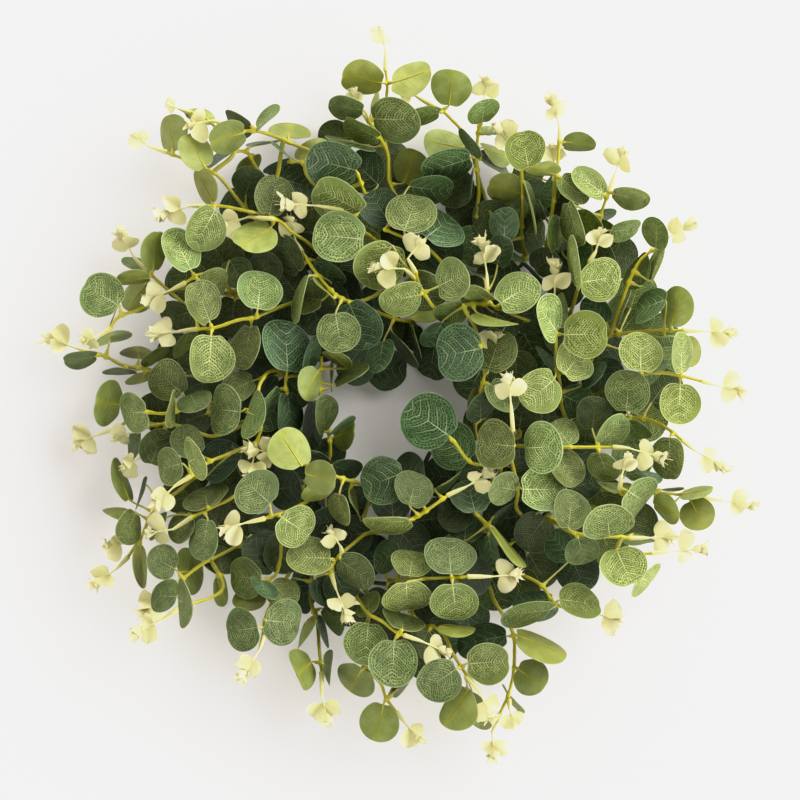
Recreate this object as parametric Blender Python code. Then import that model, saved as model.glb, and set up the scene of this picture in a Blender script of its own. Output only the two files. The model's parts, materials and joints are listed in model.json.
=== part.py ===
"""Artificial silver-dollar eucalyptus wreath, lying on its back.

The wreath plane is XY, +Z faces the viewer and z = 0 is the surface that the ring
frame's bars stand on. Work is done in millimetres and written in metres.

Each sprig is one moulded stem with its leaves and its pale tip. Its row in the plan
gives, as seen from above, the stem's course, the sleeve and the end of the tip, and for
every leaf the peg it grows from, its far end, its seen width and how it faces.
"""

import math
import random

import bmesh
import bpy
from mathutils import Vector
from mathutils.bvhtree import BVHTree

# ---------------------------------------------------------------- dimensions
PX = 0.743  # mm in one plan unit at the middle of the foliage
EYE_H = 1700.0  # height of the viewpoint that the plan is drawn from
MID_Z = 42.0  # height at which the plan is true to scale
PLAN_C = 400.0  # plan coordinate under the viewpoint, both ways
PANE = 270.0 / 156.8  # plan units in one unit of a pane's grid
PANES = (
    (20, 0), (270, 0), (520, 0),
    (20, 250), (270, 250), (520, 250),
    (20, 500), (270, 500), (520, 500),
)
LEVEL_Z = (11.0, 17.0, 27.0, 39.0, 52.0, 65.0)  # heights of the leaf layers

LEAF_L = 30.5  # blade length of a leaf of size 1
LEAF_W = 34.0  # blade width of a leaf of size 1
LEAF_T = 0.9  # blade thickness at the middle
PETIOLE_R = 0.75
STEM_R0, STEM_R1 = 1.45, 0.95  # stem radius at the hook and at the tip
SLEEVE_R = 1.35
GAP = 0.45  # least space kept between two sprigs

RING_R = (98.0, 140.0)  # radii of the two ring wires
WIRE_R = 1.7
WIRE_Z = 6.7
BARS = 8
BAR_W = 6.0
BAR_IN, BAR_OUT = 93.0, 145.0
HOOK_R = 1.2
# Dark wire end that runs inwards from the inner ring: (x, y, z, radius), cut off square.
TAIL = ((8.0, -97.5, 6.7, 1.9), (10.5, -82.0, 9.5, 1.9), (15.8, -56.0, 17.5, 1.9), (18.6, -48.0, 21.0, 1.75), (22.6, -39.0, 26.0, 1.65))

RING_SEGMENTS = 32
SEED = 20

# ---------------------------------------------------------------- the plan
# One row per sprig: (name, [stem, ...]), the first stem being the one with the hook.
# A stem: (pane, course, sleeve end, tip end, leaves); grid units of its pane.
# A leaf: (peg u, peg v, far u, far v, seen width, face and layer). Faces: L light
# print, M middle, D dark print, U light underside, V shaded underside.
PLAN = (
    ("sprig_01", [
        (0, [(112, 100), (104, 96), (91, 91), (84, 88)], (75, 85), (64, 76),
         [(89, 90, 87, 67, 15, "U3"), (107, 97, 97, 78, 17, "U4")]),
        (0, [(124, 88), (117, 78), (108, 69), (98, 65)], (92, 63), (84, 60),
         [(96, 66, 114, 66, 9, "V3")]),
    ]),
    ("sprig_02", [
        (0, [(175, 92), (157, 83), (145, 79), (135, 76), (129, 76), (119, 72)], (112, 70), (94, 73),
         [(130, 77, 109, 82, 15, "V4"), (135, 74, 119, 71, 7, "M3"), (137, 75, 150, 64, 11, "M3"),
          (156, 80, 156, 69, 26, "V3")]),
        (0, [(146, 106), (137, 97), (131, 88), (124, 88)], None, None,
         [(124, 88, 110, 95, 4, "D2"), (136, 90, 128, 105, 11, "V2"), (134, 85, 148, 81, 5, "D2")]),
    ]),
    ("sprig_03", [
        (0, [(140, 124), (128, 122), (115, 119.5), (106, 119.5)], (99, 119.5), (76, 127),
         [(113, 122, 102, 145, 22, "L4"), (112, 118, 104, 98, 13, "U3"), (116, 116, 123, 96, 15, "L3")]),
    ]),
    ("sprig_04", [
        (0, [(166, 140), (158, 135), (150, 128), (146, 127)], (133, 126), (110, 133),
         [(147, 133, 131, 141, 30, "U4"), (145, 124, 149, 102, 22, "L3"), (136, 126, 125, 119, 8, "D2")]),
    ]),
    ("sprig_05", [
        (1, [(70, 118), (69, 95), (66, 70), (68, 48), (67, 40)], (67, 29), (64, 14),
         [(65, 48, 41, 43, 19, "U3"), (71, 48, 95, 43, 20, "U3"), (78, 106, 86, 87, 22, "V1")]),
    ]),
    ("sprig_06", [
        (1, [(120, 100), (115, 83), (109, 73), (101, 65), (92, 60)], (85, 56), (73, 52),
         [(104, 61, 106, 42, 24, "U3"), (98, 65.5, 78, 68, 8, "M3"), (112, 86, 89, 82, 20, "U2")]),
    ]),
    ("sprig_07", [
        (1, [(69, 106), (68, 88), (64, 80), (57, 70)], (52, 62), (47, 50),
         [(60, 69, 89, 76, 10, "L4"), (54, 64, 33.5, 60.5, 8, "L4"), (58, 66, 63, 55, 10, "U3"),
          (63, 80, 43, 70, 10, "M3"), (60, 85, 31, 72.5, 6, "D2"), (69, 81, 94.5, 77, 5, "D2"),
          (70, 85, 88.5, 85, 4, "D1")]),
    ]),
    ("sprig_08", [
        (1, [(60, 120), (55, 112), (51, 101)], None, None,
         [(50, 99, 20.5, 90, 27, "D3"), (63, 107, 46, 90, 26, "D2")]),
        (1, [(34, 112), (21, 101), (19, 95), (10, 94)], None, None,
         [(19, 93, 32.5, 74.5, 13, "U2"), (12, 92, -10, 101, 8, "D2"), (12, 89, -2, 86, 8, "D2")]),
    ]),
    ("sprig_09", [
        (1, [(121.5, 131), (121.5, 120), (121, 106), (120, 88), (121.5, 72)], (124, 60), (126, 41),
         [(123, 71, 124, 60, 18, "M2"), (128, 78, 138, 71, 10, "M2"), (118, 90, 114, 78, 8, "D2"),
          (124, 86, 139, 92, 13, "V2"), (119, 92, 141, 96, 9, "D2"), (116, 92, 88, 101, 15, "D3"),
          (117, 98, 110, 118, 13, "D1")]),
    ]),
    ("sprig_10", [
        (1, [(146, 138), (147, 120), (147, 108), (146, 97)], (142, 86), (128, 70),
         [(150, 97, 146, 76, 24, "L4"), (146, 112, 126, 108, 18, "V1"), (148, 106, 157, 136, 5, "L3"),
          (136, 140, 137, 120, 16, "D3"), (148, 152, 130, 146, 8, "D2")]),
    ]),
    ("sprig_11", [
        (1, [(97, 150), (90, 143), (82, 139), (75, 137), (66, 133)], None, None,
         [(78, 134, 86, 112, 30, "L5"), (91, 138, 113, 123, 33, "D3"), (70, 130, 57, 111, 24, "D2"),
          (81, 108, 107, 112, 14, "D2")]),
    ]),
    ("sprig_12", [
        (1, [(62, 140), (50, 131), (48, 126), (41, 122)], (28, 119.5), (2, 118),
         [(52, 122, 26, 106, 24, "L3"), (62, 135, 44, 118, 20, "M2"), (54, 139, 25, 136, 31, "L5")]),
    ]),
    ("sprig_13", [
        (4, [(96, 34), (90, 26), (86, 19), (83, 15)], (78, 11), (56, 10),
         [(90, 25, 66, 31, 20, "L4"), (82, 16, 101, 34, 17, "L4"), (98, 21, 113, 14, 26, "L4"),
          (71, -3, 55, 21, 27, "L4")]),
        (4, [(86, 19), (84, 12)], (80, 5), (90, -8), []),
    ]),
    ("sprig_14", [
        (2, [(13, 158), (16, 140), (19, 120), (21, 104), (23, 88), (23, 81)], (23, 74), (17, 51),
         [(25, 82, 44, 83, 9, "V3"), (21, 101, 5, 96, 8, "U4"), (20, 118, 15, 103, 12, "D2"),
          (18, 128, 8, 112, 10, "M2"), (23, 103, 38, 117, 16, "M3"), (20, 145, 16, 124, 6, "M3")]),
        (2, [(20, 112), (20, 104)], (20, 97), (19, 82), []),
    ]),
    ("sprig_15", [
        (2, [(40, 145), (45, 135), (47, 125), (50, 115), (52, 110)], (55, 101), (62, 84),
         [(50, 114, 31, 101, 18, "L3"), (53, 112, 75, 117, 12, "L3"), (53, 134, 71, 133, 12, "L3"),
          (43, 124, 57, 130, 7, "D2"), (45, 136, 34, 122, 12, "M3"), (28, 118, 36, 143, 8, "L4"),
          (24, 146, 30, 131, 12, "D1"), (36, 157, 36, 138, 10, "D2")]),
    ]),
    ("sprig_16", [
        (2, [(30, 180), (34, 167), (38, 158), (41, 151)], (44, 146), (48, 131),
         [(36, 164, 59, 160, 25, "L5"), (33, 165, 27, 135, 13, "L4"), (56, 157, 51, 141, 5, "D3")]),
    ]),
    ("sprig_17", [
        (2, [(53, 193), (60, 173), (65, 160), (70, 151), (77, 145)], (83, 140), (105, 127),
         [(79, 144, 83, 124, 7, "M4"), (76, 163, 84, 143, 7, "L4"), (70, 165, 67, 142, 7, "M3"),
          (83, 154, 93, 162, 14, "L3")]),
    ]),
    ("sprig_18", [
        (3, [(98, 34), (90, 27), (84, 21.5), (77, 15), (73, 11.5)], (66, 4), (56, -15),
         [(77, 11, 79, -11, 13, "V4"), (74, 14, 64, 4, 10, "M3"), (75, 16, 56, 18, 6, "V4"),
          (73, 19, 62, 33, 14, "V3")]),
    ]),
    ("sprig_19", [
        (3, [(96, 22), (80, 27), (68, 35), (57, 39), (52, 46)], (46, 50), (34, 54),
         [(57, 32, 39, 21, 27, "L4"), (57, 31, 50, 47, 5, "M2")]),
    ]),
    ("sprig_20", [
        (3, [(90, 72), (84, 71), (72, 69), (60, 67), (50, 62), (40, 59)], (33, 57), (11, 50),
         [(52, 54, 50, 48, 26, "V4"), (46, 61, 28, 65, 8, "M3"), (62, 69, 51, 72, 5, "M3"),
          (69, 63, 65, 56, 16, "V3"), (73, 68, 85, 54, 6, "V2"), (72, 71, 66, 80, 13, "V3")]),
    ]),
    ("sprig_21", [
        (3, [(124, 24), (114, 15), (106, 14), (101, 16), (95, 19.5)], (88, 23), (69, 31),
         [(99, 11, 86, -12, 21, "L4"), (104, 17, 117, 18, 20, "L3"), (122, 6, 127, 24, 20, "M2")]),
    ]),
    ("sprig_22", [
        (3, [(150, 33), (137, 39), (124, 41), (111, 45.5), (102, 46)], (93, 47), (72, 50),
         [(111, 50, 110, 77, 25, "L5"), (110, 41, 101, 18, 20, "L5"), (138, 34, 140, 11, 27, "L4"),
          (134, 45, 130, 70, 17, "L3"), (99, 36, 83, 40, 20, "M2"), (97, 48, 93, 61, 9, "M2")]),
    ]),
    ("sprig_23", [
        (3, [(112, 90), (104, 88), (93, 93), (82, 95), (74, 94)], None, None,
         [(94, 83, 77, 68, 22, "L4"), (90, 84, 78, 104, 12, "L4"), (74, 94, 57, 95, 25, "L4"),
          (99, 84, 105, 92, 20, "M3")]),
    ]),
    ("sprig_24", [
        (3, [(110, 108), (96, 103), (85, 101), (74, 102.5)], (65, 106), (52, 110),
         [(76, 124, 85, 104, 20, "M3"), (70, 110, 60, 120, 13, "M2")]),
        (3, [(75, 101), (64, 99), (57, 103)], (46, 107), (29, 114),
         [(58, 90, 47, 88, 28, "V3")]),
        (3, [(84, 104), (78, 112), (73, 118)], (69, 121), (57, 128), []),
    ]),
    ("sprig_25", [
        (3, [(125, 117), (112, 122), (103, 128), (98, 132)], (90, 137), (74, 152),
         [(94, 124, 79, 128, 22, "L4"), (98, 123, 110, 118, 26, "L4"), (104, 118, 90, 104, 18, "L3")]),
    ]),
    ("sprig_26", [
        (3, [(156, 70), (144, 71), (139, 79), (137, 90), (131, 94)], None, None,
         [(128, 94, 108, 92, 30, "L5"), (132, 94, 143, 98, 28, "M4"), (135, 76, 117, 84, 17, "L3"),
          (108, 132, 127, 113, 22, "D1")]),
        (3, [(138, 92), (140, 103), (137, 113)], (136, 119), (132, 139), []),
    ]),
    ("sprig_27", [
        (4, [(60, 27), (46, 30), (38, 26), (29, 17), (24, 9), (18, 0)], (15, -5), (10, -22),
         [(22, 15, 13, 42, 9, "M4"), (29, 30, 11, 25, 22, "L3"), (37, 28, 24, 18, 10, "M3"),
          (38, 37, 42, 59, 26, "L5"), (46, 31, 58, 57, 26, "D4"), (26, 6, 42, 21, 14, "D2"),
          (17, 12, 5, -8, 18, "M2")]),
    ]),
    ("sprig_28", [
        (4, [(28, 76), (16, 73), (10, 74), (9, 82)], None, None,
         [(10, 70, 9, 36, 26, "D4"), (10, 84, 13, 108, 13, "D3"), (6, 81, -2, 106, 15, "D3"),
          (22, 72, 25, 46, 16, "D2")]),
    ]),
    ("sprig_29", [
        (4, [(33, 124), (33, 112), (34, 106), (30, 95), (29, 80), (30, 62)], None, None,
         [(28, 71, 19, 88, 12, "U3"), (36, 107, 46, 97, 3, "D2"), (36, 110, 43, 106, 16, "V2"),
          (31, 106, 34, 82, 4, "V3"), (35, 79, 33, 62, 8, "V2"), (38, 78, 57, 66, 9, "M3"),
          (46, 69, 34, 59, 7, "V3"), (25, 88, 24, 118, 14, "D1")]),
    ]),
    ("sprig_30", [
        (4, [(52, 29), (62, 36), (72, 40), (84, 42)], None, None,
         [(66, 53, 61, 73, 20, "D3"), (84, 44, 74, 60, 14, "D1"), (70, 47, 87, 68, 2.5, "D2"),
          (82, 40, 95, 33, 12, "V3"), (84, 50, 90, 62, 8, "V1")]),
    ]),
    ("sprig_31", [
        (4, [(120, 108), (121, 98), (122, 85), (125, 70)], (128, 62), (136, 45),
         [(127, 70, 135, 46, 26, "L5"), (128, 78, 143, 92, 16, "L4"), (122, 80, 128, 101, 8, "V3"),
          (121, 99, 117, 80, 8, "D3")]),
    ]),
    ("sprig_32", [
        (4, [(143, 150), (144, 139), (140, 118), (141, 104)], (140, 90), (138, 69),
         [(142, 114, 121, 112, 29, "L5"), (143, 139, 126, 135, 20, "L4"), (147, 139, 172, 139, 27, "L5"),
          (174, 140, 195, 134, 20, "D2")]),
    ]),
    ("sprig_33", [
        (4, [(150, 41), (138, 36), (128, 31), (126, 22)], (126, 14), (122, -11),
         [(134, 31, 155, 17, 23, "L4"), (127, 31, 115, 18, 11, "L4"), (112, 32, 97, 42, 14, "M3"),
          (121, 37, 144, 52, 10, "V4"), (124, 16, 114, 9, 8, "D2"), (135, 47, 159, 52, 27, "L4")]),
        (4, [(113, 33), (118, 43), (123, 55)], None, None,
         [(123, 57, 97, 62, 36, "D4"), (100, 42, 92, 56, 16, "D2")]),
    ]),
    ("sprig_34", [
        (4, [(134, 127), (124, 125), (118, 124), (106, 110)], None, None,
         [(104, 108, 79, 90, 33, "D4"), (117, 123, 99, 104, 28, "D4")]),
    ]),
    ("sprig_35", [
        (4, [(64, 160), (83, 156), (96, 148), (104, 142)], (113, 138), (133, 127),
         [(81, 148, 86, 129, 24, "M5"), (81, 157, 54, 160, 13, "L5"), (96, 139, 112, 132, 8, "M3"),
          (78, 129, 53, 138, 29, "D4"), (108, 127, 92, 133, 9, "D2")]),
    ]),
    ("sprig_36", [
        (4, [(135, 172), (128, 163), (124, 157), (120, 153)], None, None,
         [(119, 152, 115, 135, 24, "D3"), (127, 165, 130, 185, 11, "D3"), (129, 161, 148, 188, 5, "V4"),
          (130, 155, 146, 148, 9, "D2"), (122, 194, 130, 203, 10, "D3"), (113, 169, 115, 154, 22, "D2")]),
    ]),
    ("sprig_37", [
        (4, [(56, 137), (50, 135), (43, 133), (34, 130), (25, 126), (17, 123)], (7, 119), (-18, 114),
         [(18, 125, 5, 105, 24, "U5"), (21, 130, 39, 134, 20, "U5"), (23, 137, 28, 157, 23, "U5"),
          (36, 125, 52, 130, 15, "D3"), (40, 142, 42, 160, 12, "L4"), (46, 141, 52, 157, 4, "M3")]),
    ]),
    ("sprig_38", [
        (5, [(24, 90), (23, 76), (21, 66), (21, 50), (21, 36)], (20, 28), (21, 3),
         [(26, 49, 50, 49, 28, "L5"), (22, 48, 1, 30, 13, "L5"), (20, 75, 2, 90, 27, "L5"),
          (26, 72, 38, 57, 25, "L4"), (22, 40, 33, 22, 16, "M3"), (24, 84, 42, 92, 20, "D2"),
          (37, 80, 50, 64, 18, "D2"), (20, 70, 13, 55, 10, "D2")]),
    ]),
    ("sprig_39", [
        (5, [(50, 50), (62, 48), (75, 47), (86, 46.5), (96, 47)], (105, 47), (128, 49),
         [(88, 44, 95, 22, 17, "U4"), (86, 30, 62, 40, 13, "D4"), (84, 50, 80, 37, 8, "L3"),
          (96, 50, 103, 68, 12, "U4"), (54, 44, 62, 19, 12, "L3"), (50, 42, 38, 28, 15, "D3")]),
    ]),
    ("sprig_40", [
        (5, [(55, 77), (62, 73), (72, 71.5), (85, 71.5), (93, 73), (107, 76.5)], (112, 78), (134, 84),
         [(93, 72, 91, 47, 18, "L5"), (93, 78, 92, 101, 25, "L4"), (70, 70, 71, 48, 26, "L5"),
          (72, 73, 86, 69, 12, "D3")]),
    ]),
    ("sprig_41", [
        (5, [(46, 96), (56, 97.5), (64, 97.5), (75, 98.5), (86, 104), (95, 111)], (101, 116), (123, 129),
         [(62, 93, 62, 69, 23, "L5"), (87, 109, 88, 134, 17, "L4"), (63, 99, 72, 112, 15, "M3"),
          (63, 94, 80, 82, 18, "M2"), (60, 95, 44, 84, 16, "D3")]),
    ]),
    ("sprig_42", [
        (5, [(-6, 113), (3, 114), (22, 114.5), (35, 114), (46, 114.5), (55, 114.5)], (63, 115), (89, 123),
         [(46, 112, 62, 97, 17, "L4"), (46, 118, 53, 134, 17, "L4"), (3, 115, 21, 114, 30, "L5"),
          (28, 114, 20, 98, 20, "L3"), (21, 117, 33, 137, 19, "L4")]),
    ]),
    ("sprig_43", [
        (5, [(58, 152), (61, 143), (58, 138)], (59, 131), (64, 117),
         [(63, 140, 79, 150, 29, "L5"), (60, 142, 53, 134, 12, "L4"), (76, 134, 70, 122, 10, "D3")]),
    ]),
    ("sprig_44", [
        (5, [(66, 141), (72, 141), (80, 141), (94, 142.5), (107, 144)], (117, 145.5), (139, 149),
         [(80, 140, 91, 140.5, 3, "V4"), (94, 142, 112, 139.5, 4.5, "U4"), (99, 146, 106, 161, 21, "U4"),
          (93, 143, 89, 150, 5, "V3"), (78, 147, 91, 153, 16, "U4")]),
    ]),
    ("sprig_45", [
        (6, [(133, -8), (119, 1), (109, 5), (99, 10.5)], (89, 17), (70, 20),
         [(109, 4, 104, -9, 28, "L4"), (109, 12, 106, 35, 20, "L5"), (97, 8, 91, 27, 12, "L3"),
          (87, 12, 74, 18, 11, "V2")]),
    ]),
    ("sprig_46", [
        (6, [(168, 0), (157, 6), (150, 8.5), (141, 11)], (132, 13), (114, 18),
         [(145, 2, 129, -14, 27, "L5"), (152, 10, 169, 22, 26, "L5")]),
    ]),
    ("sprig_47", [
        (6, [(86, 0), (78, 6), (74, 14), (70, 22), (66, 29), (62, 34)], (56, 40), (40, 52),
         [(67, 8, 61, 24, 14, "L3"), (64, 6, 54, 9, 12, "V3"), (69, 25, 71, 50, 4, "V3"),
          (63, 0, 53, -24, 4, "V3"), (73, -9, 66, 2, 8, "M2")]),
        (6, [(70, 22), (66, 24)], (62, 25), (47, 27), []),
    ]),
    ("sprig_48", [
        (6, [(120, 30), (106, 37), (93, 47)], (83, 56), (68, 70),
         [(90, 40, 76, 31, 18, "L3"), (92, 42, 104, 42, 28, "V4"), (91, 56, 79, 54, 20, "M3")]),
        (6, [(118, 50), (105, 56), (92, 63)], (83, 69), (62, 80),
         [(92, 58, 102, 59, 29, "L4"), (118, 43, 113, 27, 17, "M2"), (114, 45, 119, 62, 5, "V3")]),
    ]),
    ("sprig_49", [
        (6, [(153, 20), (151, 35), (148, 44), (143, 47)], None, None,
         [(140, 46, 120, 45, 25, "M4"), (140, 50, 126, 62, 16, "V3"), (148, 40, 132, 22, 20, "D2"),
          (139, 47, 141, 56, 4, "D3"), (146, 48, 159, 61, 17, "L4")]),
    ]),
    ("sprig_50", [
        (6, [(147, 58), (144, 64), (142, 70), (141.5, 79)], (139, 87), (125, 109),
         [(138, 74, 118, 78, 25, "L5"), (143, 70, 163, 73, 27, "L5")]),
    ]),
    ("sprig_51", [
        (7, [(55, 20), (45, 28), (38, 35), (35, 41), (36, 44)], (38, 51), (47, 74),
         [(35, 34, 10, 33, 20, "L4"), (41, 35, 60, 48, 20, "M4"), (26, 46, 38, 60, 16, "D2")]),
        (7, [(38, 35), (42, 31)], (41, 27), (33, 15), []),
    ]),
    ("sprig_52", [
        (7, [(70, 47), (80, 46), (95, 45.5), (105, 45), (116, 44.5)], (128, 44.5), (149, 43),
         [(105, 43, 104, 22, 30, "L5"), (106, 49, 109, 72, 29, "L5"), (81, 44, 84, 29, 24, "L4"),
          (79, 48, 80, 65, 29, "L5"), (75, 30, 60, 38, 16, "D2")]),
    ]),
    ("sprig_53", [
        (7, [(57, 66), (66, 71), (74, 77), (79, 79)], (88, 82), (106, 90),
         [(76, 75, 79, 60, 28, "L4"), (72, 82, 71, 107, 29, "L5")]),
    ]),
    ("sprig_54", [
        (7, [(58, 58), (57, 69), (56, 82), (55, 96), (60, 103), (65, 108), (67, 114), (74, 124)], (78, 129), (89, 143),
         [(57, 72, 55, 96, 27, "L4"), (54, 97, 46, 112, 25, "V4"), (57, 67, 57, 54, 18, "L3"),
          (66, 119, 61, 140, 23, "U4"), (68, 114, 76, 110, 13, "V3"), (74, 110, 85, 104, 8, "M2")]),
    ]),
    ("sprig_55", [
        (7, [(24, 60), (27, 69), (28, 80), (29, 91), (30, 101)], (30, 113), (34, 133),
         [(24, 94, 17, 99, 25, "V4"), (31, 95, 36, 101, 15, "M3"), (22, 70, 20, 83, 7, "V3"),
          (27, 70, 34, 85, 5, "D3"), (12, 45, 27, 64, 18, "D2"), (31, 63, 44, 76, 12, "M2")]),
    ]),
    ("sprig_56", [
        (7, [(88, 73), (96, 74), (101, 78), (105, 87), (110, 96), (115, 103)], (122, 112), (131, 131),
         [(115, 95, 139, 93, 26, "L5"), (108, 98, 88, 112, 26, "L5"), (99, 74, 119, 77, 7, "V4"),
          (92, 76, 85, 92, 15, "L3"), (115, 111, 102, 132, 21, "V4"), (117, 112, 124, 137, 13, "U4")]),
    ]),
    ("sprig_57", [
        (7, [(127, 50), (130, 58), (137, 68), (141, 77), (142, 90), (141, 103), (138, 114), (133, 125)], (129, 135), (130, 155),
         [(137, 79, 108, 84, 15, "D3"), (144, 79, 175, 91, 11, "U4"), (144, 98, 160, 108, 22, "U4"),
          (139, 113, 143, 122, 7, "U4")]),
        (7, [(139, 112), (139, 117)], (139, 121), (143, 134), []),
    ]),
    ("sprig_58", [
        (8, [(15, 10), (22, 14), (31, 19), (42, 20.5), (53, 21.5), (65, 22)], (74, 22), (93, 21),
         [(28, 16, 31, -6, 22, "L5"), (33, 22, 40, 38, 22, "M4"), (52, 21, 48, 1, 30, "L5"),
          (56, 29, 63, 46, 27, "L5"), (66, 20, 77, 30, 12, "M3")]),
        (8, [(56, 30), (66, 31), (78, 31)], (86, 30), (113, 28),
         [(70, 45, 79, 50, 26, "L4")]),
    ]),
    ("sprig_59", [
        (8, [(-8, 40), (5, 45), (13, 50), (17, 55), (20, 60), (30, 62), (38, 64)], (44, 66), (62, 71),
         [(23, 58, 48, 60, 16, "L4"), (44, 43, 35, 56, 22, "L4"), (44, 40, 27, 49, 9, "L3"),
          (17, 64, -13, 68, 12, "M4"), (20, 62, -3, 74, 15, "D3"), (17, 58, -5, 57, 9, "D3"),
          (37, 39, 9, 39, 20, "D3"), (30, 33, 17, 20, 18, "D3")]),
    ]),
)


# ---------------------------------------------------------------- small helpers
UP = Vector((0.0, 0.0, 1.0))


def clamp(value, low, high):
    return max(low, min(high, value))


def plan(pane, u, v):
    """Plan coordinates of a point in a pane's grid."""
    return (PANES[pane][0] + PANE * u, PANES[pane][1] + PANE * v)


def lift(p, z):
    """The point at height z that is seen at plan point p."""
    k = PX * (EYE_H - z) / (EYE_H - MID_Z)
    return Vector(((p[0] - PLAN_C) * k, (PLAN_C - p[1]) * k, z))


def drop(point):
    """The plan point at which a point in space is seen."""
    k = PX * (EYE_H - point.z) / (EYE_H - MID_Z)
    return (PLAN_C + point.x / k, PLAN_C - point.y / k)


def flat_distance(p, q):
    return math.hypot(p[0] - q[0], p[1] - q[1])


def square_to(direction, hint):
    """A unit vector square to the direction, as near as can be to the hint."""
    side = hint - direction * hint.dot(direction)
    if side.length < 1e-4:
        side = direction.orthogonal()
    return side.normalized()


def lengths(path):
    total = [0.0]
    for a, b in zip(path, path[1:]):
        total.append(total[-1] + (b - a).length)
    return total


def along(path, total, s):
    """Point and direction at length s of a path."""
    s = clamp(s, 0.0, total[-1])
    for k in range(len(path) - 1):
        if s <= total[k + 1] or k == len(path) - 2:
            span = total[k + 1] - total[k]
            f = (s - total[k]) / span if span > 1e-9 else 0.0
            return path[k].lerp(path[k + 1], f), (path[k + 1] - path[k]).normalized()


def nearest_on(path, total, point, low, high):
    """(distance, length along the path) of the path's nearest point between two lengths."""
    best = (1e9, low)
    for k in range(len(path) - 1):
        if total[k + 1] < low or total[k] > high:
            continue
        edge = path[k + 1] - path[k]
        span = edge.length
        if span < 1e-9:
            continue
        s = clamp(total[k] + (point - path[k]).dot(edge) / span, max(low, total[k]), min(high, total[k + 1]))
        found = path[k] + edge * ((s - total[k]) / span)
        best = min(best, ((found - point).length, s))
    return best


def between(p0, p1, q0, q1):
    """Closest points of two line pieces, as (s, t, point, point)."""
    d1, d2, r = p1 - p0, q1 - q0, p0 - q0
    a, e, f = d1.dot(d1), d2.dot(d2), d2.dot(r)
    c, b = d1.dot(r), d1.dot(d2)
    low = a * e - b * b
    s = clamp((b * f - c * e) / low, 0.0, 1.0) if low > 1e-9 else 0.5
    t = (b * s + f) / e if e > 1e-9 else 0.0
    if t < 0.0:
        t, s = 0.0, clamp(-c / a, 0.0, 1.0) if a > 1e-9 else 0.0
    elif t > 1.0:
        t, s = 1.0, clamp((b - c) / a, 0.0, 1.0) if a > 1e-9 else 0.0
    return s, t, p0 + d1 * s, q0 + d2 * t


def simplified(path, slack):
    """The path with fewer points, none of those left out further than slack from it."""
    if len(path) < 3:
        return list(path)
    a, b = path[0], path[-1]
    edge = b - a
    worst, at = 0.0, 0
    for k in range(1, len(path) - 1):
        f = clamp((path[k] - a).dot(edge) / max(edge.length_squared, 1e-9), 0.0, 1.0)
        off = (path[k] - (a + edge * f)).length
        if off > worst:
            worst, at = off, k
    if worst <= slack:
        return [a, b]
    return simplified(path[: at + 1], slack)[:-1] + simplified(path[at:], slack)


# ---------------------------------------------------------------- leaf shape
def outline(t):
    """Right half of the round leaf's edge, t from 0 at the peg to pi at the far end."""
    y = 0.5 * math.sin(t) ** 0.85 if 0.0 < t < math.pi else 0.0
    x = 0.5 - 0.5 * math.cos(t) - 0.10 * math.exp(-(((t - 0.35) / 0.3) ** 2)) * min(1.0, t / 0.2)
    return x, y


class Leaf:
    """A round leaf: where its blade starts, its frame (u along, v to the left, n out of the printed front)."""

    def __init__(self, sprig, base, far, width, code, rng):
        self.sprig = sprig
        self.kind, self.level = code[0], int(code[1])
        self.base, self.far = base, far
        seen_l = flat_distance(base, far) * PX
        seen_w = width * PANE * PX
        self.size = clamp(max(seen_l / LEAF_L, seen_w / LEAF_W), 0.80, 1.28)
        self.pitch = math.acos(clamp(seen_l / (self.size * LEAF_L), 0.15, 0.995))
        self.roll = math.acos(clamp(seen_w / (self.size * LEAF_W), 0.12, 0.995))
        under = self.kind in "UV"
        sign = 1.0 if under or (self.pitch < 0.3 and rng.random() < 0.5) else -1.0
        self.pitch *= sign
        self.roll *= rng.choice((-1.0, 1.0))
        self.pitch += rng.uniform(-0.10, 0.10)
        self.roll += rng.uniform(-0.10, 0.10)
        self.cup = rng.uniform(0.0, 0.085)
        self.fold = rng.uniform(0.0, 0.05)
        self.bend = rng.uniform(-0.12, 0.05)
        self.tone = rng.random()
        self.height = LEVEL_Z[self.level] - 0.5 * self.size * LEAF_L * math.sin(self.pitch)
        self.limb = None
        self.at = 0.0

    def pose(self, where, heading, pitch, roll, size):
        self.where, self.size = where, size
        flat = Vector((math.cos(heading), math.sin(heading), 0.0))
        self.u = flat * math.cos(pitch) + UP * math.sin(pitch)
        p = Vector((-flat.y, flat.x, 0.0))
        self.v = p * math.cos(roll) + self.u.cross(p) * math.sin(roll)
        self.n = self.u.cross(self.v)
        if self.kind in "UV":
            self.v, self.n = -self.v, -self.n

    def point(self, x, y, out=0.0):
        """Point of the blade at x (0 to 1 along) and y (-0.5 to 0.5 across), moved out of its front."""
        length, width = self.size * LEAF_L, self.size * LEAF_W
        h = self.cup * width * (2 * y) ** 2 + self.fold * abs(y) * width + self.bend * length * x * x
        return self.where + self.u * (x * length) + self.v * (y * width) + self.n * (h + out)

    def slab(self, skin):
        """The blade as a closed slab with a margin of skin round it, for testing."""
        rim = [(-0.02, 0.0)]
        for t in (0.12, 0.3, 0.5, 0.7, 0.88):
            x, y = outline(t * math.pi)
            rim.append((x, -y))
        rim.append((1.0, 0.0))
        rim += [(x, -y) for x, y in reversed(rim[1:6])]
        grow = 1.0 + 2.0 * skin / (self.size * LEAF_L)
        rim = [(0.5 + (x - 0.5) * grow, y * grow) for x, y in rim]
        half = 0.5 * LEAF_T + skin
        count = len(rim)
        points = [self.point(x, y, skin + 0.15) for x, y in rim] + [self.point(x, y, -skin - 0.15) for x, y in rim]
        points += [self.point(0.5, 0.0, half), self.point(0.5, 0.0, -half)]
        faces = []
        for k in range(count):
            m = (k + 1) % count
            faces += [(2 * count, k, m), (2 * count + 1, count + m, count + k), (k, count + k, count + m, m)]
        return points, faces


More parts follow.
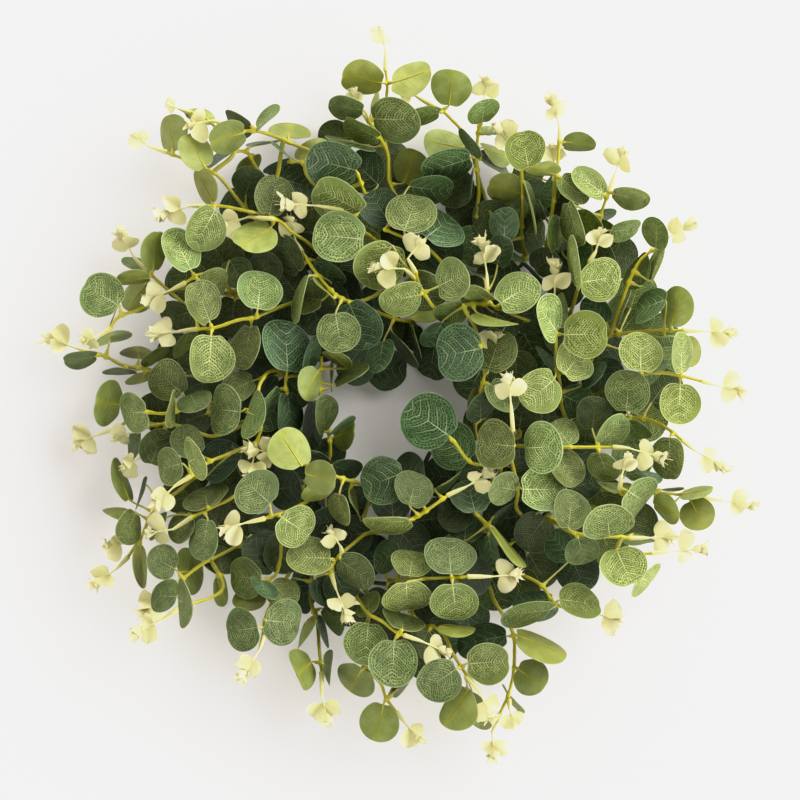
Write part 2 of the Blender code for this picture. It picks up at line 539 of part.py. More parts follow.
def tube(path, radii, sides=5):
    """A plain closed tube, for testing."""
    points, faces = [], []
    hint = Vector((0.3, 0.7, 0.2))
    for k, p in enumerate(path):
        a, b = path[max(k - 1, 0)], path[min(k + 1, len(path) - 1)]
        d = (b - a).normalized()
        s = square_to(d, hint)
        n = d.cross(s)
        hint = s
        for j in range(sides):
            w = 2 * math.pi * j / sides
            points.append(p + (s * math.cos(w) + n * math.sin(w)) * radii[k])
        if k:
            base = (k - 1) * sides
            for j in range(sides):
                m = (j + 1) % sides
                faces.append((base + j, base + m, base + sides + m, base + sides + j))
    faces.append(tuple(reversed(range(sides))))
    faces.append(tuple(range(len(points) - sides, len(points))))
    return points, faces


# ---------------------------------------------------------------- stems
class Limb:
    """One stem: knots (plan point, height, fixed) from the hook or the parent to the end of the tip."""

    def __init__(self, sprig, index, row, parent):
        pane, course, sleeve, tip, _ = row
        self.sprig, self.index, self.parent = sprig, index, parent
        self.course = [plan(pane, *p) for p in course]
        self.sleeve = plan(pane, *sleeve) if sleeve else None
        self.tip = plan(pane, *tip) if tip else None
        self.leaves, self.branches = [], []
        self.knots, self.join = [], 0.0

    def set_heights(self, fallback, rng):
        """Heights of the course points, from the heights that its leaves ask for."""
        asked = [(leaf.base, leaf.height) for leaf in self.leaves]
        mean = sum(h for _, h in asked) / len(asked) if asked else fallback
        self.heights = []
        for p in self.course:
            total, weight = 0.12 * mean, 0.12
            for q, h in asked:
                w = math.exp(-((flat_distance(p, q) * PX / 13.0) ** 2))
                total, weight = total + w * h, weight + w
            self.heights.append(clamp(total / weight, 13.0, 66.0))
        for _ in range(2):
            old = list(self.heights)
            for k in range(1, len(old) - 1):
                self.heights[k] = 0.25 * old[k - 1] + 0.5 * old[k] + 0.25 * old[k + 1]
        rise = rng.uniform(-3.0, 5.0)
        self.tip_rise = rise

    def positions(self):
        return [lift(p, z) for p, z, _ in self.knots]


def spread(a, b, za, zb, step):
    """Points between two plan points, at most step millimetres apart, without the first."""
    count = max(1, math.ceil(flat_distance(a, b) * PX / step))
    return [
        ((a[0] + (b[0] - a[0]) * k / count, a[1] + (b[1] - a[1]) * k / count), za + (zb - za) * k / count)
        for k in range(1, count + 1)
    ]


HOOK = ((-3.5, -1.2), (0.0, -4.6), (3.5, -1.4), (3.5, 4.6))


def hook_points(ring, angle, side):
    """Centre line of a hook round a ring wire, from its free end to the top of its shank."""
    out = Vector((math.cos(angle), math.sin(angle), 0.0))
    return [out * (ring + side * x) + UP * (WIRE_Z + z) for x, z in HOOK]


def choose_hooks(mains):
    """Gives each main stem its place on a ring wire."""
    places = []
    for ring in RING_R:
        count = int(2 * math.pi * ring / 6.5)
        for k in range(count):
            angle = 2 * math.pi * k / count
            off = min(
                abs((angle - math.pi * (2 * b + 1) / BARS + math.pi) % (2 * math.pi) - math.pi) for b in range(BARS)
            )
            if off * ring > BAR_W / 2 + 4.0:
                places.append((ring, angle))
    wishes = []
    for limb in mains:
        a = lift(limb.course[0], 20.0)
        b = lift(limb.course[1], 20.0)
        wishes.append((limb, a - (b - a).normalized() * 26.0, a))
    taken = []
    for limb, wish, start in sorted(wishes, key=lambda w: -abs(w[1].to_2d().length - 118.0)):
        best = None
        flat_start = Vector((start.x, start.y, 0.0))
        for ring, angle in places:
            p = Vector((math.cos(angle), math.sin(angle), 0.0)) * ring
            if any((p - q).length < 9.0 for q, _ in taken):
                continue
            near = (p - flat_start).length
            cost = (p - wish).to_2d().length + 2.5 * max(0.0, 14.0 - near) + 0.6 * max(0.0, near - 45.0)
            for q, far in taken:
                _, _, a, b = between(p, flat_start, q, far)
                cost += 6.0 * max(0.0, 6.5 - (a - b).length)
            if best is None or cost < best[0]:
                best = (cost, ring, angle, p)
        taken.append((best[3], flat_start))
        limb.hook = (best[1], best[2])
    # Two stems whose hidden runs would cross trade their places.
    for _ in range(4):
        for i in range(len(mains)):
            for j in range(i + 1, len(mains)):
                ends = [lift(mains[k].course[0], 20.0).to_2d() for k in (i, j)]
                spots = [Vector((math.cos(mains[k].hook[1]), math.sin(mains[k].hook[1]))) * mains[k].hook[0] for k in (i, j)]
                now = (spots[0] - ends[0]).length + (spots[1] - ends[1]).length
                other = (spots[1] - ends[0]).length + (spots[0] - ends[1]).length
                if other < now - 1.0:
                    mains[i].hook, mains[j].hook = mains[j].hook, mains[i].hook
    for limb in mains:
        start = lift(limb.course[0], 20.0).to_2d().length
        limb.hook = (*limb.hook, 1.0 if start > limb.hook[0] else -1.0)


def lay_knots(limb, rng):
    """Fills in the knots of a stem from its course."""
    heights = limb.heights
    first = limb.course[0]
    if limb.parent is None:
        heights[0] = max(13.0, heights[0] - 5.0)
        hook = hook_points(*limb.hook)
        limb.knots = [(drop(p), p.z, True) for p in hook]
        limb.hook_knots = len(hook)
        top = limb.knots[-1][0]
        span = flat_distance(top, first) * PX
        mid = ((top[0] + first[0]) / 2, (top[1] + first[1]) / 2)
        mid_z = max(15.0, 0.45 * (WIRE_Z + 5) + 0.55 * heights[0]) if span > 12 else max(14.0, heights[0] * 0.6)
        if span > 10:
            limb.knots += [(p, z, False) for p, z in spread(top, mid, 15.0, mid_z, 8.0)]
            limb.knots += [(p, z, False) for p, z in spread(mid, first, mid_z, heights[0], 8.0)]
        else:
            limb.knots += [(p, z, False) for p, z in spread(top, first, 15.0, heights[0], 8.0)]
    else:
        limb.hook_knots = 1
        base = limb.parent.knots[limb.parent_knot]
        limb.knots = [(base[0], base[1], False)]
        if flat_distance(base[0], first) * PX > 3.5:
            limb.knots += [(p, z, False) for p, z in spread(base[0], first, base[1], heights[0], 8.0)]
    for k in range(1, len(limb.course)):
        a, b = limb.course[k - 1], limb.course[k]
        limb.knots += [(p, z, False) for p, z in spread(a, b, heights[k - 1], heights[k], 8.0)]
    limb.stem_end = len(limb.knots) - 1
    if limb.tip:
        z = heights[-1] + 0.4 * limb.tip_rise
        limb.knots.append((limb.sleeve, max(5.0, z), False))
        limb.knots += [
            (p, q, False) for p, q in spread(limb.sleeve, limb.tip, max(5.0, z), max(5.0, z + limb.tip_rise), 9.0)
        ]


def radius_at(limb, k):
    """Room taken by a stem round knot k."""
    if limb.tip and k > limb.stem_end + 1:
        return 3.6 if k < len(limb.knots) - 1 else 2.2
    if limb.tip and k >= limb.stem_end:
        return SLEEVE_R + 0.4
    f = k / max(1, limb.stem_end)
    return 1.15 * (STEM_R0 + (STEM_R1 - STEM_R0) * f)


def relax(limbs):
    """Moves stems up and down until they pass over and under each other with room to spare."""
    cells = {}
    pieces = []
    for limb in limbs:
        at = limb.positions()
        for k in range(len(at) - 1):
            pieces.append((limb, k))
            a, b = at[k], at[k + 1]
            for i in range(int(min(a.x, b.x) - 5) // 10, int(max(a.x, b.x) + 5) // 10 + 1):
                for j in range(int(min(a.y, b.y) - 5) // 10, int(max(a.y, b.y) + 5) // 10 + 1):
                    cells.setdefault((i, j), []).append(len(pieces) - 1)
    near = set()
    for group in cells.values():
        for x in range(len(group)):
            for y in range(x + 1, len(group)):
                near.add((group[x], group[y]))
    tests = []
    for x, y in sorted(near):
        (la, i), (lb, j) = pieces[x], pieces[y]
        if la is lb:
            continue
        need = max(radius_at(la, i), radius_at(la, i + 1)) + max(radius_at(lb, j), radius_at(lb, j + 1)) + GAP
        if la.sprig == lb.sprig:
            # The first stretch of a branch is part of its parent.
            child, ck, other, ok = (la, i, lb, j) if la.index > lb.index else (lb, j, la, i)
            if child.parent is other and (ck < 1 or abs(ok - child.parent_knot) <= 1 and ck < 2):
                continue
            if child.parent is other and ck < 3:
                need *= 0.75
        tests.append((la, i, lb, j, need))
    for step in range(150):
        place = {id(limb): limb.positions() for limb in limbs}
        shift = {id(limb): [0.0] * len(limb.knots) for limb in limbs}
        count = {id(limb): [0] * len(limb.knots) for limb in limbs}
        worst = 0.0
        for la, i, lb, j, need in tests:
            pa, pb = place[id(la)], place[id(lb)]
            if min(pa[i].z, pa[i + 1].z) - max(pb[j].z, pb[j + 1].z) > need:
                continue
            if min(pb[j].z, pb[j + 1].z) - max(pa[i].z, pa[i + 1].z) > need:
                continue
            s, t, p, q = between(pa[i], pa[i + 1], pb[j], pb[j + 1])
            gap = (p - q).length
            if gap >= need:
                continue
            flat = math.hypot(p.x - q.x, p.y - q.y)
            push = math.sqrt(max(0.0, need * need - flat * flat)) - abs(p.z - q.z)
            worst = max(worst, need - gap)
            sign = 1.0 if (p.z - q.z, la.order) > (0.0, lb.order) else -1.0
            for limb, k, f, way in ((la, i, s, sign), (lb, j, t, -sign)):
                fixed = limb.knots[k][2] and limb.knots[k + 1][2]
                other = (lb, j) if limb is la else (la, i)
                stuck = other[0].knots[other[1]][2] and other[0].knots[other[1] + 1][2]
                share = 0.0 if fixed else (1.05 if stuck else 0.55)
                for m, w in ((k, 1 - f), (k + 1, f)):
                    if w > 0.05:
                        shift[id(limb)][m] += way * share * push
                        count[id(limb)][m] += 1
        for limb in limbs:
            for k, (p, z, fixed) in enumerate(limb.knots):
                if fixed:
                    continue
                if count[id(limb)][k]:
                    z += shift[id(limb)][k] / count[id(limb)][k]
                if step < 100 and 0 < k < len(limb.knots) - 1:
                    z += 0.10 * (0.5 * (limb.knots[k - 1][1] + limb.knots[k + 1][1]) - z)
                low = 11.2 if 85.0 < lift(p, z).to_2d().length < 152.0 else 4.5
                limb.knots[k] = (p, clamp(z, low, 74.0), False)
            if limb.parent:
                limb.knots[0] = limb.parent.knots[limb.parent_knot]
        if step > 100 and worst < 0.02:
            break
    return worst


# ---------------------------------------------------------------- laying the wreath out
class Sprig:
    def __init__(self, name):
        self.name, self.limbs = name, []


def lay_stems(rng):
    sprigs, limbs = [], []
    for name, rows in PLAN:
        sprig = Sprig(name)
        for index, row in enumerate(rows):
            limb = Limb(name, index, row, None)
            limb.order = len(limbs)
            for *ends, width, code in row[4]:
                base, far = plan(row[0], *ends[:2]), plan(row[0], *ends[2:])
                limb.leaves.append(Leaf(sprig, base, far, width, code, rng))
            if index:
                limb.parent = sprig.limbs[0]
            sprig.limbs.append(limb)
            limbs.append(limb)
        sprigs.append(sprig)
    for sprig in sprigs:
        main = sprig.limbs[0]
        main.set_heights(28.0, rng)
        for limb in sprig.limbs[1:]:
            k = min(range(len(main.course)), key=lambda i: flat_distance(main.course[i], limb.course[0]))
            limb.set_heights(main.heights[k] + 1.0, rng)
    choose_hooks([sprig.limbs[0] for sprig in sprigs])
    for sprig in sprigs:
        main = sprig.limbs[0]
        lay_knots(main, rng)
        for limb in sprig.limbs[1:]:
            inner = range(main.hook_knots, main.stem_end)
            limb.parent_knot = min(inner, key=lambda i: flat_distance(main.knots[i][0], limb.course[0]))
            if flat_distance(main.knots[limb.parent_knot][0], limb.course[0]) * PX < 3.5:
                limb.course, limb.heights = limb.course[1:], limb.heights[1:]
                limb.course.insert(0, main.knots[limb.parent_knot][0])
                limb.heights.insert(0, main.knots[limb.parent_knot][1])
            lay_knots(limb, rng)
    left = relax(limbs)
    for limb in limbs:
        at = limb.positions()
        limb.path = simplified(at[: limb.hook_knots], 0.01)[:-1] if limb.hook_knots > 1 else []
        limb.path += simplified(at[max(0, limb.hook_knots - 1) : limb.stem_end + 1], 1.1)
        limb.total = lengths(limb.path)
        limb.low = limb.total[limb.hook_knots - 1] + 3.5 if limb.hook_knots > 1 else 4.0
        limb.high = limb.total[-1] - 1.8
        limb.rest = at[limb.stem_end :]
        limb.side = Vector((0.0, 0.0, 0.0))
    return sprigs, limbs, left


def stem_radius(limb, s):
    f = clamp(s / max(limb.total[-1], 1e-6), 0.0, 1.0)
    if limb.parent is None and s < limb.low:
        return HOOK_R
    return STEM_R0 + (STEM_R1 - STEM_R0) * f


def frame_shapes():
    """Points and faces of the two ring wires and the bars."""
    wires, bars = [], []
    sides = 6
    for ring in RING_R:
        points, faces = [], []
        for k in range(RING_SEGMENTS):
            w = 2 * math.pi * k / RING_SEGMENTS
            out = Vector((math.cos(w), math.sin(w), 0.0))
            for j in range(sides):
                a = 2 * math.pi * (j + 0.5) / sides
                points.append(out * (ring + WIRE_R * math.cos(a)) + UP * (WIRE_Z + WIRE_R * math.sin(a)))
        for k in range(RING_SEGMENTS):
            m = (k + 1) % RING_SEGMENTS
            for j in range(sides):
                i = (j + 1) % sides
                faces.append((k * sides + j, m * sides + j, m * sides + i, k * sides + i))
        wires.append((points, faces))
    for b in range(BARS):
        w = math.pi * (2 * b + 1) / BARS
        out = Vector((math.cos(w), math.sin(w), 0.0))
        side = Vector((-out.y, out.x, 0.0)) * BAR_W / 2
        points = [
            out * r + side * y + UP * z for z in (0.0, WIRE_Z) for r, y in ((BAR_IN, -1), (BAR_OUT, -1), (BAR_OUT, 1), (BAR_IN, 1))
        ]
        faces = [(3, 2, 1, 0), (4, 5, 6, 7), (0, 1, 5, 4), (1, 2, 6, 5), (2, 3, 7, 6), (3, 0, 4, 7)]
        bars.append((points, faces))
    bars.append(tube([Vector(p[:3]) for p in TAIL], [p[3] for p in TAIL], 6))
    return wires, bars


class Heap:
    """Shapes that are already in place, with the owner of every face."""

    def __init__(self):
        self.points, self.faces, self.owners = [], [], []
        self.tree = None

    def add(self, shape, owner):
        points, faces = shape
        base = len(self.points)
        self.points += points
        for face in faces:
            self.faces.append(tuple(base + k for k in face))
            self.owners.append(owner)
        self.tree = None

    def hits(self, tree, but=None):
        if not self.faces:
            return False
        if self.tree is None:
            self.tree = BVHTree.FromPolygons(self.points, self.faces)
        for _, face in tree.overlap(self.tree):
            if but is None or self.owners[face] is not but:
                return True
        return False


def tip_shape(limb):
    """Frame and sizes of a pale tip: thin stem from the sleeve's end to the bud's point."""
    start, end = limb.rest[1], limb.rest[-1]
    d = (end - start).normalized()
    return start, end, d


def tip_blades(limb):
    """The pair of small leaves that stand off the tip, as flat diamonds for testing."""
    start, end, d = tip_shape(limb)
    size = (end - start).length
    shapes = []
    for way in (-1.0, 1.0):
        s = limb.side * way
        n = d.cross(s)
        root = start + d * (0.30 * size) + s * 0.8
        out = (s * 0.72 + d * 0.70).normalized()
        wide = out.cross(n).normalized()
        reach = min(10.5, 0.46 * size + 2.0)
        points = [root, root + out * reach * 0.5 + wide * 2.7, root + out * reach, root + out * reach * 0.5 - wide * 2.7]
        points += [root + out * reach * 0.5 + n * 0.8, root + out * reach * 0.5 - n * 0.8]
        faces = [(0, 1, 4), (1, 2, 4), (2, 3, 4), (3, 0, 4), (1, 0, 5), (2, 1, 5), (3, 2, 5), (0, 3, 5)]
        shapes.append((points, faces))
    return shapes


def lay_static(limbs, rng):
    """Stems, tips and ring frame as the shapes that leaves must clear."""
    heap = Heap()
    wires, bars = frame_shapes()
    for shape in wires + bars:
        heap.add(shape, "frame")
    for limb in limbs:
        radii = [stem_radius(limb, s) * 1.12 for s in limb.total]
        heap.add(tube(limb.path, radii), limb)
        if limb.tip:
            rest = [limb.rest[0], limb.rest[1], limb.rest[-1]]
            heap.add(tube(rest, [SLEEVE_R + 0.2, SLEEVE_R, 0.9]), limb)
    for limb in limbs:
        if not limb.tip:
            continue
        _, _, d = tip_shape(limb)
        flat = square_to(d, Vector((-d.y, d.x, 0.0)))
        up = d.cross(flat)
        for turn in (0.0, 0.4, -0.4, 0.8, -0.8, 1.2, -1.2, 1.57):
            spin = turn + (rng.uniform(-0.35, 0.35) if turn == 0.0 else 0.0)
            limb.side = flat * math.cos(spin) + up * math.sin(spin)
            clear = True
            for points, faces in tip_blades(limb):
                if heap.hits(BVHTree.FromPolygons(points, faces), limb) or min(p.z for p in points) < 1.5:
                    clear = False
            if clear:
                break
        limb.tip_clear = clear
        if clear:
            for shape in tip_blades(limb):
                heap.add(shape, limb)
    return heap


def petiole_of(leaf, limb, s):
    at, _ = along(limb.path, limb.total, s)
    way = leaf.where - at
    return at + way.normalized() * (stem_radius(limb, s) + 0.7)


def fits(leaf, limb, s, static, heap):
    points, faces = leaf.slab(GAP)
    if min(p.z for p in points) < 1.6:
        return False
    tree = BVHTree.FromPolygons(points, faces)
    if static.hits(tree) or heap.hits(tree):
        return False
    at, _ = along(limb.path, limb.total, s)
    reach = (leaf.where - at).length
    if reach < stem_radius(limb, s) + 1.7:
        return False
    start = petiole_of(leaf, limb, s)
    if (leaf.where - start).length < 0.3:
        return False
    points, faces = tube([start, leaf.where], [PETIOLE_R + 0.45, PETIOLE_R + 0.45], 4)
    tree = BVHTree.FromPolygons(points, faces)
    return not (static.hits(tree, limb) or heap.hits(tree))


def out_of_order(leaf, heap):
    """How many of a few points of the blade lie above a leaf that must cover this one."""
    if not heap.faces:
        return 0
    wrong = 0
    for x, y in ((0.5, 0.0), (0.15, 0.3), (0.15, -0.3), (0.8, 0.3), (0.8, -0.3), (0.95, 0.0)):
        p = leaf.point(x, y)
        _, _, face, _ = heap.tree.ray_cast(p, -UP)
        if face is not None and heap.owners[face].level > leaf.level:
            wrong += 1
    return wrong


def lay_leaf(leaf, limbs, static, heap, rng, tries, loose):
    """Looks for a pose near the wished one that touches nothing. True when it found one."""
    aim = math.atan2(-(leaf.far[1] - leaf.base[1]), leaf.far[0] - leaf.base[0])
    size0, pitch0, roll0 = leaf.size, leaf.pitch, leaf.roll
    best = None
    for k in range(tries):
        f = k / tries
        wild = loose * f
        pitch = pitch0 + rng.uniform(-0.75, 0.75) * wild
        roll = roll0 + rng.uniform(-0.75, 0.75) * wild
        heading = aim + rng.uniform(-0.35, 0.35) * wild
        size = size0 * (1.0 - 0.12 * f * rng.random())
        dz = rng.uniform(-7.0, 7.0) * wild
        if k % 4 == 1:
            pitch = -pitch
        if k % 4 == 2:
            roll = -roll
        base = (leaf.base[0] + rng.uniform(-3.0, 3.0) * wild, leaf.base[1] + rng.uniform(-3.0, 3.0) * wild)
        where = lift(base, leaf.height)
        found = None
        for limb in limbs:
            if limb.high <= limb.low:
                continue
            low = limb.low if limb.parent is None else min(4.0, limb.high)
            d, s = nearest_on(limb.path, limb.total, where, low, limb.high)
            at, _ = along(limb.path, limb.total, s)
            flat = math.hypot(at.x - where.x, at.y - where.y)
            if found is None or flat + 0.3 * abs(at.z - where.z) < found[0]:
                found = (flat + 0.3 * abs(at.z - where.z), limb, s, at)
        if found is None:
            return False
        _, limb, s, at = found
        flat = math.hypot(at.x - where.x, at.y - where.y)
        slack = 3.5 + 0.5 * flat
        z = at.z + clamp(leaf.height - at.z, -slack, slack) + dz
        where = lift(base, z)
        u = Vector((math.cos(heading) * math.cos(pitch), math.sin(heading) * math.cos(pitch), math.sin(pitch)))
        room = stem_radius(limb, s) + 2.0
        while (where - at).length < room:
            where = where + u * 0.4 + (where - at) * 0.08
        leaf.pose(where, heading, pitch, roll, size)
        if not fits(leaf, limb, s, static, heap):
            continue
        wrong = out_of_order(leaf, heap)
        cost = wrong * 1.0 + f
        if best is None or cost < best[0]:
            best = (cost, where, heading, pitch, roll, size, limb, s)
        if wrong == 0 or (k > tries * 0.7 and best[0] < 3.0):
            break
    leaf.size = size0
    if best is None:
        return False
    _, where, heading, pitch, roll, size, limb, s = best
    leaf.pose(where, heading, pitch, roll, size)
    leaf.limb, leaf.at = limb, s
    heap.add(leaf.slab(0.0), leaf)
    heap.tree = BVHTree.FromPolygons(heap.points, heap.faces)
    return True


# The foliage as the plan shows it, and the opening in it, as plan points.
FOLIAGE = (
    (300, 150), (350, 130), (400, 140), (440, 150), (470, 150), (520, 165), (560, 180), (590, 215), (620, 235),
    (640, 270), (660, 300), (668, 340), (672, 380), (665, 420), (655, 455), (650, 490), (640, 530), (620, 560),
    (590, 580), (560, 600), (520, 600), (480, 615), (470, 640), (440, 660), (400, 670), (360, 650), (330, 600),
    (300, 590), (270, 570), (240, 560), (200, 550), (175, 520), (165, 480), (160, 440), (150, 400), (160, 360),
    (170, 330), (175, 290), (180, 250), (200, 220), (230, 200), (250, 180), (275, 160),
)
OPENING = (
    (335, 400), (340, 385), (372, 383), (395, 378), (398, 355), (415, 370), (440, 375), (465, 390), (470, 420),
    (450, 455), (430, 470), (400, 468), (370, 460), (350, 470), (332, 455), (328, 430),
)
MOST_FILLERS = 155


def inside(p, polygon):
    odd = False
    for k in range(len(polygon)):
        (x0, y0), (x1, y1) = polygon[k - 1], polygon[k]
        if (y0 > p[1]) != (y1 > p[1]) and p[0] < (x1 - x0) * (p[1] - y0) / (y1 - y0) + x0:
            odd = not odd
    return odd


def is_open(p, static, heap):
    eye = Vector((0.0, 0.0, EYE_H))
    way = (lift(p, 0.0) - eye).normalized()
    if heap.tree.ray_cast(eye, way)[2] is not None:
        return False
    face = static.tree.ray_cast(eye, way)[2]
    return face is None or static.owners[face] == "frame"


def fill_gaps(limbs, static, heap, rng):
    """Dark leaves deep down, wherever the surface could be seen through the foliage."""
    cells = []
    for i in range(130, 690, 6):
        for j in range(110, 690, 6):
            if inside((i, j), FOLIAGE) and not inside((i, j), OPENING) and is_open((i, j), static, heap):
                cells.append((i, j))
    made = []
    for scale, spread_px, least, choices, tries in ((1.0, 19.0, 3, 5, 26), (0.84, 15.0, 2, 8, 40)):
        given_up = set()
        while len(made) < MOST_FILLERS:
            best = None
            for c in cells:
                if c in given_up:
                    continue
                near = [q for q in cells if flat_distance(c, q) < spread_px]
                if best is None or len(near) > best[0]:
                    best = (len(near), c, near)
            if best is None or best[0] < least:
                break
            _, c, near = best
            middle = (sum(q[0] for q in near) / len(near), sum(q[1] for q in near) / len(near))
            centre = lift(middle, 14.0)
            options = []
            for limb in limbs:
                if limb.high <= limb.low:
                    continue
                low = limb.low if limb.parent is None else min(4.0, limb.high)
                d, s = nearest_on(limb.path, limb.total, centre, low, limb.high)
                at, _ = along(limb.path, limb.total, s)
                options.append((d + 0.5 * abs(at.z - 14.0), limb.order, limb, at))
            options.sort()
            done = False
            for _, _, limb, at in options[:choices]:
                way = (centre - at).to_2d()
                way = way.normalized() if way.length > 1.0 else Vector((1.0, 0.0))
                half = Vector((way.x, way.y, 0.0)) * LEAF_L * 0.5 * scale
                base, far = drop(centre - half), drop(centre + half)
                leaf = Leaf(None, base, far, LEAF_W / PX / PANE * 0.98 * scale, "D" + str(rng.choice((0, 0, 1))), rng)
                leaf.height = rng.uniform(9.0, 17.0)
                if lay_leaf(leaf, [limb], static, heap, rng, tries, 0.9):
                    leaf.filler = True
                    made.append(leaf)
                    done = True
                    break
            if not done:
                given_up.add(c)
                continue
            cells = [q for q in cells if flat_distance(q, middle) > 45.0 or is_open(q, static, heap)]
    return made, cells


def lay_out(seed):
    """The whole wreath: sprigs with their limbs, leaves and tips, all in their final places."""
    rng = random.Random(seed)
    sprigs, limbs, left = lay_stems(rng)
    static = lay_static(limbs, rng)
    static.hits(BVHTree.FromPolygons([Vector((0, 0, 0)), Vector((1, 0, 0)), Vector((0, 1, 0))], [(0, 1, 2)]))
    heap = Heap()
    leaves = [(leaf, sprig) for sprig in sprigs for limb in sprig.limbs for leaf in limb.leaves]
    leaves.sort(key=lambda pair: -pair[0].level)
    placed, lost = [], []
    for leaf, sprig in leaves:
        leaf.filler = False
        if lay_leaf(leaf, sprig.limbs, static, heap, rng, 70, 1.0):
            placed.append(leaf)
        else:
            lost.append((leaf, sprig))
    for leaf, sprig in lost:
        leaf.size *= 0.9
        if lay_leaf(leaf, sprig.limbs, static, heap, rng, 70, 1.6):
            placed.append(leaf)
    made, cells = fill_gaps(limbs, static, heap, rng)
    for limb in limbs:
        limb.leaves = [leaf for leaf in placed + made if leaf.limb is limb]
    return sprigs, limbs, static, heap, (left, len(leaves), len(placed), len(made), len(cells))


# ---------------------------------------------------------------- solids
class Solid:
    """Points and triangles of one closed body, grown ring by ring."""

    def __init__(self):
        self.points, self.faces, self.owners = [], [], []
        self.owner = None

    def add(self, p):
        self.points.append(p)
        return len(self.points) - 1

    def face(self, *corners):
        self.faces.append(corners)
        self.owners.append(self.owner)

    def quad(self, a, b, c, d):
        p = self.points
        if (p[a] - p[c]).length <= (p[b] - p[d]).length:
            self.face(a, b, c)
            self.face(a, c, d)
        else:
            self.face(a, b, d)
            self.face(b, c, d)

    def ring(self, c, v, n, wide, thick):
        return [self.add(c + v * wide), self.add(c + n * thick), self.add(c - v * wide), self.add(c - n * thick)]

    def round_ring(self, c, d, s, r):
        return self.ring(c, s, d.cross(s), r, r)

    def bridge(self, a, b, ports=()):
        p = self.points
        turn = min(range(4), key=lambda m: sum((p[a[k]] - p[b[(k + m) % 4]]).length_squared for k in range(4)))
        b = [b[(k + turn) % 4] for k in range(4)]
        for k in range(4):
            if k not in ports:
                self.quad(a[k], a[(k + 1) % 4], b[(k + 1) % 4], b[k])
        return b

    def point_off(self, ring, apex):
        top = self.add(apex)
        for k in range(4):
            self.face(ring[k], ring[(k + 1) % 4], top)

    def middle(self, ring):
        return sum((self.points[k] for k in ring), Vector()) / len(ring)


NODE_HALF = 1.15  # half length of a knot on a stem
NODE_STEP = 3.7  # least distance between two knots


def grouped(limb):
    """Knots along a stem: (length along it, what grows from it)."""
    children = [(leaf.at, k, leaf) for k, leaf in enumerate(limb.leaves)]
    children += [(branch.join, 1000 + k, branch) for k, branch in enumerate(limb.branches)]
    children.sort(key=lambda c: c[:2])
    groups = []
    for at, _, child in children:
        if groups and at - groups[-1][0] < 4.2 and len(groups[-1][1]) < 4:
            groups[-1][1].append(child)
            groups[-1][2].append(at)
        else:
            groups.append([at, [child], [at]])
    low = limb.low if limb.parent is None else 3.4
    most = max(1, int((limb.high - low) / NODE_STEP) + 1)
    while len(groups) > most:
        gaps = [(groups[k + 1][0] - groups[k][0], k) for k in range(len(groups) - 1)]
        merged = False
        for _, k in sorted(gaps):
            if len(groups[k][1]) + len(groups[k + 1][1]) <= 4:
                groups[k][1] += groups[k + 1][1]
                groups[k][2] += groups[k + 1][2]
                del groups[k + 1]
                merged = True
                break
        if not merged:
            for child in groups.pop()[1]:
                child.lost = True
    centres = [clamp(sum(g[2]) / len(g[2]), low, max(low, limb.high)) for g in groups]
    for k in range(1, len(centres)):
        centres[k] = max(centres[k], centres[k - 1] + NODE_STEP)
    if centres and centres[-1] > limb.high:
        centres[-1] = max(low, limb.high)
        for k in range(len(centres) - 2, -1, -1):
            centres[k] = min(centres[k], centres[k + 1] - NODE_STEP)
    return [(c, g[1]) for c, g in zip(centres, groups)]


def orders(count, picked):
    """All ways to give each of some children its own one of four sides."""
    if picked == count:
        return [()]
    return [(k, *rest) for rest in orders(count, picked + 1) for k in range(4) if k not in rest]


def grow_leaf(solid, leaf, port, out):
    solid.owner = leaf
    start = solid.middle(port)
    ring = port
    way = leaf.where - start
    reach = way.length
    toward = way.normalized()
    hint = (solid.points[port[0]] - start).normalized()
    if (out.dot(toward) < 0.45 or reach > 14.0) and reach > 1.6:
        d = (out + toward * 0.8).normalized()
        s = square_to(d, hint)
        ring = solid.bridge(ring, solid.round_ring(start + out * min(1.1, 0.35 * reach) + toward * 0.3, d, s, PETIOLE_R))
    if leaf.u.dot(toward) < 0.45 and reach > 3.0:
        d = (leaf.u + toward).normalized()
        s = square_to(d, leaf.v)
        ring = solid.bridge(ring, solid.round_ring(leaf.where - leaf.u * 1.2 - toward * 0.4, d, s, PETIOLE_R))
    neck = solid.bridge(ring, solid.ring(leaf.where, leaf.v, leaf.n, 0.95, 0.55))
    left, front, right, back = neck
    # The neck may have been turned to suit the peg, so its corners are told apart by place.
    corner = sorted(neck, key=lambda k: -(solid.points[k] - leaf.where).dot(leaf.v))
    left, right = corner[0], corner[3]
    front, back = sorted(corner[1:3], key=lambda k: -(solid.points[k] - leaf.where).dot(leaf.n))
    edge = [solid.add(leaf.point(x, y)) for x, y in ((0.16, -0.41), (0.82, -0.40), (1.0, 0.0), (0.82, 0.40), (0.16, 0.41))]
    top = solid.add(leaf.point(0.5, 0.0, LEAF_T / 2))
    under = solid.add(leaf.point(0.5, 0.0, -LEAF_T / 2))
    loop = [front, right, *edge, left]
    for k in range(len(loop)):
        solid.face(top, loop[k], loop[(k + 1) % len(loop)])
    loop[0] = back
    for k in range(len(loop)):
        solid.face(under, loop[(k + 1) % len(loop)], loop[k])


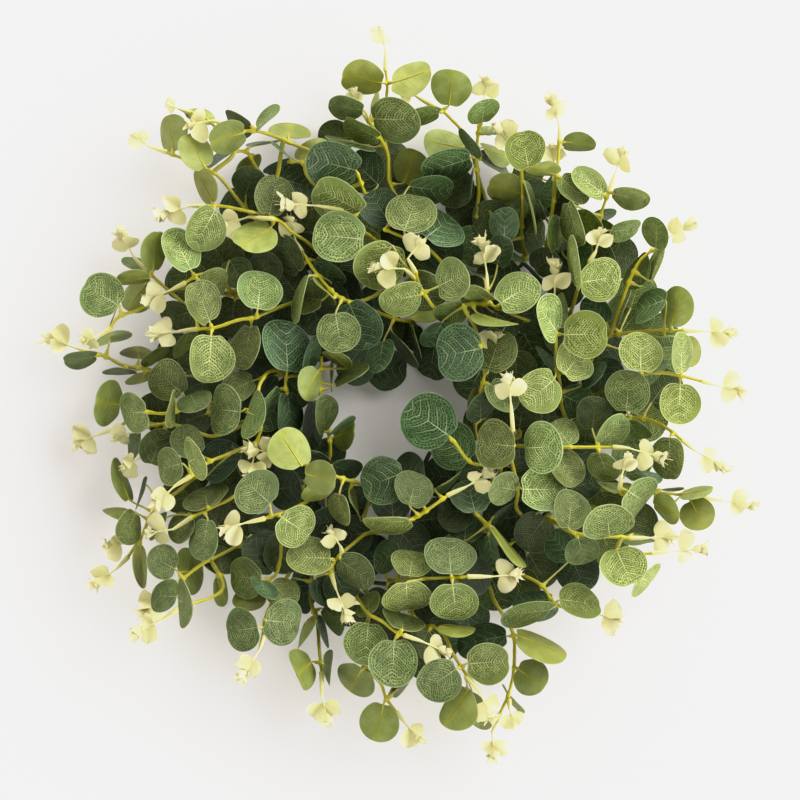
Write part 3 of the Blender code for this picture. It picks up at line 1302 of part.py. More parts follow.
def grow_tip(solid, limb, ring, s):
    solid.owner = limb
    start, end, d = tip_shape(limb)
    first = (start - limb.rest[0]).normalized()
    size = (end - start).length
    ring = solid.bridge(ring, solid.round_ring(limb.rest[0] + first * 0.6, first, square_to(first, s), SLEEVE_R))
    both = (first + d).normalized()
    ring = solid.bridge(ring, solid.round_ring(start, both, square_to(both, s), SLEEVE_R * 0.85))
    n = d.cross(limb.side)
    skew = (limb.side + n).normalized()
    if limb.tip_clear:
        a = solid.bridge(ring, solid.round_ring(start + d * (0.30 * size - 1.0), d, skew, 0.85))
        b = solid.round_ring(start + d * (0.30 * size + 1.0), d, skew, 0.80)
        sides = {}
        middle = start + d * (0.30 * size)
        turn = [b[(k + m) % 4] for m in [min(range(4), key=lambda m: (solid.points[a[0]] - solid.points[b[m]]).length)] for k in range(4)]
        for way in (-1.0, 1.0):
            k = max(
                range(4),
                key=lambda k: ((solid.points[a[k]] + solid.points[a[(k + 1) % 4]]) / 2 - middle).dot(limb.side * way),
            )
            sides[k] = way
        solid.bridge(a, turn, tuple(sides))
        for k, way in sides.items():
            port = [a[k], a[(k + 1) % 4], turn[(k + 1) % 4], turn[k]]
            out = (limb.side * way * 0.72 + d * 0.70).normalized()
            flat = d.cross(limb.side * way)
            root = start + d * (0.30 * size) + limb.side * way * 0.8
            reach = min(10.5, 0.46 * size + 2.0)
            wide = solid.ring(root + out * reach * 0.5, flat.cross(out), flat, 2.5, 0.4)
            solid.point_off(solid.bridge(port, wide), root + out * reach * 0.97)
        ring = turn
        s = skew
    ring = solid.bridge(ring, solid.round_ring(start + d * (0.80 * size), d, square_to(d, s), 1.45))
    solid.point_off(ring, end)


def grow_limb(solid, limb, port=None, out=None):
    groups = grouped(limb)
    marks = [(s, None) for s in limb.total if all(abs(s - c) > (1.75 if s < limb.low else 2.6) for c, _ in groups)]
    if not marks or marks[-1][0] < limb.total[-1]:
        marks.append((limb.total[-1], None))
    marks += groups
    marks.sort(key=lambda m: m[0])
    solid.owner = limb
    if port is None:
        p = limb.path[0]
        d = (limb.path[1] - p).normalized()
        s = square_to(d, Vector((0.3, 0.7, 0.2)))
        ring = solid.round_ring(p, d, s, HOOK_R)
        solid.face(ring[3], ring[2], ring[1])
        solid.face(ring[3], ring[1], ring[0])
        marks = marks[1:]
    else:
        ring = port
        start = solid.middle(port)
        s = (solid.points[port[0]] - start).normalized()
        marks = [m for m in marks if m[0] > 2.6]
        p, d = along(limb.path, limb.total, 2.6)
        if marks and marks[0][0] > 4.6:
            d = (out + (p - start).normalized()).normalized()
            s = square_to(d, s)
            q = start + out * 0.9 + (p - start).normalized() * 0.5
            ring = solid.bridge(ring, solid.round_ring(q, d, s, stem_radius(limb, 0)))
    for at, children in marks:
        solid.owner = limb
        p, d = along(limb.path, limb.total, at)
        r = stem_radius(limb, at)
        if not children:
            _, before = along(limb.path, limb.total, at - 0.8)
            _, after = along(limb.path, limb.total, at + 0.8)
            d = (before + after).normalized() if (before + after).length > 0.2 else after
            s = square_to(d, s)
            ring = solid.bridge(ring, solid.round_ring(p, d, s, r))
            continue
        s = square_to(d, s)
        n = d.cross(s)
        wishes = []
        for child in children:
            goal = child.where if isinstance(child, Leaf) else along(child.path, child.total, 5.0)[0]
            way = goal - p
            way -= d * way.dot(d)
            wishes.append(way.normalized() if way.length > 1e-3 else s)
        best = None
        for step in range(8):
            turn = step * math.pi / 16
            for order in orders(len(children), 0):
                fit = 0.0
                for side, wish in zip(order, wishes):
                    w = turn + math.pi / 4 + side * math.pi / 2
                    fit += (s * math.cos(w) + n * math.sin(w)).dot(wish)
                if best is None or fit > best[0] + 1e-6:
                    best = (fit, turn)
        s = s * math.cos(best[1]) + n * math.sin(best[1])
        a = solid.bridge(ring, solid.round_ring(p - d * NODE_HALF, d, s, r * 1.22))
        b = solid.round_ring(p + d * NODE_HALF, d, s, r * 1.18)
        shift = min(range(4), key=lambda m: (solid.points[a[0]] - solid.points[b[m]]).length)
        b = [b[(k + shift) % 4] for k in range(4)]
        outs = []
        for k in range(4):
            out_k = (solid.points[a[k]] + solid.points[a[(k + 1) % 4]]) / 2 - p
            outs.append((out_k - d * out_k.dot(d)).normalized())
        order = max(orders(len(children), 0), key=lambda o: sum(outs[k].dot(w) for k, w in zip(o, wishes)))
        solid.bridge(a, b, order)
        for side, child in zip(order, children):
            opening = [a[side], a[(side + 1) % 4], b[(side + 1) % 4], b[side]]
            if isinstance(child, Leaf):
                grow_leaf(solid, child, opening, outs[side])
            else:
                grow_limb(solid, child, opening, outs[side])
        ring = b
    solid.owner = limb
    if limb.tip:
        grow_tip(solid, limb, ring, s)
    else:
        solid.face(ring[0], ring[1], ring[2])
        solid.face(ring[0], ring[2], ring[3])


def grow(sprig):
    """The whole sprig as one closed body."""
    solid = Solid()
    main = sprig.limbs[0]
    main.branches = sprig.limbs[1:]
    for branch in main.branches:
        at = branch.path[0]
        branch.join = clamp(nearest_on(main.path, main.total, at, main.low, main.high)[1], main.low, main.high)
    grow_limb(solid, main)
    return solid


def grow_all(sprigs):
    """Every sprig's body. A leaf that ends up against a neighbour is left off."""
    wires, bars = frame_shapes()
    heap = Heap()
    for shape in wires + bars:
        heap.add(shape, "frame")
    frame = BVHTree.FromPolygons(heap.points, heap.faces)
    solids = [grow(sprig) for sprig in sprigs]
    for _ in range(6):
        trees = [BVHTree.FromPolygons(solid.points, solid.faces) for solid in solids]
        off = {}
        for i, solid in enumerate(solids):
            for a, _ in trees[i].overlap(frame):
                if isinstance(solid.owners[a], Leaf):
                    off[id(solid.owners[a])] = (i, solid.owners[a])
            for j in range(i + 1, len(solids)):
                for a, b in trees[i].overlap(trees[j]):
                    pair = [(i, solid.owners[a]), (j, solids[j].owners[b])]
                    leaves = [x for x in pair if isinstance(x[1], Leaf)]
                    if leaves and not any(id(x[1]) in off for x in leaves):
                        worst = min(leaves, key=lambda x: (not x[1].filler, x[1].level))
                        off[id(worst[1])] = worst
        if not off:
            break
        for i in sorted({i for i, _ in off.values()}):
            for limb in sprigs[i].limbs:
                limb.leaves = [leaf for leaf in limb.leaves if id(leaf) not in off]
            solids[i] = grow(sprigs[i])
    return solids


# ---------------------------------------------------------------- Blender objects
def clear_scene():
    for obj in list(bpy.data.objects):
        bpy.data.objects.remove(obj, do_unlink=True)


def plastic(name, colour, roughness, metallic=0.0):
    material = bpy.data.materials.new(name)
    material.use_nodes = True
    shader = material.node_tree.nodes["Principled BSDF"]
    shader.inputs["Base Color"].default_value = (*colour, 1.0)
    shader.inputs["Roughness"].default_value = roughness
    shader.inputs["Metallic"].default_value = metallic
    material.diffuse_color = (*colour, 1.0)
    return material


def make_object(name, points, faces, shift, material):
    """A bmesh body from points in millimetres, shaded smooth."""
    bm = bmesh.new()
    corners = [bm.verts.new((p + shift) * 0.001) for p in points]
    for face in faces:
        bm.faces.new([corners[k] for k in face])
    for face in bm.faces:
        face.smooth = True
    mesh = bpy.data.meshes.new(name)
    bm.to_mesh(mesh)
    bm.free()
    mesh.materials.append(material)
    obj = bpy.data.objects.new(name, mesh)
    bpy.context.scene.collection.objects.link(obj)
    return obj


def unite(target, tool):
    join = target.modifiers.new("join", "BOOLEAN")
    join.operation = "UNION"
    join.solver = "EXACT"
    join.object = tool
    tool.hide_render = True
    tool.display_type = "WIRE"


def merged(shapes):
    points, faces = [], []
    for some, more in shapes:
        base = len(points)
        points += some
        faces += [tuple(base + k for k in face) for face in more]
    return points, faces


def centre_shift(solids, frame):
    """Brings the middle of the wreath's bounding box over the origin and its underside to z = 0."""
    every = [p for solid in solids for p in solid.points] + frame
    low = [min(p[k] for p in every) for k in range(3)]
    high = [max(p[k] for p in every) for k in range(3)]
    return Vector((-(low[0] + high[0]) / 2, -(low[1] + high[1]) / 2, -low[2]))


def main():
    clear_scene()
    sprigs = lay_out(SEED)[0]
    solids = grow_all(sprigs)
    wires, bars = frame_shapes()
    frame_points, frame_faces = merged(wires)
    shift = centre_shift(solids, frame_points + merged(bars)[0])
    tones = random.Random(SEED + 1)
    for sprig, solid in zip(sprigs, solids):
        light = sum(leaf.kind in "LUV" for limb in sprig.limbs for leaf in limb.leaves)
        dark = sum(leaf.kind == "D" for limb in sprig.limbs for leaf in limb.leaves)
        f = light / max(1, light + dark)
        shade = 1.0 + tones.uniform(-0.12, 0.12)
        colour = [shade * (a + (b - a) * f) for a, b in ((0.035, 0.20), (0.085, 0.30), (0.060, 0.075))]
        make_object(sprig.name, solid.points, solid.faces, shift, plastic(sprig.name + "_green", colour, 0.55))
    coat = plastic("ring_frame_coat", (0.022, 0.050, 0.026), 0.45)
    frame = make_object("ring_frame", frame_points, frame_faces, shift, coat)
    unite(frame, make_object("bars", *merged(bars), shift, coat))


main()
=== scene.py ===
import json
import math
import random

import bmesh
import bpy
import numpy as np
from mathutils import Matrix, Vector
from mathutils.bvhtree import BVHTree

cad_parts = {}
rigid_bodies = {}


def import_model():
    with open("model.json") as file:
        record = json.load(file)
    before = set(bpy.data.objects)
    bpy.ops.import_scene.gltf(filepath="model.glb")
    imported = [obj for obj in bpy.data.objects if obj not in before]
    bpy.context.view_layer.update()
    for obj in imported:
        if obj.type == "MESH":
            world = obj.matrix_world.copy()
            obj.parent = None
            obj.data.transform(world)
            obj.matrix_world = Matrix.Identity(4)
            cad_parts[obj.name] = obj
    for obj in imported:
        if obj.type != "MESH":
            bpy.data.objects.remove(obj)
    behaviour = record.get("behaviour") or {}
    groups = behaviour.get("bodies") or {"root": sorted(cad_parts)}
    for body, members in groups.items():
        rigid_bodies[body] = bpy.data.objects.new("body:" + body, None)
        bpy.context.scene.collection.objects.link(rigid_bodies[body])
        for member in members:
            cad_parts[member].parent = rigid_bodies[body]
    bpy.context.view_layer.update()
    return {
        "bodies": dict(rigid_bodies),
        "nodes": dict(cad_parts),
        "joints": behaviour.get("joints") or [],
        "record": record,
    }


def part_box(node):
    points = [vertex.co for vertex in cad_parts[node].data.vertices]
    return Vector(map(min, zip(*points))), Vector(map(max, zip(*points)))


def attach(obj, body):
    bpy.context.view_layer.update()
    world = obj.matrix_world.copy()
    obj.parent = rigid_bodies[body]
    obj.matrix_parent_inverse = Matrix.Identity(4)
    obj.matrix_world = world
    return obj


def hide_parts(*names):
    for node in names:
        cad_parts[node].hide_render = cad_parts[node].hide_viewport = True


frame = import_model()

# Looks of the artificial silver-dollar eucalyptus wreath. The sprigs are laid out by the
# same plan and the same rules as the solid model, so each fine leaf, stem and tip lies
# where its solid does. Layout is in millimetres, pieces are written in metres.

# ---------------------------------------------------------------- dimensions
PX = 0.743  # mm in one plan unit at the middle of the foliage
EYE_H = 1700.0  # height of the viewpoint that the plan is drawn from
MID_Z = 42.0  # height at which the plan is true to scale
PLAN_C = 400.0  # plan coordinate under the viewpoint, both ways
PANE = 270.0 / 156.8  # plan units in one unit of a pane's grid
PANES = (
    (20, 0), (270, 0), (520, 0),
    (20, 250), (270, 250), (520, 250),
    (20, 500), (270, 500), (520, 500),
)
LEVEL_Z = (11.0, 17.0, 27.0, 39.0, 52.0, 65.0)  # heights of the leaf layers

LEAF_L = 30.5  # blade length of a leaf of size 1
LEAF_W = 34.0  # blade width of a leaf of size 1
LEAF_T = 0.9  # blade thickness at the middle
PETIOLE_R = 0.75
STEM_R0, STEM_R1 = 1.45, 0.95  # stem radius at the hook and at the tip
SLEEVE_R = 1.35
GAP = 0.45  # least space kept between two sprigs

RING_R = (98.0, 140.0)  # radii of the two ring wires
WIRE_R = 1.7
WIRE_Z = 6.7
BARS = 8
BAR_W = 6.0
BAR_IN, BAR_OUT = 93.0, 145.0
HOOK_R = 1.2
# Dark wire end that runs inwards from the inner ring: (x, y, z, radius), cut off square.
TAIL = ((8.0, -97.5, 6.7, 1.9), (10.5, -82.0, 9.5, 1.9), (15.8, -56.0, 17.5, 1.9), (18.6, -48.0, 21.0, 1.75), (22.6, -39.0, 26.0, 1.65))

RING_SEGMENTS = 32
SEED = 20

# ---------------------------------------------------------------- the plan
# One row per sprig: (name, [stem, ...]), the first stem being the one with the hook.
# A stem: (pane, course, sleeve end, tip end, leaves); grid units of its pane.
# A leaf: (peg u, peg v, far u, far v, seen width, face and layer). Faces: L light
# print, M middle, D dark print, U light underside, V underside in shade, coloured darker as painted shade.
PLAN = (
    ("sprig_01", [
        (0, [(112, 100), (104, 96), (91, 91), (84, 88)], (75, 85), (64, 76),
         [(89, 90, 87, 67, 15, "U3"), (107, 97, 97, 78, 17, "U4")]),
        (0, [(124, 88), (117, 78), (108, 69), (98, 65)], (92, 63), (84, 60),
         [(96, 66, 114, 66, 9, "V3")]),
    ]),
    ("sprig_02", [
        (0, [(175, 92), (157, 83), (145, 79), (135, 76), (129, 76), (119, 72)], (112, 70), (94, 73),
         [(130, 77, 109, 82, 15, "V4"), (135, 74, 119, 71, 7, "M3"), (137, 75, 150, 64, 11, "M3"),
          (156, 80, 156, 69, 26, "V3")]),
        (0, [(146, 106), (137, 97), (131, 88), (124, 88)], None, None,
         [(124, 88, 110, 95, 4, "D2"), (136, 90, 128, 105, 11, "V2"), (134, 85, 148, 81, 5, "D2")]),
    ]),
    ("sprig_03", [
        (0, [(140, 124), (128, 122), (115, 119.5), (106, 119.5)], (99, 119.5), (76, 127),
         [(113, 122, 102, 145, 22, "L4"), (112, 118, 104, 98, 13, "U3"), (116, 116, 123, 96, 15, "L3")]),
    ]),
    ("sprig_04", [
        (0, [(166, 140), (158, 135), (150, 128), (146, 127)], (133, 126), (110, 133),
         [(147, 133, 131, 141, 30, "U4"), (145, 124, 149, 102, 22, "L3"), (136, 126, 125, 119, 8, "D2")]),
    ]),
    ("sprig_05", [
        (1, [(70, 118), (69, 95), (66, 70), (68, 48), (67, 40)], (67, 29), (64, 14),
         [(65, 48, 41, 43, 19, "U3"), (71, 48, 95, 43, 20, "U3"), (78, 106, 86, 87, 22, "V1")]),
    ]),
    ("sprig_06", [
        (1, [(120, 100), (115, 83), (109, 73), (101, 65), (92, 60)], (85, 56), (73, 52),
         [(104, 61, 106, 42, 24, "U3"), (98, 65.5, 78, 68, 8, "M3"), (112, 86, 89, 82, 20, "U2")]),
    ]),
    ("sprig_07", [
        (1, [(69, 106), (68, 88), (64, 80), (57, 70)], (52, 62), (47, 50),
         [(60, 69, 89, 76, 10, "L4"), (54, 64, 33.5, 60.5, 8, "L4"), (58, 66, 63, 55, 10, "U3"),
          (63, 80, 43, 70, 10, "M3"), (60, 85, 31, 72.5, 6, "D2"), (69, 81, 94.5, 77, 5, "D2"),
          (70, 85, 88.5, 85, 4, "D1")]),
    ]),
    ("sprig_08", [
        (1, [(60, 120), (55, 112), (51, 101)], None, None,
         [(50, 99, 20.5, 90, 27, "D3"), (63, 107, 46, 90, 26, "D2")]),
        (1, [(34, 112), (21, 101), (19, 95), (10, 94)], None, None,
         [(19, 93, 32.5, 74.5, 13, "U2"), (12, 92, -10, 101, 8, "D2"), (12, 89, -2, 86, 8, "D2")]),
    ]),
    ("sprig_09", [
        (1, [(121.5, 131), (121.5, 120), (121, 106), (120, 88), (121.5, 72)], (124, 60), (126, 41),
         [(123, 71, 124, 60, 18, "M2"), (128, 78, 138, 71, 10, "M2"), (118, 90, 114, 78, 8, "D2"),
          (124, 86, 139, 92, 13, "V2"), (119, 92, 141, 96, 9, "D2"), (116, 92, 88, 101, 15, "D3"),
          (117, 98, 110, 118, 13, "D1")]),
    ]),
    ("sprig_10", [
        (1, [(146, 138), (147, 120), (147, 108), (146, 97)], (142, 86), (128, 70),
         [(150, 97, 146, 76, 24, "L4"), (146, 112, 126, 108, 18, "V1"), (148, 106, 157, 136, 5, "L3"),
          (136, 140, 137, 120, 16, "D3"), (148, 152, 130, 146, 8, "D2")]),
    ]),
    ("sprig_11", [
        (1, [(97, 150), (90, 143), (82, 139), (75, 137), (66, 133)], None, None,
         [(78, 134, 86, 112, 30, "L5"), (91, 138, 113, 123, 33, "D3"), (70, 130, 57, 111, 24, "D2"),
          (81, 108, 107, 112, 14, "D2")]),
    ]),
    ("sprig_12", [
        (1, [(62, 140), (50, 131), (48, 126), (41, 122)], (28, 119.5), (2, 118),
         [(52, 122, 26, 106, 24, "L3"), (62, 135, 44, 118, 20, "M2"), (54, 139, 25, 136, 31, "L5")]),
    ]),
    ("sprig_13", [
        (4, [(96, 34), (90, 26), (86, 19), (83, 15)], (78, 11), (56, 10),
         [(90, 25, 66, 31, 20, "L4"), (82, 16, 101, 34, 17, "L4"), (98, 21, 113, 14, 26, "L4"),
          (71, -3, 55, 21, 27, "L4")]),
        (4, [(86, 19), (84, 12)], (80, 5), (90, -8), []),
    ]),
    ("sprig_14", [
        (2, [(13, 158), (16, 140), (19, 120), (21, 104), (23, 88), (23, 81)], (23, 74), (17, 51),
         [(25, 82, 44, 83, 9, "V3"), (21, 101, 5, 96, 8, "U4"), (20, 118, 15, 103, 12, "D2"),
          (18, 128, 8, 112, 10, "M2"), (23, 103, 38, 117, 16, "M3"), (20, 145, 16, 124, 6, "M3")]),
        (2, [(20, 112), (20, 104)], (20, 97), (19, 82), []),
    ]),
    ("sprig_15", [
        (2, [(40, 145), (45, 135), (47, 125), (50, 115), (52, 110)], (55, 101), (62, 84),
         [(50, 114, 31, 101, 18, "L3"), (53, 112, 75, 117, 12, "L3"), (53, 134, 71, 133, 12, "L3"),
          (43, 124, 57, 130, 7, "D2"), (45, 136, 34, 122, 12, "M3"), (28, 118, 36, 143, 8, "L4"),
          (24, 146, 30, 131, 12, "D1"), (36, 157, 36, 138, 10, "D2")]),
    ]),
    ("sprig_16", [
        (2, [(30, 180), (34, 167), (38, 158), (41, 151)], (44, 146), (48, 131),
         [(36, 164, 59, 160, 25, "L5"), (33, 165, 27, 135, 13, "L4"), (56, 157, 51, 141, 5, "D3")]),
    ]),
    ("sprig_17", [
        (2, [(53, 193), (60, 173), (65, 160), (70, 151), (77, 145)], (83, 140), (105, 127),
         [(79, 144, 83, 124, 7, "M4"), (76, 163, 84, 143, 7, "L4"), (70, 165, 67, 142, 7, "M3"),
          (83, 154, 93, 162, 14, "L3")]),
    ]),
    ("sprig_18", [
        (3, [(98, 34), (90, 27), (84, 21.5), (77, 15), (73, 11.5)], (66, 4), (56, -15),
         [(77, 11, 79, -11, 13, "V4"), (74, 14, 64, 4, 10, "M3"), (75, 16, 56, 18, 6, "V4"),
          (73, 19, 62, 33, 14, "V3")]),
    ]),
    ("sprig_19", [
        (3, [(96, 22), (80, 27), (68, 35), (57, 39), (52, 46)], (46, 50), (34, 54),
         [(57, 32, 39, 21, 27, "L4"), (57, 31, 50, 47, 5, "M2")]),
    ]),
    ("sprig_20", [
        (3, [(90, 72), (84, 71), (72, 69), (60, 67), (50, 62), (40, 59)], (33, 57), (11, 50),
         [(52, 54, 50, 48, 26, "V4"), (46, 61, 28, 65, 8, "M3"), (62, 69, 51, 72, 5, "M3"),
          (69, 63, 65, 56, 16, "V3"), (73, 68, 85, 54, 6, "V2"), (72, 71, 66, 80, 13, "V3")]),
    ]),
    ("sprig_21", [
        (3, [(124, 24), (114, 15), (106, 14), (101, 16), (95, 19.5)], (88, 23), (69, 31),
         [(99, 11, 86, -12, 21, "L4"), (104, 17, 117, 18, 20, "L3"), (122, 6, 127, 24, 20, "M2")]),
    ]),
    ("sprig_22", [
        (3, [(150, 33), (137, 39), (124, 41), (111, 45.5), (102, 46)], (93, 47), (72, 50),
         [(111, 50, 110, 77, 25, "L5"), (110, 41, 101, 18, 20, "L5"), (138, 34, 140, 11, 27, "L4"),
          (134, 45, 130, 70, 17, "L3"), (99, 36, 83, 40, 20, "M2"), (97, 48, 93, 61, 9, "M2")]),
    ]),
    ("sprig_23", [
        (3, [(112, 90), (104, 88), (93, 93), (82, 95), (74, 94)], None, None,
         [(94, 83, 77, 68, 22, "L4"), (90, 84, 78, 104, 12, "L4"), (74, 94, 57, 95, 25, "L4"),
          (99, 84, 105, 92, 20, "M3")]),
    ]),
    ("sprig_24", [
        (3, [(110, 108), (96, 103), (85, 101), (74, 102.5)], (65, 106), (52, 110),
         [(76, 124, 85, 104, 20, "M3"), (70, 110, 60, 120, 13, "M2")]),
        (3, [(75, 101), (64, 99), (57, 103)], (46, 107), (29, 114),
         [(58, 90, 47, 88, 28, "V3")]),
        (3, [(84, 104), (78, 112), (73, 118)], (69, 121), (57, 128), []),
    ]),
    ("sprig_25", [
        (3, [(125, 117), (112, 122), (103, 128), (98, 132)], (90, 137), (74, 152),
         [(94, 124, 79, 128, 22, "L4"), (98, 123, 110, 118, 26, "L4"), (104, 118, 90, 104, 18, "L3")]),
    ]),
    ("sprig_26", [
        (3, [(156, 70), (144, 71), (139, 79), (137, 90), (131, 94)], None, None,
         [(128, 94, 108, 92, 30, "L5"), (132, 94, 143, 98, 28, "M4"), (135, 76, 117, 84, 17, "L3"),
          (108, 132, 127, 113, 22, "D1")]),
        (3, [(138, 92), (140, 103), (137, 113)], (136, 119), (132, 139), []),
    ]),
    ("sprig_27", [
        (4, [(60, 27), (46, 30), (38, 26), (29, 17), (24, 9), (18, 0)], (15, -5), (10, -22),
         [(22, 15, 13, 42, 9, "M4"), (29, 30, 11, 25, 22, "L3"), (37, 28, 24, 18, 10, "M3"),
          (38, 37, 42, 59, 26, "L5"), (46, 31, 58, 57, 26, "D4"), (26, 6, 42, 21, 14, "D2"),
          (17, 12, 5, -8, 18, "M2")]),
    ]),
    ("sprig_28", [
        (4, [(28, 76), (16, 73), (10, 74), (9, 82)], None, None,
         [(10, 70, 9, 36, 26, "D4"), (10, 84, 13, 108, 13, "D3"), (6, 81, -2, 106, 15, "D3"),
          (22, 72, 25, 46, 16, "D2")]),
    ]),
    ("sprig_29", [
        (4, [(33, 124), (33, 112), (34, 106), (30, 95), (29, 80), (30, 62)], None, None,
         [(28, 71, 19, 88, 12, "U3"), (36, 107, 46, 97, 3, "D2"), (36, 110, 43, 106, 16, "V2"),
          (31, 106, 34, 82, 4, "V3"), (35, 79, 33, 62, 8, "V2"), (38, 78, 57, 66, 9, "M3"),
          (46, 69, 34, 59, 7, "V3"), (25, 88, 24, 118, 14, "D1")]),
    ]),
    ("sprig_30", [
        (4, [(52, 29), (62, 36), (72, 40), (84, 42)], None, None,
         [(66, 53, 61, 73, 20, "D3"), (84, 44, 74, 60, 14, "D1"), (70, 47, 87, 68, 2.5, "D2"),
          (82, 40, 95, 33, 12, "V3"), (84, 50, 90, 62, 8, "V1")]),
    ]),
    ("sprig_31", [
        (4, [(120, 108), (121, 98), (122, 85), (125, 70)], (128, 62), (136, 45),
         [(127, 70, 135, 46, 26, "L5"), (128, 78, 143, 92, 16, "L4"), (122, 80, 128, 101, 8, "V3"),
          (121, 99, 117, 80, 8, "D3")]),
    ]),
    ("sprig_32", [
        (4, [(143, 150), (144, 139), (140, 118), (141, 104)], (140, 90), (138, 69),
         [(142, 114, 121, 112, 29, "L5"), (143, 139, 126, 135, 20, "L4"), (147, 139, 172, 139, 27, "L5"),
          (174, 140, 195, 134, 20, "D2")]),
    ]),
    ("sprig_33", [
        (4, [(150, 41), (138, 36), (128, 31), (126, 22)], (126, 14), (122, -11),
         [(134, 31, 155, 17, 23, "L4"), (127, 31, 115, 18, 11, "L4"), (112, 32, 97, 42, 14, "M3"),
          (121, 37, 144, 52, 10, "V4"), (124, 16, 114, 9, 8, "D2"), (135, 47, 159, 52, 27, "L4")]),
        (4, [(113, 33), (118, 43), (123, 55)], None, None,
         [(123, 57, 97, 62, 36, "D4"), (100, 42, 92, 56, 16, "D2")]),
    ]),
    ("sprig_34", [
        (4, [(134, 127), (124, 125), (118, 124), (106, 110)], None, None,
         [(104, 108, 79, 90, 33, "D4"), (117, 123, 99, 104, 28, "D4")]),
    ]),
    ("sprig_35", [
        (4, [(64, 160), (83, 156), (96, 148), (104, 142)], (113, 138), (133, 127),
         [(81, 148, 86, 129, 24, "M5"), (81, 157, 54, 160, 13, "L5"), (96, 139, 112, 132, 8, "M3"),
          (78, 129, 53, 138, 29, "D4"), (108, 127, 92, 133, 9, "D2")]),
    ]),
    ("sprig_36", [
        (4, [(135, 172), (128, 163), (124, 157), (120, 153)], None, None,
         [(119, 152, 115, 135, 24, "D3"), (127, 165, 130, 185, 11, "D3"), (129, 161, 148, 188, 5, "V4"),
          (130, 155, 146, 148, 9, "D2"), (122, 194, 130, 203, 10, "D3"), (113, 169, 115, 154, 22, "D2")]),
    ]),
    ("sprig_37", [
        (4, [(56, 137), (50, 135), (43, 133), (34, 130), (25, 126), (17, 123)], (7, 119), (-18, 114),
         [(18, 125, 5, 105, 24, "U5"), (21, 130, 39, 134, 20, "U5"), (23, 137, 28, 157, 23, "U5"),
          (36, 125, 52, 130, 15, "D3"), (40, 142, 42, 160, 12, "L4"), (46, 141, 52, 157, 4, "M3")]),
    ]),
    ("sprig_38", [
        (5, [(24, 90), (23, 76), (21, 66), (21, 50), (21, 36)], (20, 28), (21, 3),
         [(26, 49, 50, 49, 28, "L5"), (22, 48, 1, 30, 13, "L5"), (20, 75, 2, 90, 27, "L5"),
          (26, 72, 38, 57, 25, "L4"), (22, 40, 33, 22, 16, "M3"), (24, 84, 42, 92, 20, "D2"),
          (37, 80, 50, 64, 18, "D2"), (20, 70, 13, 55, 10, "D2")]),
    ]),
    ("sprig_39", [
        (5, [(50, 50), (62, 48), (75, 47), (86, 46.5), (96, 47)], (105, 47), (128, 49),
         [(88, 44, 95, 22, 17, "U4"), (86, 30, 62, 40, 13, "D4"), (84, 50, 80, 37, 8, "L3"),
          (96, 50, 103, 68, 12, "U4"), (54, 44, 62, 19, 12, "L3"), (50, 42, 38, 28, 15, "D3")]),
    ]),
    ("sprig_40", [
        (5, [(55, 77), (62, 73), (72, 71.5), (85, 71.5), (93, 73), (107, 76.5)], (112, 78), (134, 84),
         [(93, 72, 91, 47, 18, "L5"), (93, 78, 92, 101, 25, "L4"), (70, 70, 71, 48, 26, "L5"),
          (72, 73, 86, 69, 12, "D3")]),
    ]),
    ("sprig_41", [
        (5, [(46, 96), (56, 97.5), (64, 97.5), (75, 98.5), (86, 104), (95, 111)], (101, 116), (123, 129),
         [(62, 93, 62, 69, 23, "L5"), (87, 109, 88, 134, 17, "L4"), (63, 99, 72, 112, 15, "M3"),
          (63, 94, 80, 82, 18, "M2"), (60, 95, 44, 84, 16, "D3")]),
    ]),
    ("sprig_42", [
        (5, [(-6, 113), (3, 114), (22, 114.5), (35, 114), (46, 114.5), (55, 114.5)], (63, 115), (89, 123),
         [(46, 112, 62, 97, 17, "L4"), (46, 118, 53, 134, 17, "L4"), (3, 115, 21, 114, 30, "L5"),
          (28, 114, 20, 98, 20, "L3"), (21, 117, 33, 137, 19, "L4")]),
    ]),
    ("sprig_43", [
        (5, [(58, 152), (61, 143), (58, 138)], (59, 131), (64, 117),
         [(63, 140, 79, 150, 29, "L5"), (60, 142, 53, 134, 12, "L4"), (76, 134, 70, 122, 10, "D3")]),
    ]),
    ("sprig_44", [
        (5, [(66, 141), (72, 141), (80, 141), (94, 142.5), (107, 144)], (117, 145.5), (139, 149),
         [(80, 140, 91, 140.5, 3, "V4"), (94, 142, 112, 139.5, 4.5, "U4"), (99, 146, 106, 161, 21, "U4"),
          (93, 143, 89, 150, 5, "V3"), (78, 147, 91, 153, 16, "U4")]),
    ]),
    ("sprig_45", [
        (6, [(133, -8), (119, 1), (109, 5), (99, 10.5)], (89, 17), (70, 20),
         [(109, 4, 104, -9, 28, "L4"), (109, 12, 106, 35, 20, "L5"), (97, 8, 91, 27, 12, "L3"),
          (87, 12, 74, 18, 11, "V2")]),
    ]),
    ("sprig_46", [
        (6, [(168, 0), (157, 6), (150, 8.5), (141, 11)], (132, 13), (114, 18),
         [(145, 2, 129, -14, 27, "L5"), (152, 10, 169, 22, 26, "L5")]),
    ]),
    ("sprig_47", [
        (6, [(86, 0), (78, 6), (74, 14), (70, 22), (66, 29), (62, 34)], (56, 40), (40, 52),
         [(67, 8, 61, 24, 14, "L3"), (64, 6, 54, 9, 12, "V3"), (69, 25, 71, 50, 4, "V3"),
          (63, 0, 53, -24, 4, "V3"), (73, -9, 66, 2, 8, "M2")]),
        (6, [(70, 22), (66, 24)], (62, 25), (47, 27), []),
    ]),
    ("sprig_48", [
        (6, [(120, 30), (106, 37), (93, 47)], (83, 56), (68, 70),
         [(90, 40, 76, 31, 18, "L3"), (92, 42, 104, 42, 28, "V4"), (91, 56, 79, 54, 20, "M3")]),
        (6, [(118, 50), (105, 56), (92, 63)], (83, 69), (62, 80),
         [(92, 58, 102, 59, 29, "L4"), (118, 43, 113, 27, 17, "M2"), (114, 45, 119, 62, 5, "V3")]),
    ]),
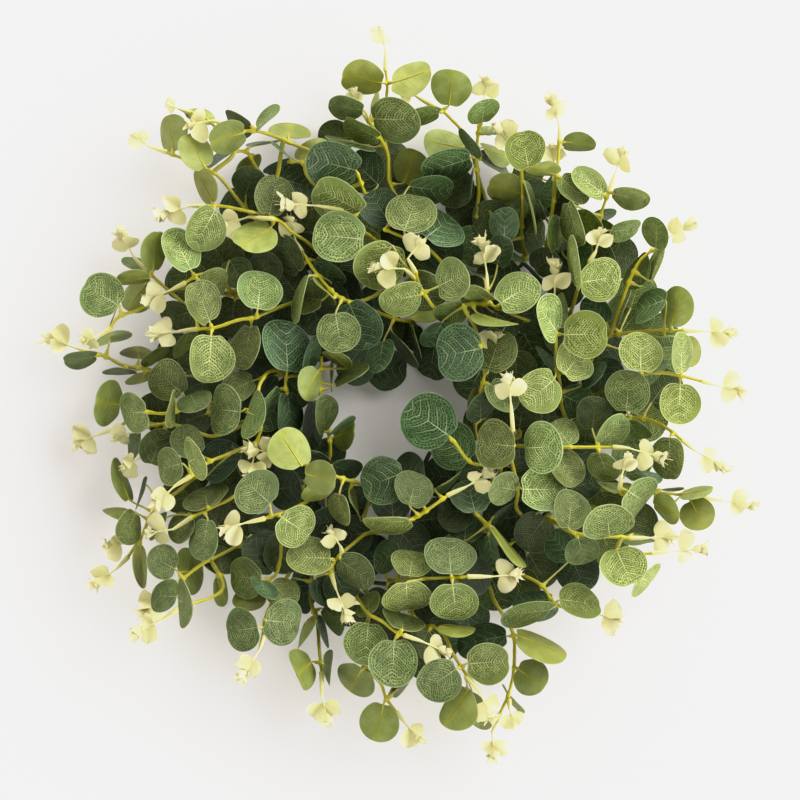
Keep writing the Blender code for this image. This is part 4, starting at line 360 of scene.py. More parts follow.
    ("sprig_49", [
        (6, [(153, 20), (151, 35), (148, 44), (143, 47)], None, None,
         [(140, 46, 120, 45, 25, "M4"), (140, 50, 126, 62, 16, "V3"), (148, 40, 132, 22, 20, "D2"),
          (139, 47, 141, 56, 4, "D3"), (146, 48, 159, 61, 17, "L4")]),
    ]),
    ("sprig_50", [
        (6, [(147, 58), (144, 64), (142, 70), (141.5, 79)], (139, 87), (125, 109),
         [(138, 74, 118, 78, 25, "L5"), (143, 70, 163, 73, 27, "L5")]),
    ]),
    ("sprig_51", [
        (7, [(55, 20), (45, 28), (38, 35), (35, 41), (36, 44)], (38, 51), (47, 74),
         [(35, 34, 10, 33, 20, "L4"), (41, 35, 60, 48, 20, "M4"), (26, 46, 38, 60, 16, "D2")]),
        (7, [(38, 35), (42, 31)], (41, 27), (33, 15), []),
    ]),
    ("sprig_52", [
        (7, [(70, 47), (80, 46), (95, 45.5), (105, 45), (116, 44.5)], (128, 44.5), (149, 43),
         [(105, 43, 104, 22, 30, "L5"), (106, 49, 109, 72, 29, "L5"), (81, 44, 84, 29, 24, "L4"),
          (79, 48, 80, 65, 29, "L5"), (75, 30, 60, 38, 16, "D2")]),
    ]),
    ("sprig_53", [
        (7, [(57, 66), (66, 71), (74, 77), (79, 79)], (88, 82), (106, 90),
         [(76, 75, 79, 60, 28, "L4"), (72, 82, 71, 107, 29, "L5")]),
    ]),
    ("sprig_54", [
        (7, [(58, 58), (57, 69), (56, 82), (55, 96), (60, 103), (65, 108), (67, 114), (74, 124)], (78, 129), (89, 143),
         [(57, 72, 55, 96, 27, "L4"), (54, 97, 46, 112, 25, "V4"), (57, 67, 57, 54, 18, "L3"),
          (66, 119, 61, 140, 23, "U4"), (68, 114, 76, 110, 13, "V3"), (74, 110, 85, 104, 8, "M2")]),
    ]),
    ("sprig_55", [
        (7, [(24, 60), (27, 69), (28, 80), (29, 91), (30, 101)], (30, 113), (34, 133),
         [(24, 94, 17, 99, 25, "V4"), (31, 95, 36, 101, 15, "M3"), (22, 70, 20, 83, 7, "V3"),
          (27, 70, 34, 85, 5, "D3"), (12, 45, 27, 64, 18, "D2"), (31, 63, 44, 76, 12, "M2")]),
    ]),
    ("sprig_56", [
        (7, [(88, 73), (96, 74), (101, 78), (105, 87), (110, 96), (115, 103)], (122, 112), (131, 131),
         [(115, 95, 139, 93, 26, "L5"), (108, 98, 88, 112, 26, "L5"), (99, 74, 119, 77, 7, "V4"),
          (92, 76, 85, 92, 15, "L3"), (115, 111, 102, 132, 21, "V4"), (117, 112, 124, 137, 13, "U4")]),
    ]),
    ("sprig_57", [
        (7, [(127, 50), (130, 58), (137, 68), (141, 77), (142, 90), (141, 103), (138, 114), (133, 125)], (129, 135), (130, 155),
         [(137, 79, 108, 84, 15, "D3"), (144, 79, 175, 91, 11, "U4"), (144, 98, 160, 108, 22, "U4"),
          (139, 113, 143, 122, 7, "U4")]),
        (7, [(139, 112), (139, 117)], (139, 121), (143, 134), []),
    ]),
    ("sprig_58", [
        (8, [(15, 10), (22, 14), (31, 19), (42, 20.5), (53, 21.5), (65, 22)], (74, 22), (93, 21),
         [(28, 16, 31, -6, 22, "L5"), (33, 22, 40, 38, 22, "M4"), (52, 21, 48, 1, 30, "L5"),
          (56, 29, 63, 46, 27, "L5"), (66, 20, 77, 30, 12, "M3")]),
        (8, [(56, 30), (66, 31), (78, 31)], (86, 30), (113, 28),
         [(70, 45, 79, 50, 26, "L4")]),
    ]),
    ("sprig_59", [
        (8, [(-8, 40), (5, 45), (13, 50), (17, 55), (20, 60), (30, 62), (38, 64)], (44, 66), (62, 71),
         [(23, 58, 48, 60, 16, "L4"), (44, 43, 35, 56, 22, "L4"), (44, 40, 27, 49, 9, "L3"),
          (17, 64, -13, 68, 12, "M4"), (20, 62, -3, 74, 15, "D3"), (17, 58, -5, 57, 9, "D3"),
          (37, 39, 9, 39, 20, "D3"), (30, 33, 17, 20, 18, "D3")]),
    ]),
)


# ---------------------------------------------------------------- small helpers
UP = Vector((0.0, 0.0, 1.0))


def clamp(value, low, high):
    return max(low, min(high, value))


def plan(pane, u, v):
    """Plan coordinates of a point in a pane's grid."""
    return (PANES[pane][0] + PANE * u, PANES[pane][1] + PANE * v)


def lift(p, z):
    """The point at height z that is seen at plan point p."""
    k = PX * (EYE_H - z) / (EYE_H - MID_Z)
    return Vector(((p[0] - PLAN_C) * k, (PLAN_C - p[1]) * k, z))


def drop(point):
    """The plan point at which a point in space is seen."""
    k = PX * (EYE_H - point.z) / (EYE_H - MID_Z)
    return (PLAN_C + point.x / k, PLAN_C - point.y / k)


def flat_distance(p, q):
    return math.hypot(p[0] - q[0], p[1] - q[1])


def square_to(direction, hint):
    """A unit vector square to the direction, as near as can be to the hint."""
    side = hint - direction * hint.dot(direction)
    if side.length < 1e-4:
        side = direction.orthogonal()
    return side.normalized()


def lengths(path):
    total = [0.0]
    for a, b in zip(path, path[1:]):
        total.append(total[-1] + (b - a).length)
    return total


def along(path, total, s):
    """Point and direction at length s of a path."""
    s = clamp(s, 0.0, total[-1])
    for k in range(len(path) - 1):
        if s <= total[k + 1] or k == len(path) - 2:
            span = total[k + 1] - total[k]
            f = (s - total[k]) / span if span > 1e-9 else 0.0
            return path[k].lerp(path[k + 1], f), (path[k + 1] - path[k]).normalized()


def nearest_on(path, total, point, low, high):
    """(distance, length along the path) of the path's nearest point between two lengths."""
    best = (1e9, low)
    for k in range(len(path) - 1):
        if total[k + 1] < low or total[k] > high:
            continue
        edge = path[k + 1] - path[k]
        span = edge.length
        if span < 1e-9:
            continue
        s = clamp(total[k] + (point - path[k]).dot(edge) / span, max(low, total[k]), min(high, total[k + 1]))
        found = path[k] + edge * ((s - total[k]) / span)
        best = min(best, ((found - point).length, s))
    return best


def between(p0, p1, q0, q1):
    """Closest points of two line pieces, as (s, t, point, point)."""
    d1, d2, r = p1 - p0, q1 - q0, p0 - q0
    a, e, f = d1.dot(d1), d2.dot(d2), d2.dot(r)
    c, b = d1.dot(r), d1.dot(d2)
    low = a * e - b * b
    s = clamp((b * f - c * e) / low, 0.0, 1.0) if low > 1e-9 else 0.5
    t = (b * s + f) / e if e > 1e-9 else 0.0
    if t < 0.0:
        t, s = 0.0, clamp(-c / a, 0.0, 1.0) if a > 1e-9 else 0.0
    elif t > 1.0:
        t, s = 1.0, clamp((b - c) / a, 0.0, 1.0) if a > 1e-9 else 0.0
    return s, t, p0 + d1 * s, q0 + d2 * t


def simplified(path, slack):
    """The path with fewer points, none of those left out further than slack from it."""
    if len(path) < 3:
        return list(path)
    a, b = path[0], path[-1]
    edge = b - a
    worst, at = 0.0, 0
    for k in range(1, len(path) - 1):
        f = clamp((path[k] - a).dot(edge) / max(edge.length_squared, 1e-9), 0.0, 1.0)
        off = (path[k] - (a + edge * f)).length
        if off > worst:
            worst, at = off, k
    if worst <= slack:
        return [a, b]
    return simplified(path[: at + 1], slack)[:-1] + simplified(path[at:], slack)


# ---------------------------------------------------------------- leaf shape
def outline(t):
    """Right half of the round leaf's edge, t from 0 at the peg to pi at the far end."""
    y = 0.5 * math.sin(t) ** 0.85 if 0.0 < t < math.pi else 0.0
    x = 0.5 - 0.5 * math.cos(t) - 0.10 * math.exp(-(((t - 0.35) / 0.3) ** 2)) * min(1.0, t / 0.2)
    return x, y


class Leaf:
    """A round leaf: where its blade starts, its frame (u along, v to the left, n out of the printed front)."""

    def __init__(self, sprig, base, far, width, code, rng):
        self.sprig = sprig
        self.kind, self.level = code[0], int(code[1])
        self.base, self.far = base, far
        seen_l = flat_distance(base, far) * PX
        seen_w = width * PANE * PX
        self.size = clamp(max(seen_l / LEAF_L, seen_w / LEAF_W), 0.80, 1.28)
        self.pitch = math.acos(clamp(seen_l / (self.size * LEAF_L), 0.15, 0.995))
        self.roll = math.acos(clamp(seen_w / (self.size * LEAF_W), 0.12, 0.995))
        under = self.kind in "UV"
        sign = 1.0 if under or (self.pitch < 0.3 and rng.random() < 0.5) else -1.0
        self.pitch *= sign
        self.roll *= rng.choice((-1.0, 1.0))
        self.pitch += rng.uniform(-0.10, 0.10)
        self.roll += rng.uniform(-0.10, 0.10)
        self.cup = rng.uniform(0.0, 0.085)
        self.fold = rng.uniform(0.0, 0.05)
        self.bend = rng.uniform(-0.12, 0.05)
        self.tone = rng.random()
        self.height = LEVEL_Z[self.level] - 0.5 * self.size * LEAF_L * math.sin(self.pitch)
        self.limb = None
        self.at = 0.0

    def pose(self, where, heading, pitch, roll, size):
        self.where, self.size = where, size
        flat = Vector((math.cos(heading), math.sin(heading), 0.0))
        self.u = flat * math.cos(pitch) + UP * math.sin(pitch)
        p = Vector((-flat.y, flat.x, 0.0))
        self.v = p * math.cos(roll) + self.u.cross(p) * math.sin(roll)
        self.n = self.u.cross(self.v)
        if self.kind in "UV":
            self.v, self.n = -self.v, -self.n

    def point(self, x, y, out=0.0):
        """Point of the blade at x (0 to 1 along) and y (-0.5 to 0.5 across), moved out of its front."""
        length, width = self.size * LEAF_L, self.size * LEAF_W
        h = self.cup * width * (2 * y) ** 2 + self.fold * abs(y) * width + self.bend * length * x * x
        return self.where + self.u * (x * length) + self.v * (y * width) + self.n * (h + out)

    def slab(self, skin):
        """The blade as a closed slab with a margin of skin round it, for testing."""
        rim = [(-0.02, 0.0)]
        for t in (0.12, 0.3, 0.5, 0.7, 0.88):
            x, y = outline(t * math.pi)
            rim.append((x, -y))
        rim.append((1.0, 0.0))
        rim += [(x, -y) for x, y in reversed(rim[1:6])]
        grow = 1.0 + 2.0 * skin / (self.size * LEAF_L)
        rim = [(0.5 + (x - 0.5) * grow, y * grow) for x, y in rim]
        half = 0.5 * LEAF_T + skin
        count = len(rim)
        points = [self.point(x, y, skin + 0.15) for x, y in rim] + [self.point(x, y, -skin - 0.15) for x, y in rim]
        points += [self.point(0.5, 0.0, half), self.point(0.5, 0.0, -half)]
        faces = []
        for k in range(count):
            m = (k + 1) % count
            faces += [(2 * count, k, m), (2 * count + 1, count + m, count + k), (k, count + k, count + m, m)]
        return points, faces


def tube(path, radii, sides=5):
    """A plain closed tube, for testing."""
    points, faces = [], []
    hint = Vector((0.3, 0.7, 0.2))
    for k, p in enumerate(path):
        a, b = path[max(k - 1, 0)], path[min(k + 1, len(path) - 1)]
        d = (b - a).normalized()
        s = square_to(d, hint)
        n = d.cross(s)
        hint = s
        for j in range(sides):
            w = 2 * math.pi * j / sides
            points.append(p + (s * math.cos(w) + n * math.sin(w)) * radii[k])
        if k:
            base = (k - 1) * sides
            for j in range(sides):
                m = (j + 1) % sides
                faces.append((base + j, base + m, base + sides + m, base + sides + j))
    faces.append(tuple(reversed(range(sides))))
    faces.append(tuple(range(len(points) - sides, len(points))))
    return points, faces


# ---------------------------------------------------------------- stems
class Limb:
    """One stem: knots (plan point, height, fixed) from the hook or the parent to the end of the tip."""

    def __init__(self, sprig, index, row, parent):
        pane, course, sleeve, tip, _ = row
        self.sprig, self.index, self.parent = sprig, index, parent
        self.course = [plan(pane, *p) for p in course]
        self.sleeve = plan(pane, *sleeve) if sleeve else None
        self.tip = plan(pane, *tip) if tip else None
        self.leaves, self.branches = [], []
        self.knots, self.join = [], 0.0

    def set_heights(self, fallback, rng):
        """Heights of the course points, from the heights that its leaves ask for."""
        asked = [(leaf.base, leaf.height) for leaf in self.leaves]
        mean = sum(h for _, h in asked) / len(asked) if asked else fallback
        self.heights = []
        for p in self.course:
            total, weight = 0.12 * mean, 0.12
            for q, h in asked:
                w = math.exp(-((flat_distance(p, q) * PX / 13.0) ** 2))
                total, weight = total + w * h, weight + w
            self.heights.append(clamp(total / weight, 13.0, 66.0))
        for _ in range(2):
            old = list(self.heights)
            for k in range(1, len(old) - 1):
                self.heights[k] = 0.25 * old[k - 1] + 0.5 * old[k] + 0.25 * old[k + 1]
        rise = rng.uniform(-3.0, 5.0)
        self.tip_rise = rise

    def positions(self):
        return [lift(p, z) for p, z, _ in self.knots]


def spread(a, b, za, zb, step):
    """Points between two plan points, at most step millimetres apart, without the first."""
    count = max(1, math.ceil(flat_distance(a, b) * PX / step))
    return [
        ((a[0] + (b[0] - a[0]) * k / count, a[1] + (b[1] - a[1]) * k / count), za + (zb - za) * k / count)
        for k in range(1, count + 1)
    ]


HOOK = ((-3.5, -1.2), (0.0, -4.6), (3.5, -1.4), (3.5, 4.6))


def hook_points(ring, angle, side):
    """Centre line of a hook round a ring wire, from its free end to the top of its shank."""
    out = Vector((math.cos(angle), math.sin(angle), 0.0))
    return [out * (ring + side * x) + UP * (WIRE_Z + z) for x, z in HOOK]


def choose_hooks(mains):
    """Gives each main stem its place on a ring wire."""
    places = []
    for ring in RING_R:
        count = int(2 * math.pi * ring / 6.5)
        for k in range(count):
            angle = 2 * math.pi * k / count
            off = min(
                abs((angle - math.pi * (2 * b + 1) / BARS + math.pi) % (2 * math.pi) - math.pi) for b in range(BARS)
            )
            if off * ring > BAR_W / 2 + 4.0:
                places.append((ring, angle))
    wishes = []
    for limb in mains:
        a = lift(limb.course[0], 20.0)
        b = lift(limb.course[1], 20.0)
        wishes.append((limb, a - (b - a).normalized() * 26.0, a))
    taken = []
    for limb, wish, start in sorted(wishes, key=lambda w: -abs(w[1].to_2d().length - 118.0)):
        best = None
        flat_start = Vector((start.x, start.y, 0.0))
        for ring, angle in places:
            p = Vector((math.cos(angle), math.sin(angle), 0.0)) * ring
            if any((p - q).length < 9.0 for q, _ in taken):
                continue
            near = (p - flat_start).length
            cost = (p - wish).to_2d().length + 2.5 * max(0.0, 14.0 - near) + 0.6 * max(0.0, near - 45.0)
            for q, far in taken:
                _, _, a, b = between(p, flat_start, q, far)
                cost += 6.0 * max(0.0, 6.5 - (a - b).length)
            if best is None or cost < best[0]:
                best = (cost, ring, angle, p)
        taken.append((best[3], flat_start))
        limb.hook = (best[1], best[2])
    # Two stems whose hidden runs would cross trade their places.
    for _ in range(4):
        for i in range(len(mains)):
            for j in range(i + 1, len(mains)):
                ends = [lift(mains[k].course[0], 20.0).to_2d() for k in (i, j)]
                spots = [Vector((math.cos(mains[k].hook[1]), math.sin(mains[k].hook[1]))) * mains[k].hook[0] for k in (i, j)]
                now = (spots[0] - ends[0]).length + (spots[1] - ends[1]).length
                other = (spots[1] - ends[0]).length + (spots[0] - ends[1]).length
                if other < now - 1.0:
                    mains[i].hook, mains[j].hook = mains[j].hook, mains[i].hook
    for limb in mains:
        start = lift(limb.course[0], 20.0).to_2d().length
        limb.hook = (*limb.hook, 1.0 if start > limb.hook[0] else -1.0)


def lay_knots(limb, rng):
    """Fills in the knots of a stem from its course."""
    heights = limb.heights
    first = limb.course[0]
    if limb.parent is None:
        heights[0] = max(13.0, heights[0] - 5.0)
        hook = hook_points(*limb.hook)
        limb.knots = [(drop(p), p.z, True) for p in hook]
        limb.hook_knots = len(hook)
        top = limb.knots[-1][0]
        span = flat_distance(top, first) * PX
        mid = ((top[0] + first[0]) / 2, (top[1] + first[1]) / 2)
        mid_z = max(15.0, 0.45 * (WIRE_Z + 5) + 0.55 * heights[0]) if span > 12 else max(14.0, heights[0] * 0.6)
        if span > 10:
            limb.knots += [(p, z, False) for p, z in spread(top, mid, 15.0, mid_z, 8.0)]
            limb.knots += [(p, z, False) for p, z in spread(mid, first, mid_z, heights[0], 8.0)]
        else:
            limb.knots += [(p, z, False) for p, z in spread(top, first, 15.0, heights[0], 8.0)]
    else:
        limb.hook_knots = 1
        base = limb.parent.knots[limb.parent_knot]
        limb.knots = [(base[0], base[1], False)]
        if flat_distance(base[0], first) * PX > 3.5:
            limb.knots += [(p, z, False) for p, z in spread(base[0], first, base[1], heights[0], 8.0)]
    for k in range(1, len(limb.course)):
        a, b = limb.course[k - 1], limb.course[k]
        limb.knots += [(p, z, False) for p, z in spread(a, b, heights[k - 1], heights[k], 8.0)]
    limb.stem_end = len(limb.knots) - 1
    if limb.tip:
        z = heights[-1] + 0.4 * limb.tip_rise
        limb.knots.append((limb.sleeve, max(5.0, z), False))
        limb.knots += [
            (p, q, False) for p, q in spread(limb.sleeve, limb.tip, max(5.0, z), max(5.0, z + limb.tip_rise), 9.0)
        ]


def radius_at(limb, k):
    """Room taken by a stem round knot k."""
    if limb.tip and k > limb.stem_end + 1:
        return 3.6 if k < len(limb.knots) - 1 else 2.2
    if limb.tip and k >= limb.stem_end:
        return SLEEVE_R + 0.4
    f = k / max(1, limb.stem_end)
    return 1.15 * (STEM_R0 + (STEM_R1 - STEM_R0) * f)


def relax(limbs):
    """Moves stems up and down until they pass over and under each other with room to spare."""
    cells = {}
    pieces = []
    for limb in limbs:
        at = limb.positions()
        for k in range(len(at) - 1):
            pieces.append((limb, k))
            a, b = at[k], at[k + 1]
            for i in range(int(min(a.x, b.x) - 5) // 10, int(max(a.x, b.x) + 5) // 10 + 1):
                for j in range(int(min(a.y, b.y) - 5) // 10, int(max(a.y, b.y) + 5) // 10 + 1):
                    cells.setdefault((i, j), []).append(len(pieces) - 1)
    near = set()
    for group in cells.values():
        for x in range(len(group)):
            for y in range(x + 1, len(group)):
                near.add((group[x], group[y]))
    tests = []
    for x, y in sorted(near):
        (la, i), (lb, j) = pieces[x], pieces[y]
        if la is lb:
            continue
        need = max(radius_at(la, i), radius_at(la, i + 1)) + max(radius_at(lb, j), radius_at(lb, j + 1)) + GAP
        if la.sprig == lb.sprig:
            # The first stretch of a branch is part of its parent.
            child, ck, other, ok = (la, i, lb, j) if la.index > lb.index else (lb, j, la, i)
            if child.parent is other and (ck < 1 or abs(ok - child.parent_knot) <= 1 and ck < 2):
                continue
            if child.parent is other and ck < 3:
                need *= 0.75
        tests.append((la, i, lb, j, need))
    for step in range(150):
        place = {id(limb): limb.positions() for limb in limbs}
        shift = {id(limb): [0.0] * len(limb.knots) for limb in limbs}
        count = {id(limb): [0] * len(limb.knots) for limb in limbs}
        worst = 0.0
        for la, i, lb, j, need in tests:
            pa, pb = place[id(la)], place[id(lb)]
            if min(pa[i].z, pa[i + 1].z) - max(pb[j].z, pb[j + 1].z) > need:
                continue
            if min(pb[j].z, pb[j + 1].z) - max(pa[i].z, pa[i + 1].z) > need:
                continue
            s, t, p, q = between(pa[i], pa[i + 1], pb[j], pb[j + 1])
            gap = (p - q).length
            if gap >= need:
                continue
            flat = math.hypot(p.x - q.x, p.y - q.y)
            push = math.sqrt(max(0.0, need * need - flat * flat)) - abs(p.z - q.z)
            worst = max(worst, need - gap)
            sign = 1.0 if (p.z - q.z, la.order) > (0.0, lb.order) else -1.0
            for limb, k, f, way in ((la, i, s, sign), (lb, j, t, -sign)):
                fixed = limb.knots[k][2] and limb.knots[k + 1][2]
                other = (lb, j) if limb is la else (la, i)
                stuck = other[0].knots[other[1]][2] and other[0].knots[other[1] + 1][2]
                share = 0.0 if fixed else (1.05 if stuck else 0.55)
                for m, w in ((k, 1 - f), (k + 1, f)):
                    if w > 0.05:
                        shift[id(limb)][m] += way * share * push
                        count[id(limb)][m] += 1
        for limb in limbs:
            for k, (p, z, fixed) in enumerate(limb.knots):
                if fixed:
                    continue
                if count[id(limb)][k]:
                    z += shift[id(limb)][k] / count[id(limb)][k]
                if step < 100 and 0 < k < len(limb.knots) - 1:
                    z += 0.10 * (0.5 * (limb.knots[k - 1][1] + limb.knots[k + 1][1]) - z)
                low = 11.2 if 85.0 < lift(p, z).to_2d().length < 152.0 else 4.5
                limb.knots[k] = (p, clamp(z, low, 74.0), False)
            if limb.parent:
                limb.knots[0] = limb.parent.knots[limb.parent_knot]
        if step > 100 and worst < 0.02:
            break
    return worst


# ---------------------------------------------------------------- laying the wreath out
class Sprig:
    def __init__(self, name):
        self.name, self.limbs = name, []


def lay_stems(rng):
    sprigs, limbs = [], []
    for name, rows in PLAN:
        sprig = Sprig(name)
        for index, row in enumerate(rows):
            limb = Limb(name, index, row, None)
            limb.order = len(limbs)
            for *ends, width, code in row[4]:
                base, far = plan(row[0], *ends[:2]), plan(row[0], *ends[2:])
                limb.leaves.append(Leaf(sprig, base, far, width, code, rng))
            if index:
                limb.parent = sprig.limbs[0]
            sprig.limbs.append(limb)
            limbs.append(limb)
        sprigs.append(sprig)
    for sprig in sprigs:
        main = sprig.limbs[0]
        main.set_heights(28.0, rng)
        for limb in sprig.limbs[1:]:
            k = min(range(len(main.course)), key=lambda i: flat_distance(main.course[i], limb.course[0]))
            limb.set_heights(main.heights[k] + 1.0, rng)
    choose_hooks([sprig.limbs[0] for sprig in sprigs])
    for sprig in sprigs:
        main = sprig.limbs[0]
        lay_knots(main, rng)
        for limb in sprig.limbs[1:]:
            inner = range(main.hook_knots, main.stem_end)
            limb.parent_knot = min(inner, key=lambda i: flat_distance(main.knots[i][0], limb.course[0]))
            if flat_distance(main.knots[limb.parent_knot][0], limb.course[0]) * PX < 3.5:
                limb.course, limb.heights = limb.course[1:], limb.heights[1:]
                limb.course.insert(0, main.knots[limb.parent_knot][0])
                limb.heights.insert(0, main.knots[limb.parent_knot][1])
            lay_knots(limb, rng)
    left = relax(limbs)
    for limb in limbs:
        at = limb.positions()
        limb.path = simplified(at[: limb.hook_knots], 0.01)[:-1] if limb.hook_knots > 1 else []
        limb.path += simplified(at[max(0, limb.hook_knots - 1) : limb.stem_end + 1], 1.1)
        limb.total = lengths(limb.path)
        limb.low = limb.total[limb.hook_knots - 1] + 3.5 if limb.hook_knots > 1 else 4.0
        limb.high = limb.total[-1] - 1.8
        limb.rest = at[limb.stem_end :]
        limb.side = Vector((0.0, 0.0, 0.0))
    return sprigs, limbs, left


def stem_radius(limb, s):
    f = clamp(s / max(limb.total[-1], 1e-6), 0.0, 1.0)
    if limb.parent is None and s < limb.low:
        return HOOK_R
    return STEM_R0 + (STEM_R1 - STEM_R0) * f


def frame_shapes():
    """Points and faces of the two ring wires and the bars."""
    wires, bars = [], []
    sides = 6
    for ring in RING_R:
        points, faces = [], []
        for k in range(RING_SEGMENTS):
            w = 2 * math.pi * k / RING_SEGMENTS
            out = Vector((math.cos(w), math.sin(w), 0.0))
            for j in range(sides):
                a = 2 * math.pi * (j + 0.5) / sides
                points.append(out * (ring + WIRE_R * math.cos(a)) + UP * (WIRE_Z + WIRE_R * math.sin(a)))
        for k in range(RING_SEGMENTS):
            m = (k + 1) % RING_SEGMENTS
            for j in range(sides):
                i = (j + 1) % sides
                faces.append((k * sides + j, m * sides + j, m * sides + i, k * sides + i))
        wires.append((points, faces))
    for b in range(BARS):
        w = math.pi * (2 * b + 1) / BARS
        out = Vector((math.cos(w), math.sin(w), 0.0))
        side = Vector((-out.y, out.x, 0.0)) * BAR_W / 2
        points = [
            out * r + side * y + UP * z for z in (0.0, WIRE_Z) for r, y in ((BAR_IN, -1), (BAR_OUT, -1), (BAR_OUT, 1), (BAR_IN, 1))
        ]
        faces = [(3, 2, 1, 0), (4, 5, 6, 7), (0, 1, 5, 4), (1, 2, 6, 5), (2, 3, 7, 6), (3, 0, 4, 7)]
        bars.append((points, faces))
    bars.append(tube([Vector(p[:3]) for p in TAIL], [p[3] for p in TAIL], 6))
    return wires, bars


class Heap:
    """Shapes that are already in place, with the owner of every face."""

    def __init__(self):
        self.points, self.faces, self.owners = [], [], []
        self.tree = None

    def add(self, shape, owner):
        points, faces = shape
        base = len(self.points)
        self.points += points
        for face in faces:
            self.faces.append(tuple(base + k for k in face))
            self.owners.append(owner)
        self.tree = None

    def hits(self, tree, but=None):
        if not self.faces:
            return False
        if self.tree is None:
            self.tree = BVHTree.FromPolygons(self.points, self.faces)
        for _, face in tree.overlap(self.tree):
            if but is None or self.owners[face] is not but:
                return True
        return False


def tip_shape(limb):
    """Frame and sizes of a pale tip: thin stem from the sleeve's end to the bud's point."""
    start, end = limb.rest[1], limb.rest[-1]
    d = (end - start).normalized()
    return start, end, d


def tip_blades(limb):
    """The pair of small leaves that stand off the tip, as flat diamonds for testing."""
    start, end, d = tip_shape(limb)
    size = (end - start).length
    shapes = []
    for way in (-1.0, 1.0):
        s = limb.side * way
        n = d.cross(s)
        root = start + d * (0.30 * size) + s * 0.8
        out = (s * 0.72 + d * 0.70).normalized()
        wide = out.cross(n).normalized()
        reach = min(10.5, 0.46 * size + 2.0)
        points = [root, root + out * reach * 0.5 + wide * 2.7, root + out * reach, root + out * reach * 0.5 - wide * 2.7]
        points += [root + out * reach * 0.5 + n * 0.8, root + out * reach * 0.5 - n * 0.8]
        faces = [(0, 1, 4), (1, 2, 4), (2, 3, 4), (3, 0, 4), (1, 0, 5), (2, 1, 5), (3, 2, 5), (0, 3, 5)]
        shapes.append((points, faces))
    return shapes


def lay_static(limbs, rng):
    """Stems, tips and ring frame as the shapes that leaves must clear."""
    heap = Heap()
    wires, bars = frame_shapes()
    for shape in wires + bars:
        heap.add(shape, "frame")
    for limb in limbs:
        radii = [stem_radius(limb, s) * 1.12 for s in limb.total]
        heap.add(tube(limb.path, radii), limb)
        if limb.tip:
            rest = [limb.rest[0], limb.rest[1], limb.rest[-1]]
            heap.add(tube(rest, [SLEEVE_R + 0.2, SLEEVE_R, 0.9]), limb)
    for limb in limbs:
        if not limb.tip:
            continue
        _, _, d = tip_shape(limb)
        flat = square_to(d, Vector((-d.y, d.x, 0.0)))
        up = d.cross(flat)
        for turn in (0.0, 0.4, -0.4, 0.8, -0.8, 1.2, -1.2, 1.57):
            spin = turn + (rng.uniform(-0.35, 0.35) if turn == 0.0 else 0.0)
            limb.side = flat * math.cos(spin) + up * math.sin(spin)
            clear = True
            for points, faces in tip_blades(limb):
                if heap.hits(BVHTree.FromPolygons(points, faces), limb) or min(p.z for p in points) < 1.5:
                    clear = False
            if clear:
                break
        limb.tip_clear = clear
        if clear:
            for shape in tip_blades(limb):
                heap.add(shape, limb)
    return heap


def petiole_of(leaf, limb, s):
    at, _ = along(limb.path, limb.total, s)
    way = leaf.where - at
    return at + way.normalized() * (stem_radius(limb, s) + 0.7)


def fits(leaf, limb, s, static, heap):
    points, faces = leaf.slab(GAP)
    if min(p.z for p in points) < 1.6:
        return False
    tree = BVHTree.FromPolygons(points, faces)
    if static.hits(tree) or heap.hits(tree):
        return False
    at, _ = along(limb.path, limb.total, s)
    reach = (leaf.where - at).length
    if reach < stem_radius(limb, s) + 1.7:
        return False
    start = petiole_of(leaf, limb, s)
    if (leaf.where - start).length < 0.3:
        return False
    points, faces = tube([start, leaf.where], [PETIOLE_R + 0.45, PETIOLE_R + 0.45], 4)
    tree = BVHTree.FromPolygons(points, faces)
    return not (static.hits(tree, limb) or heap.hits(tree))


def out_of_order(leaf, heap):
    """How many of a few points of the blade lie above a leaf that must cover this one."""
    if not heap.faces:
        return 0
    wrong = 0
    for x, y in ((0.5, 0.0), (0.15, 0.3), (0.15, -0.3), (0.8, 0.3), (0.8, -0.3), (0.95, 0.0)):
        p = leaf.point(x, y)
        _, _, face, _ = heap.tree.ray_cast(p, -UP)
        if face is not None and heap.owners[face].level > leaf.level:
            wrong += 1
    return wrong


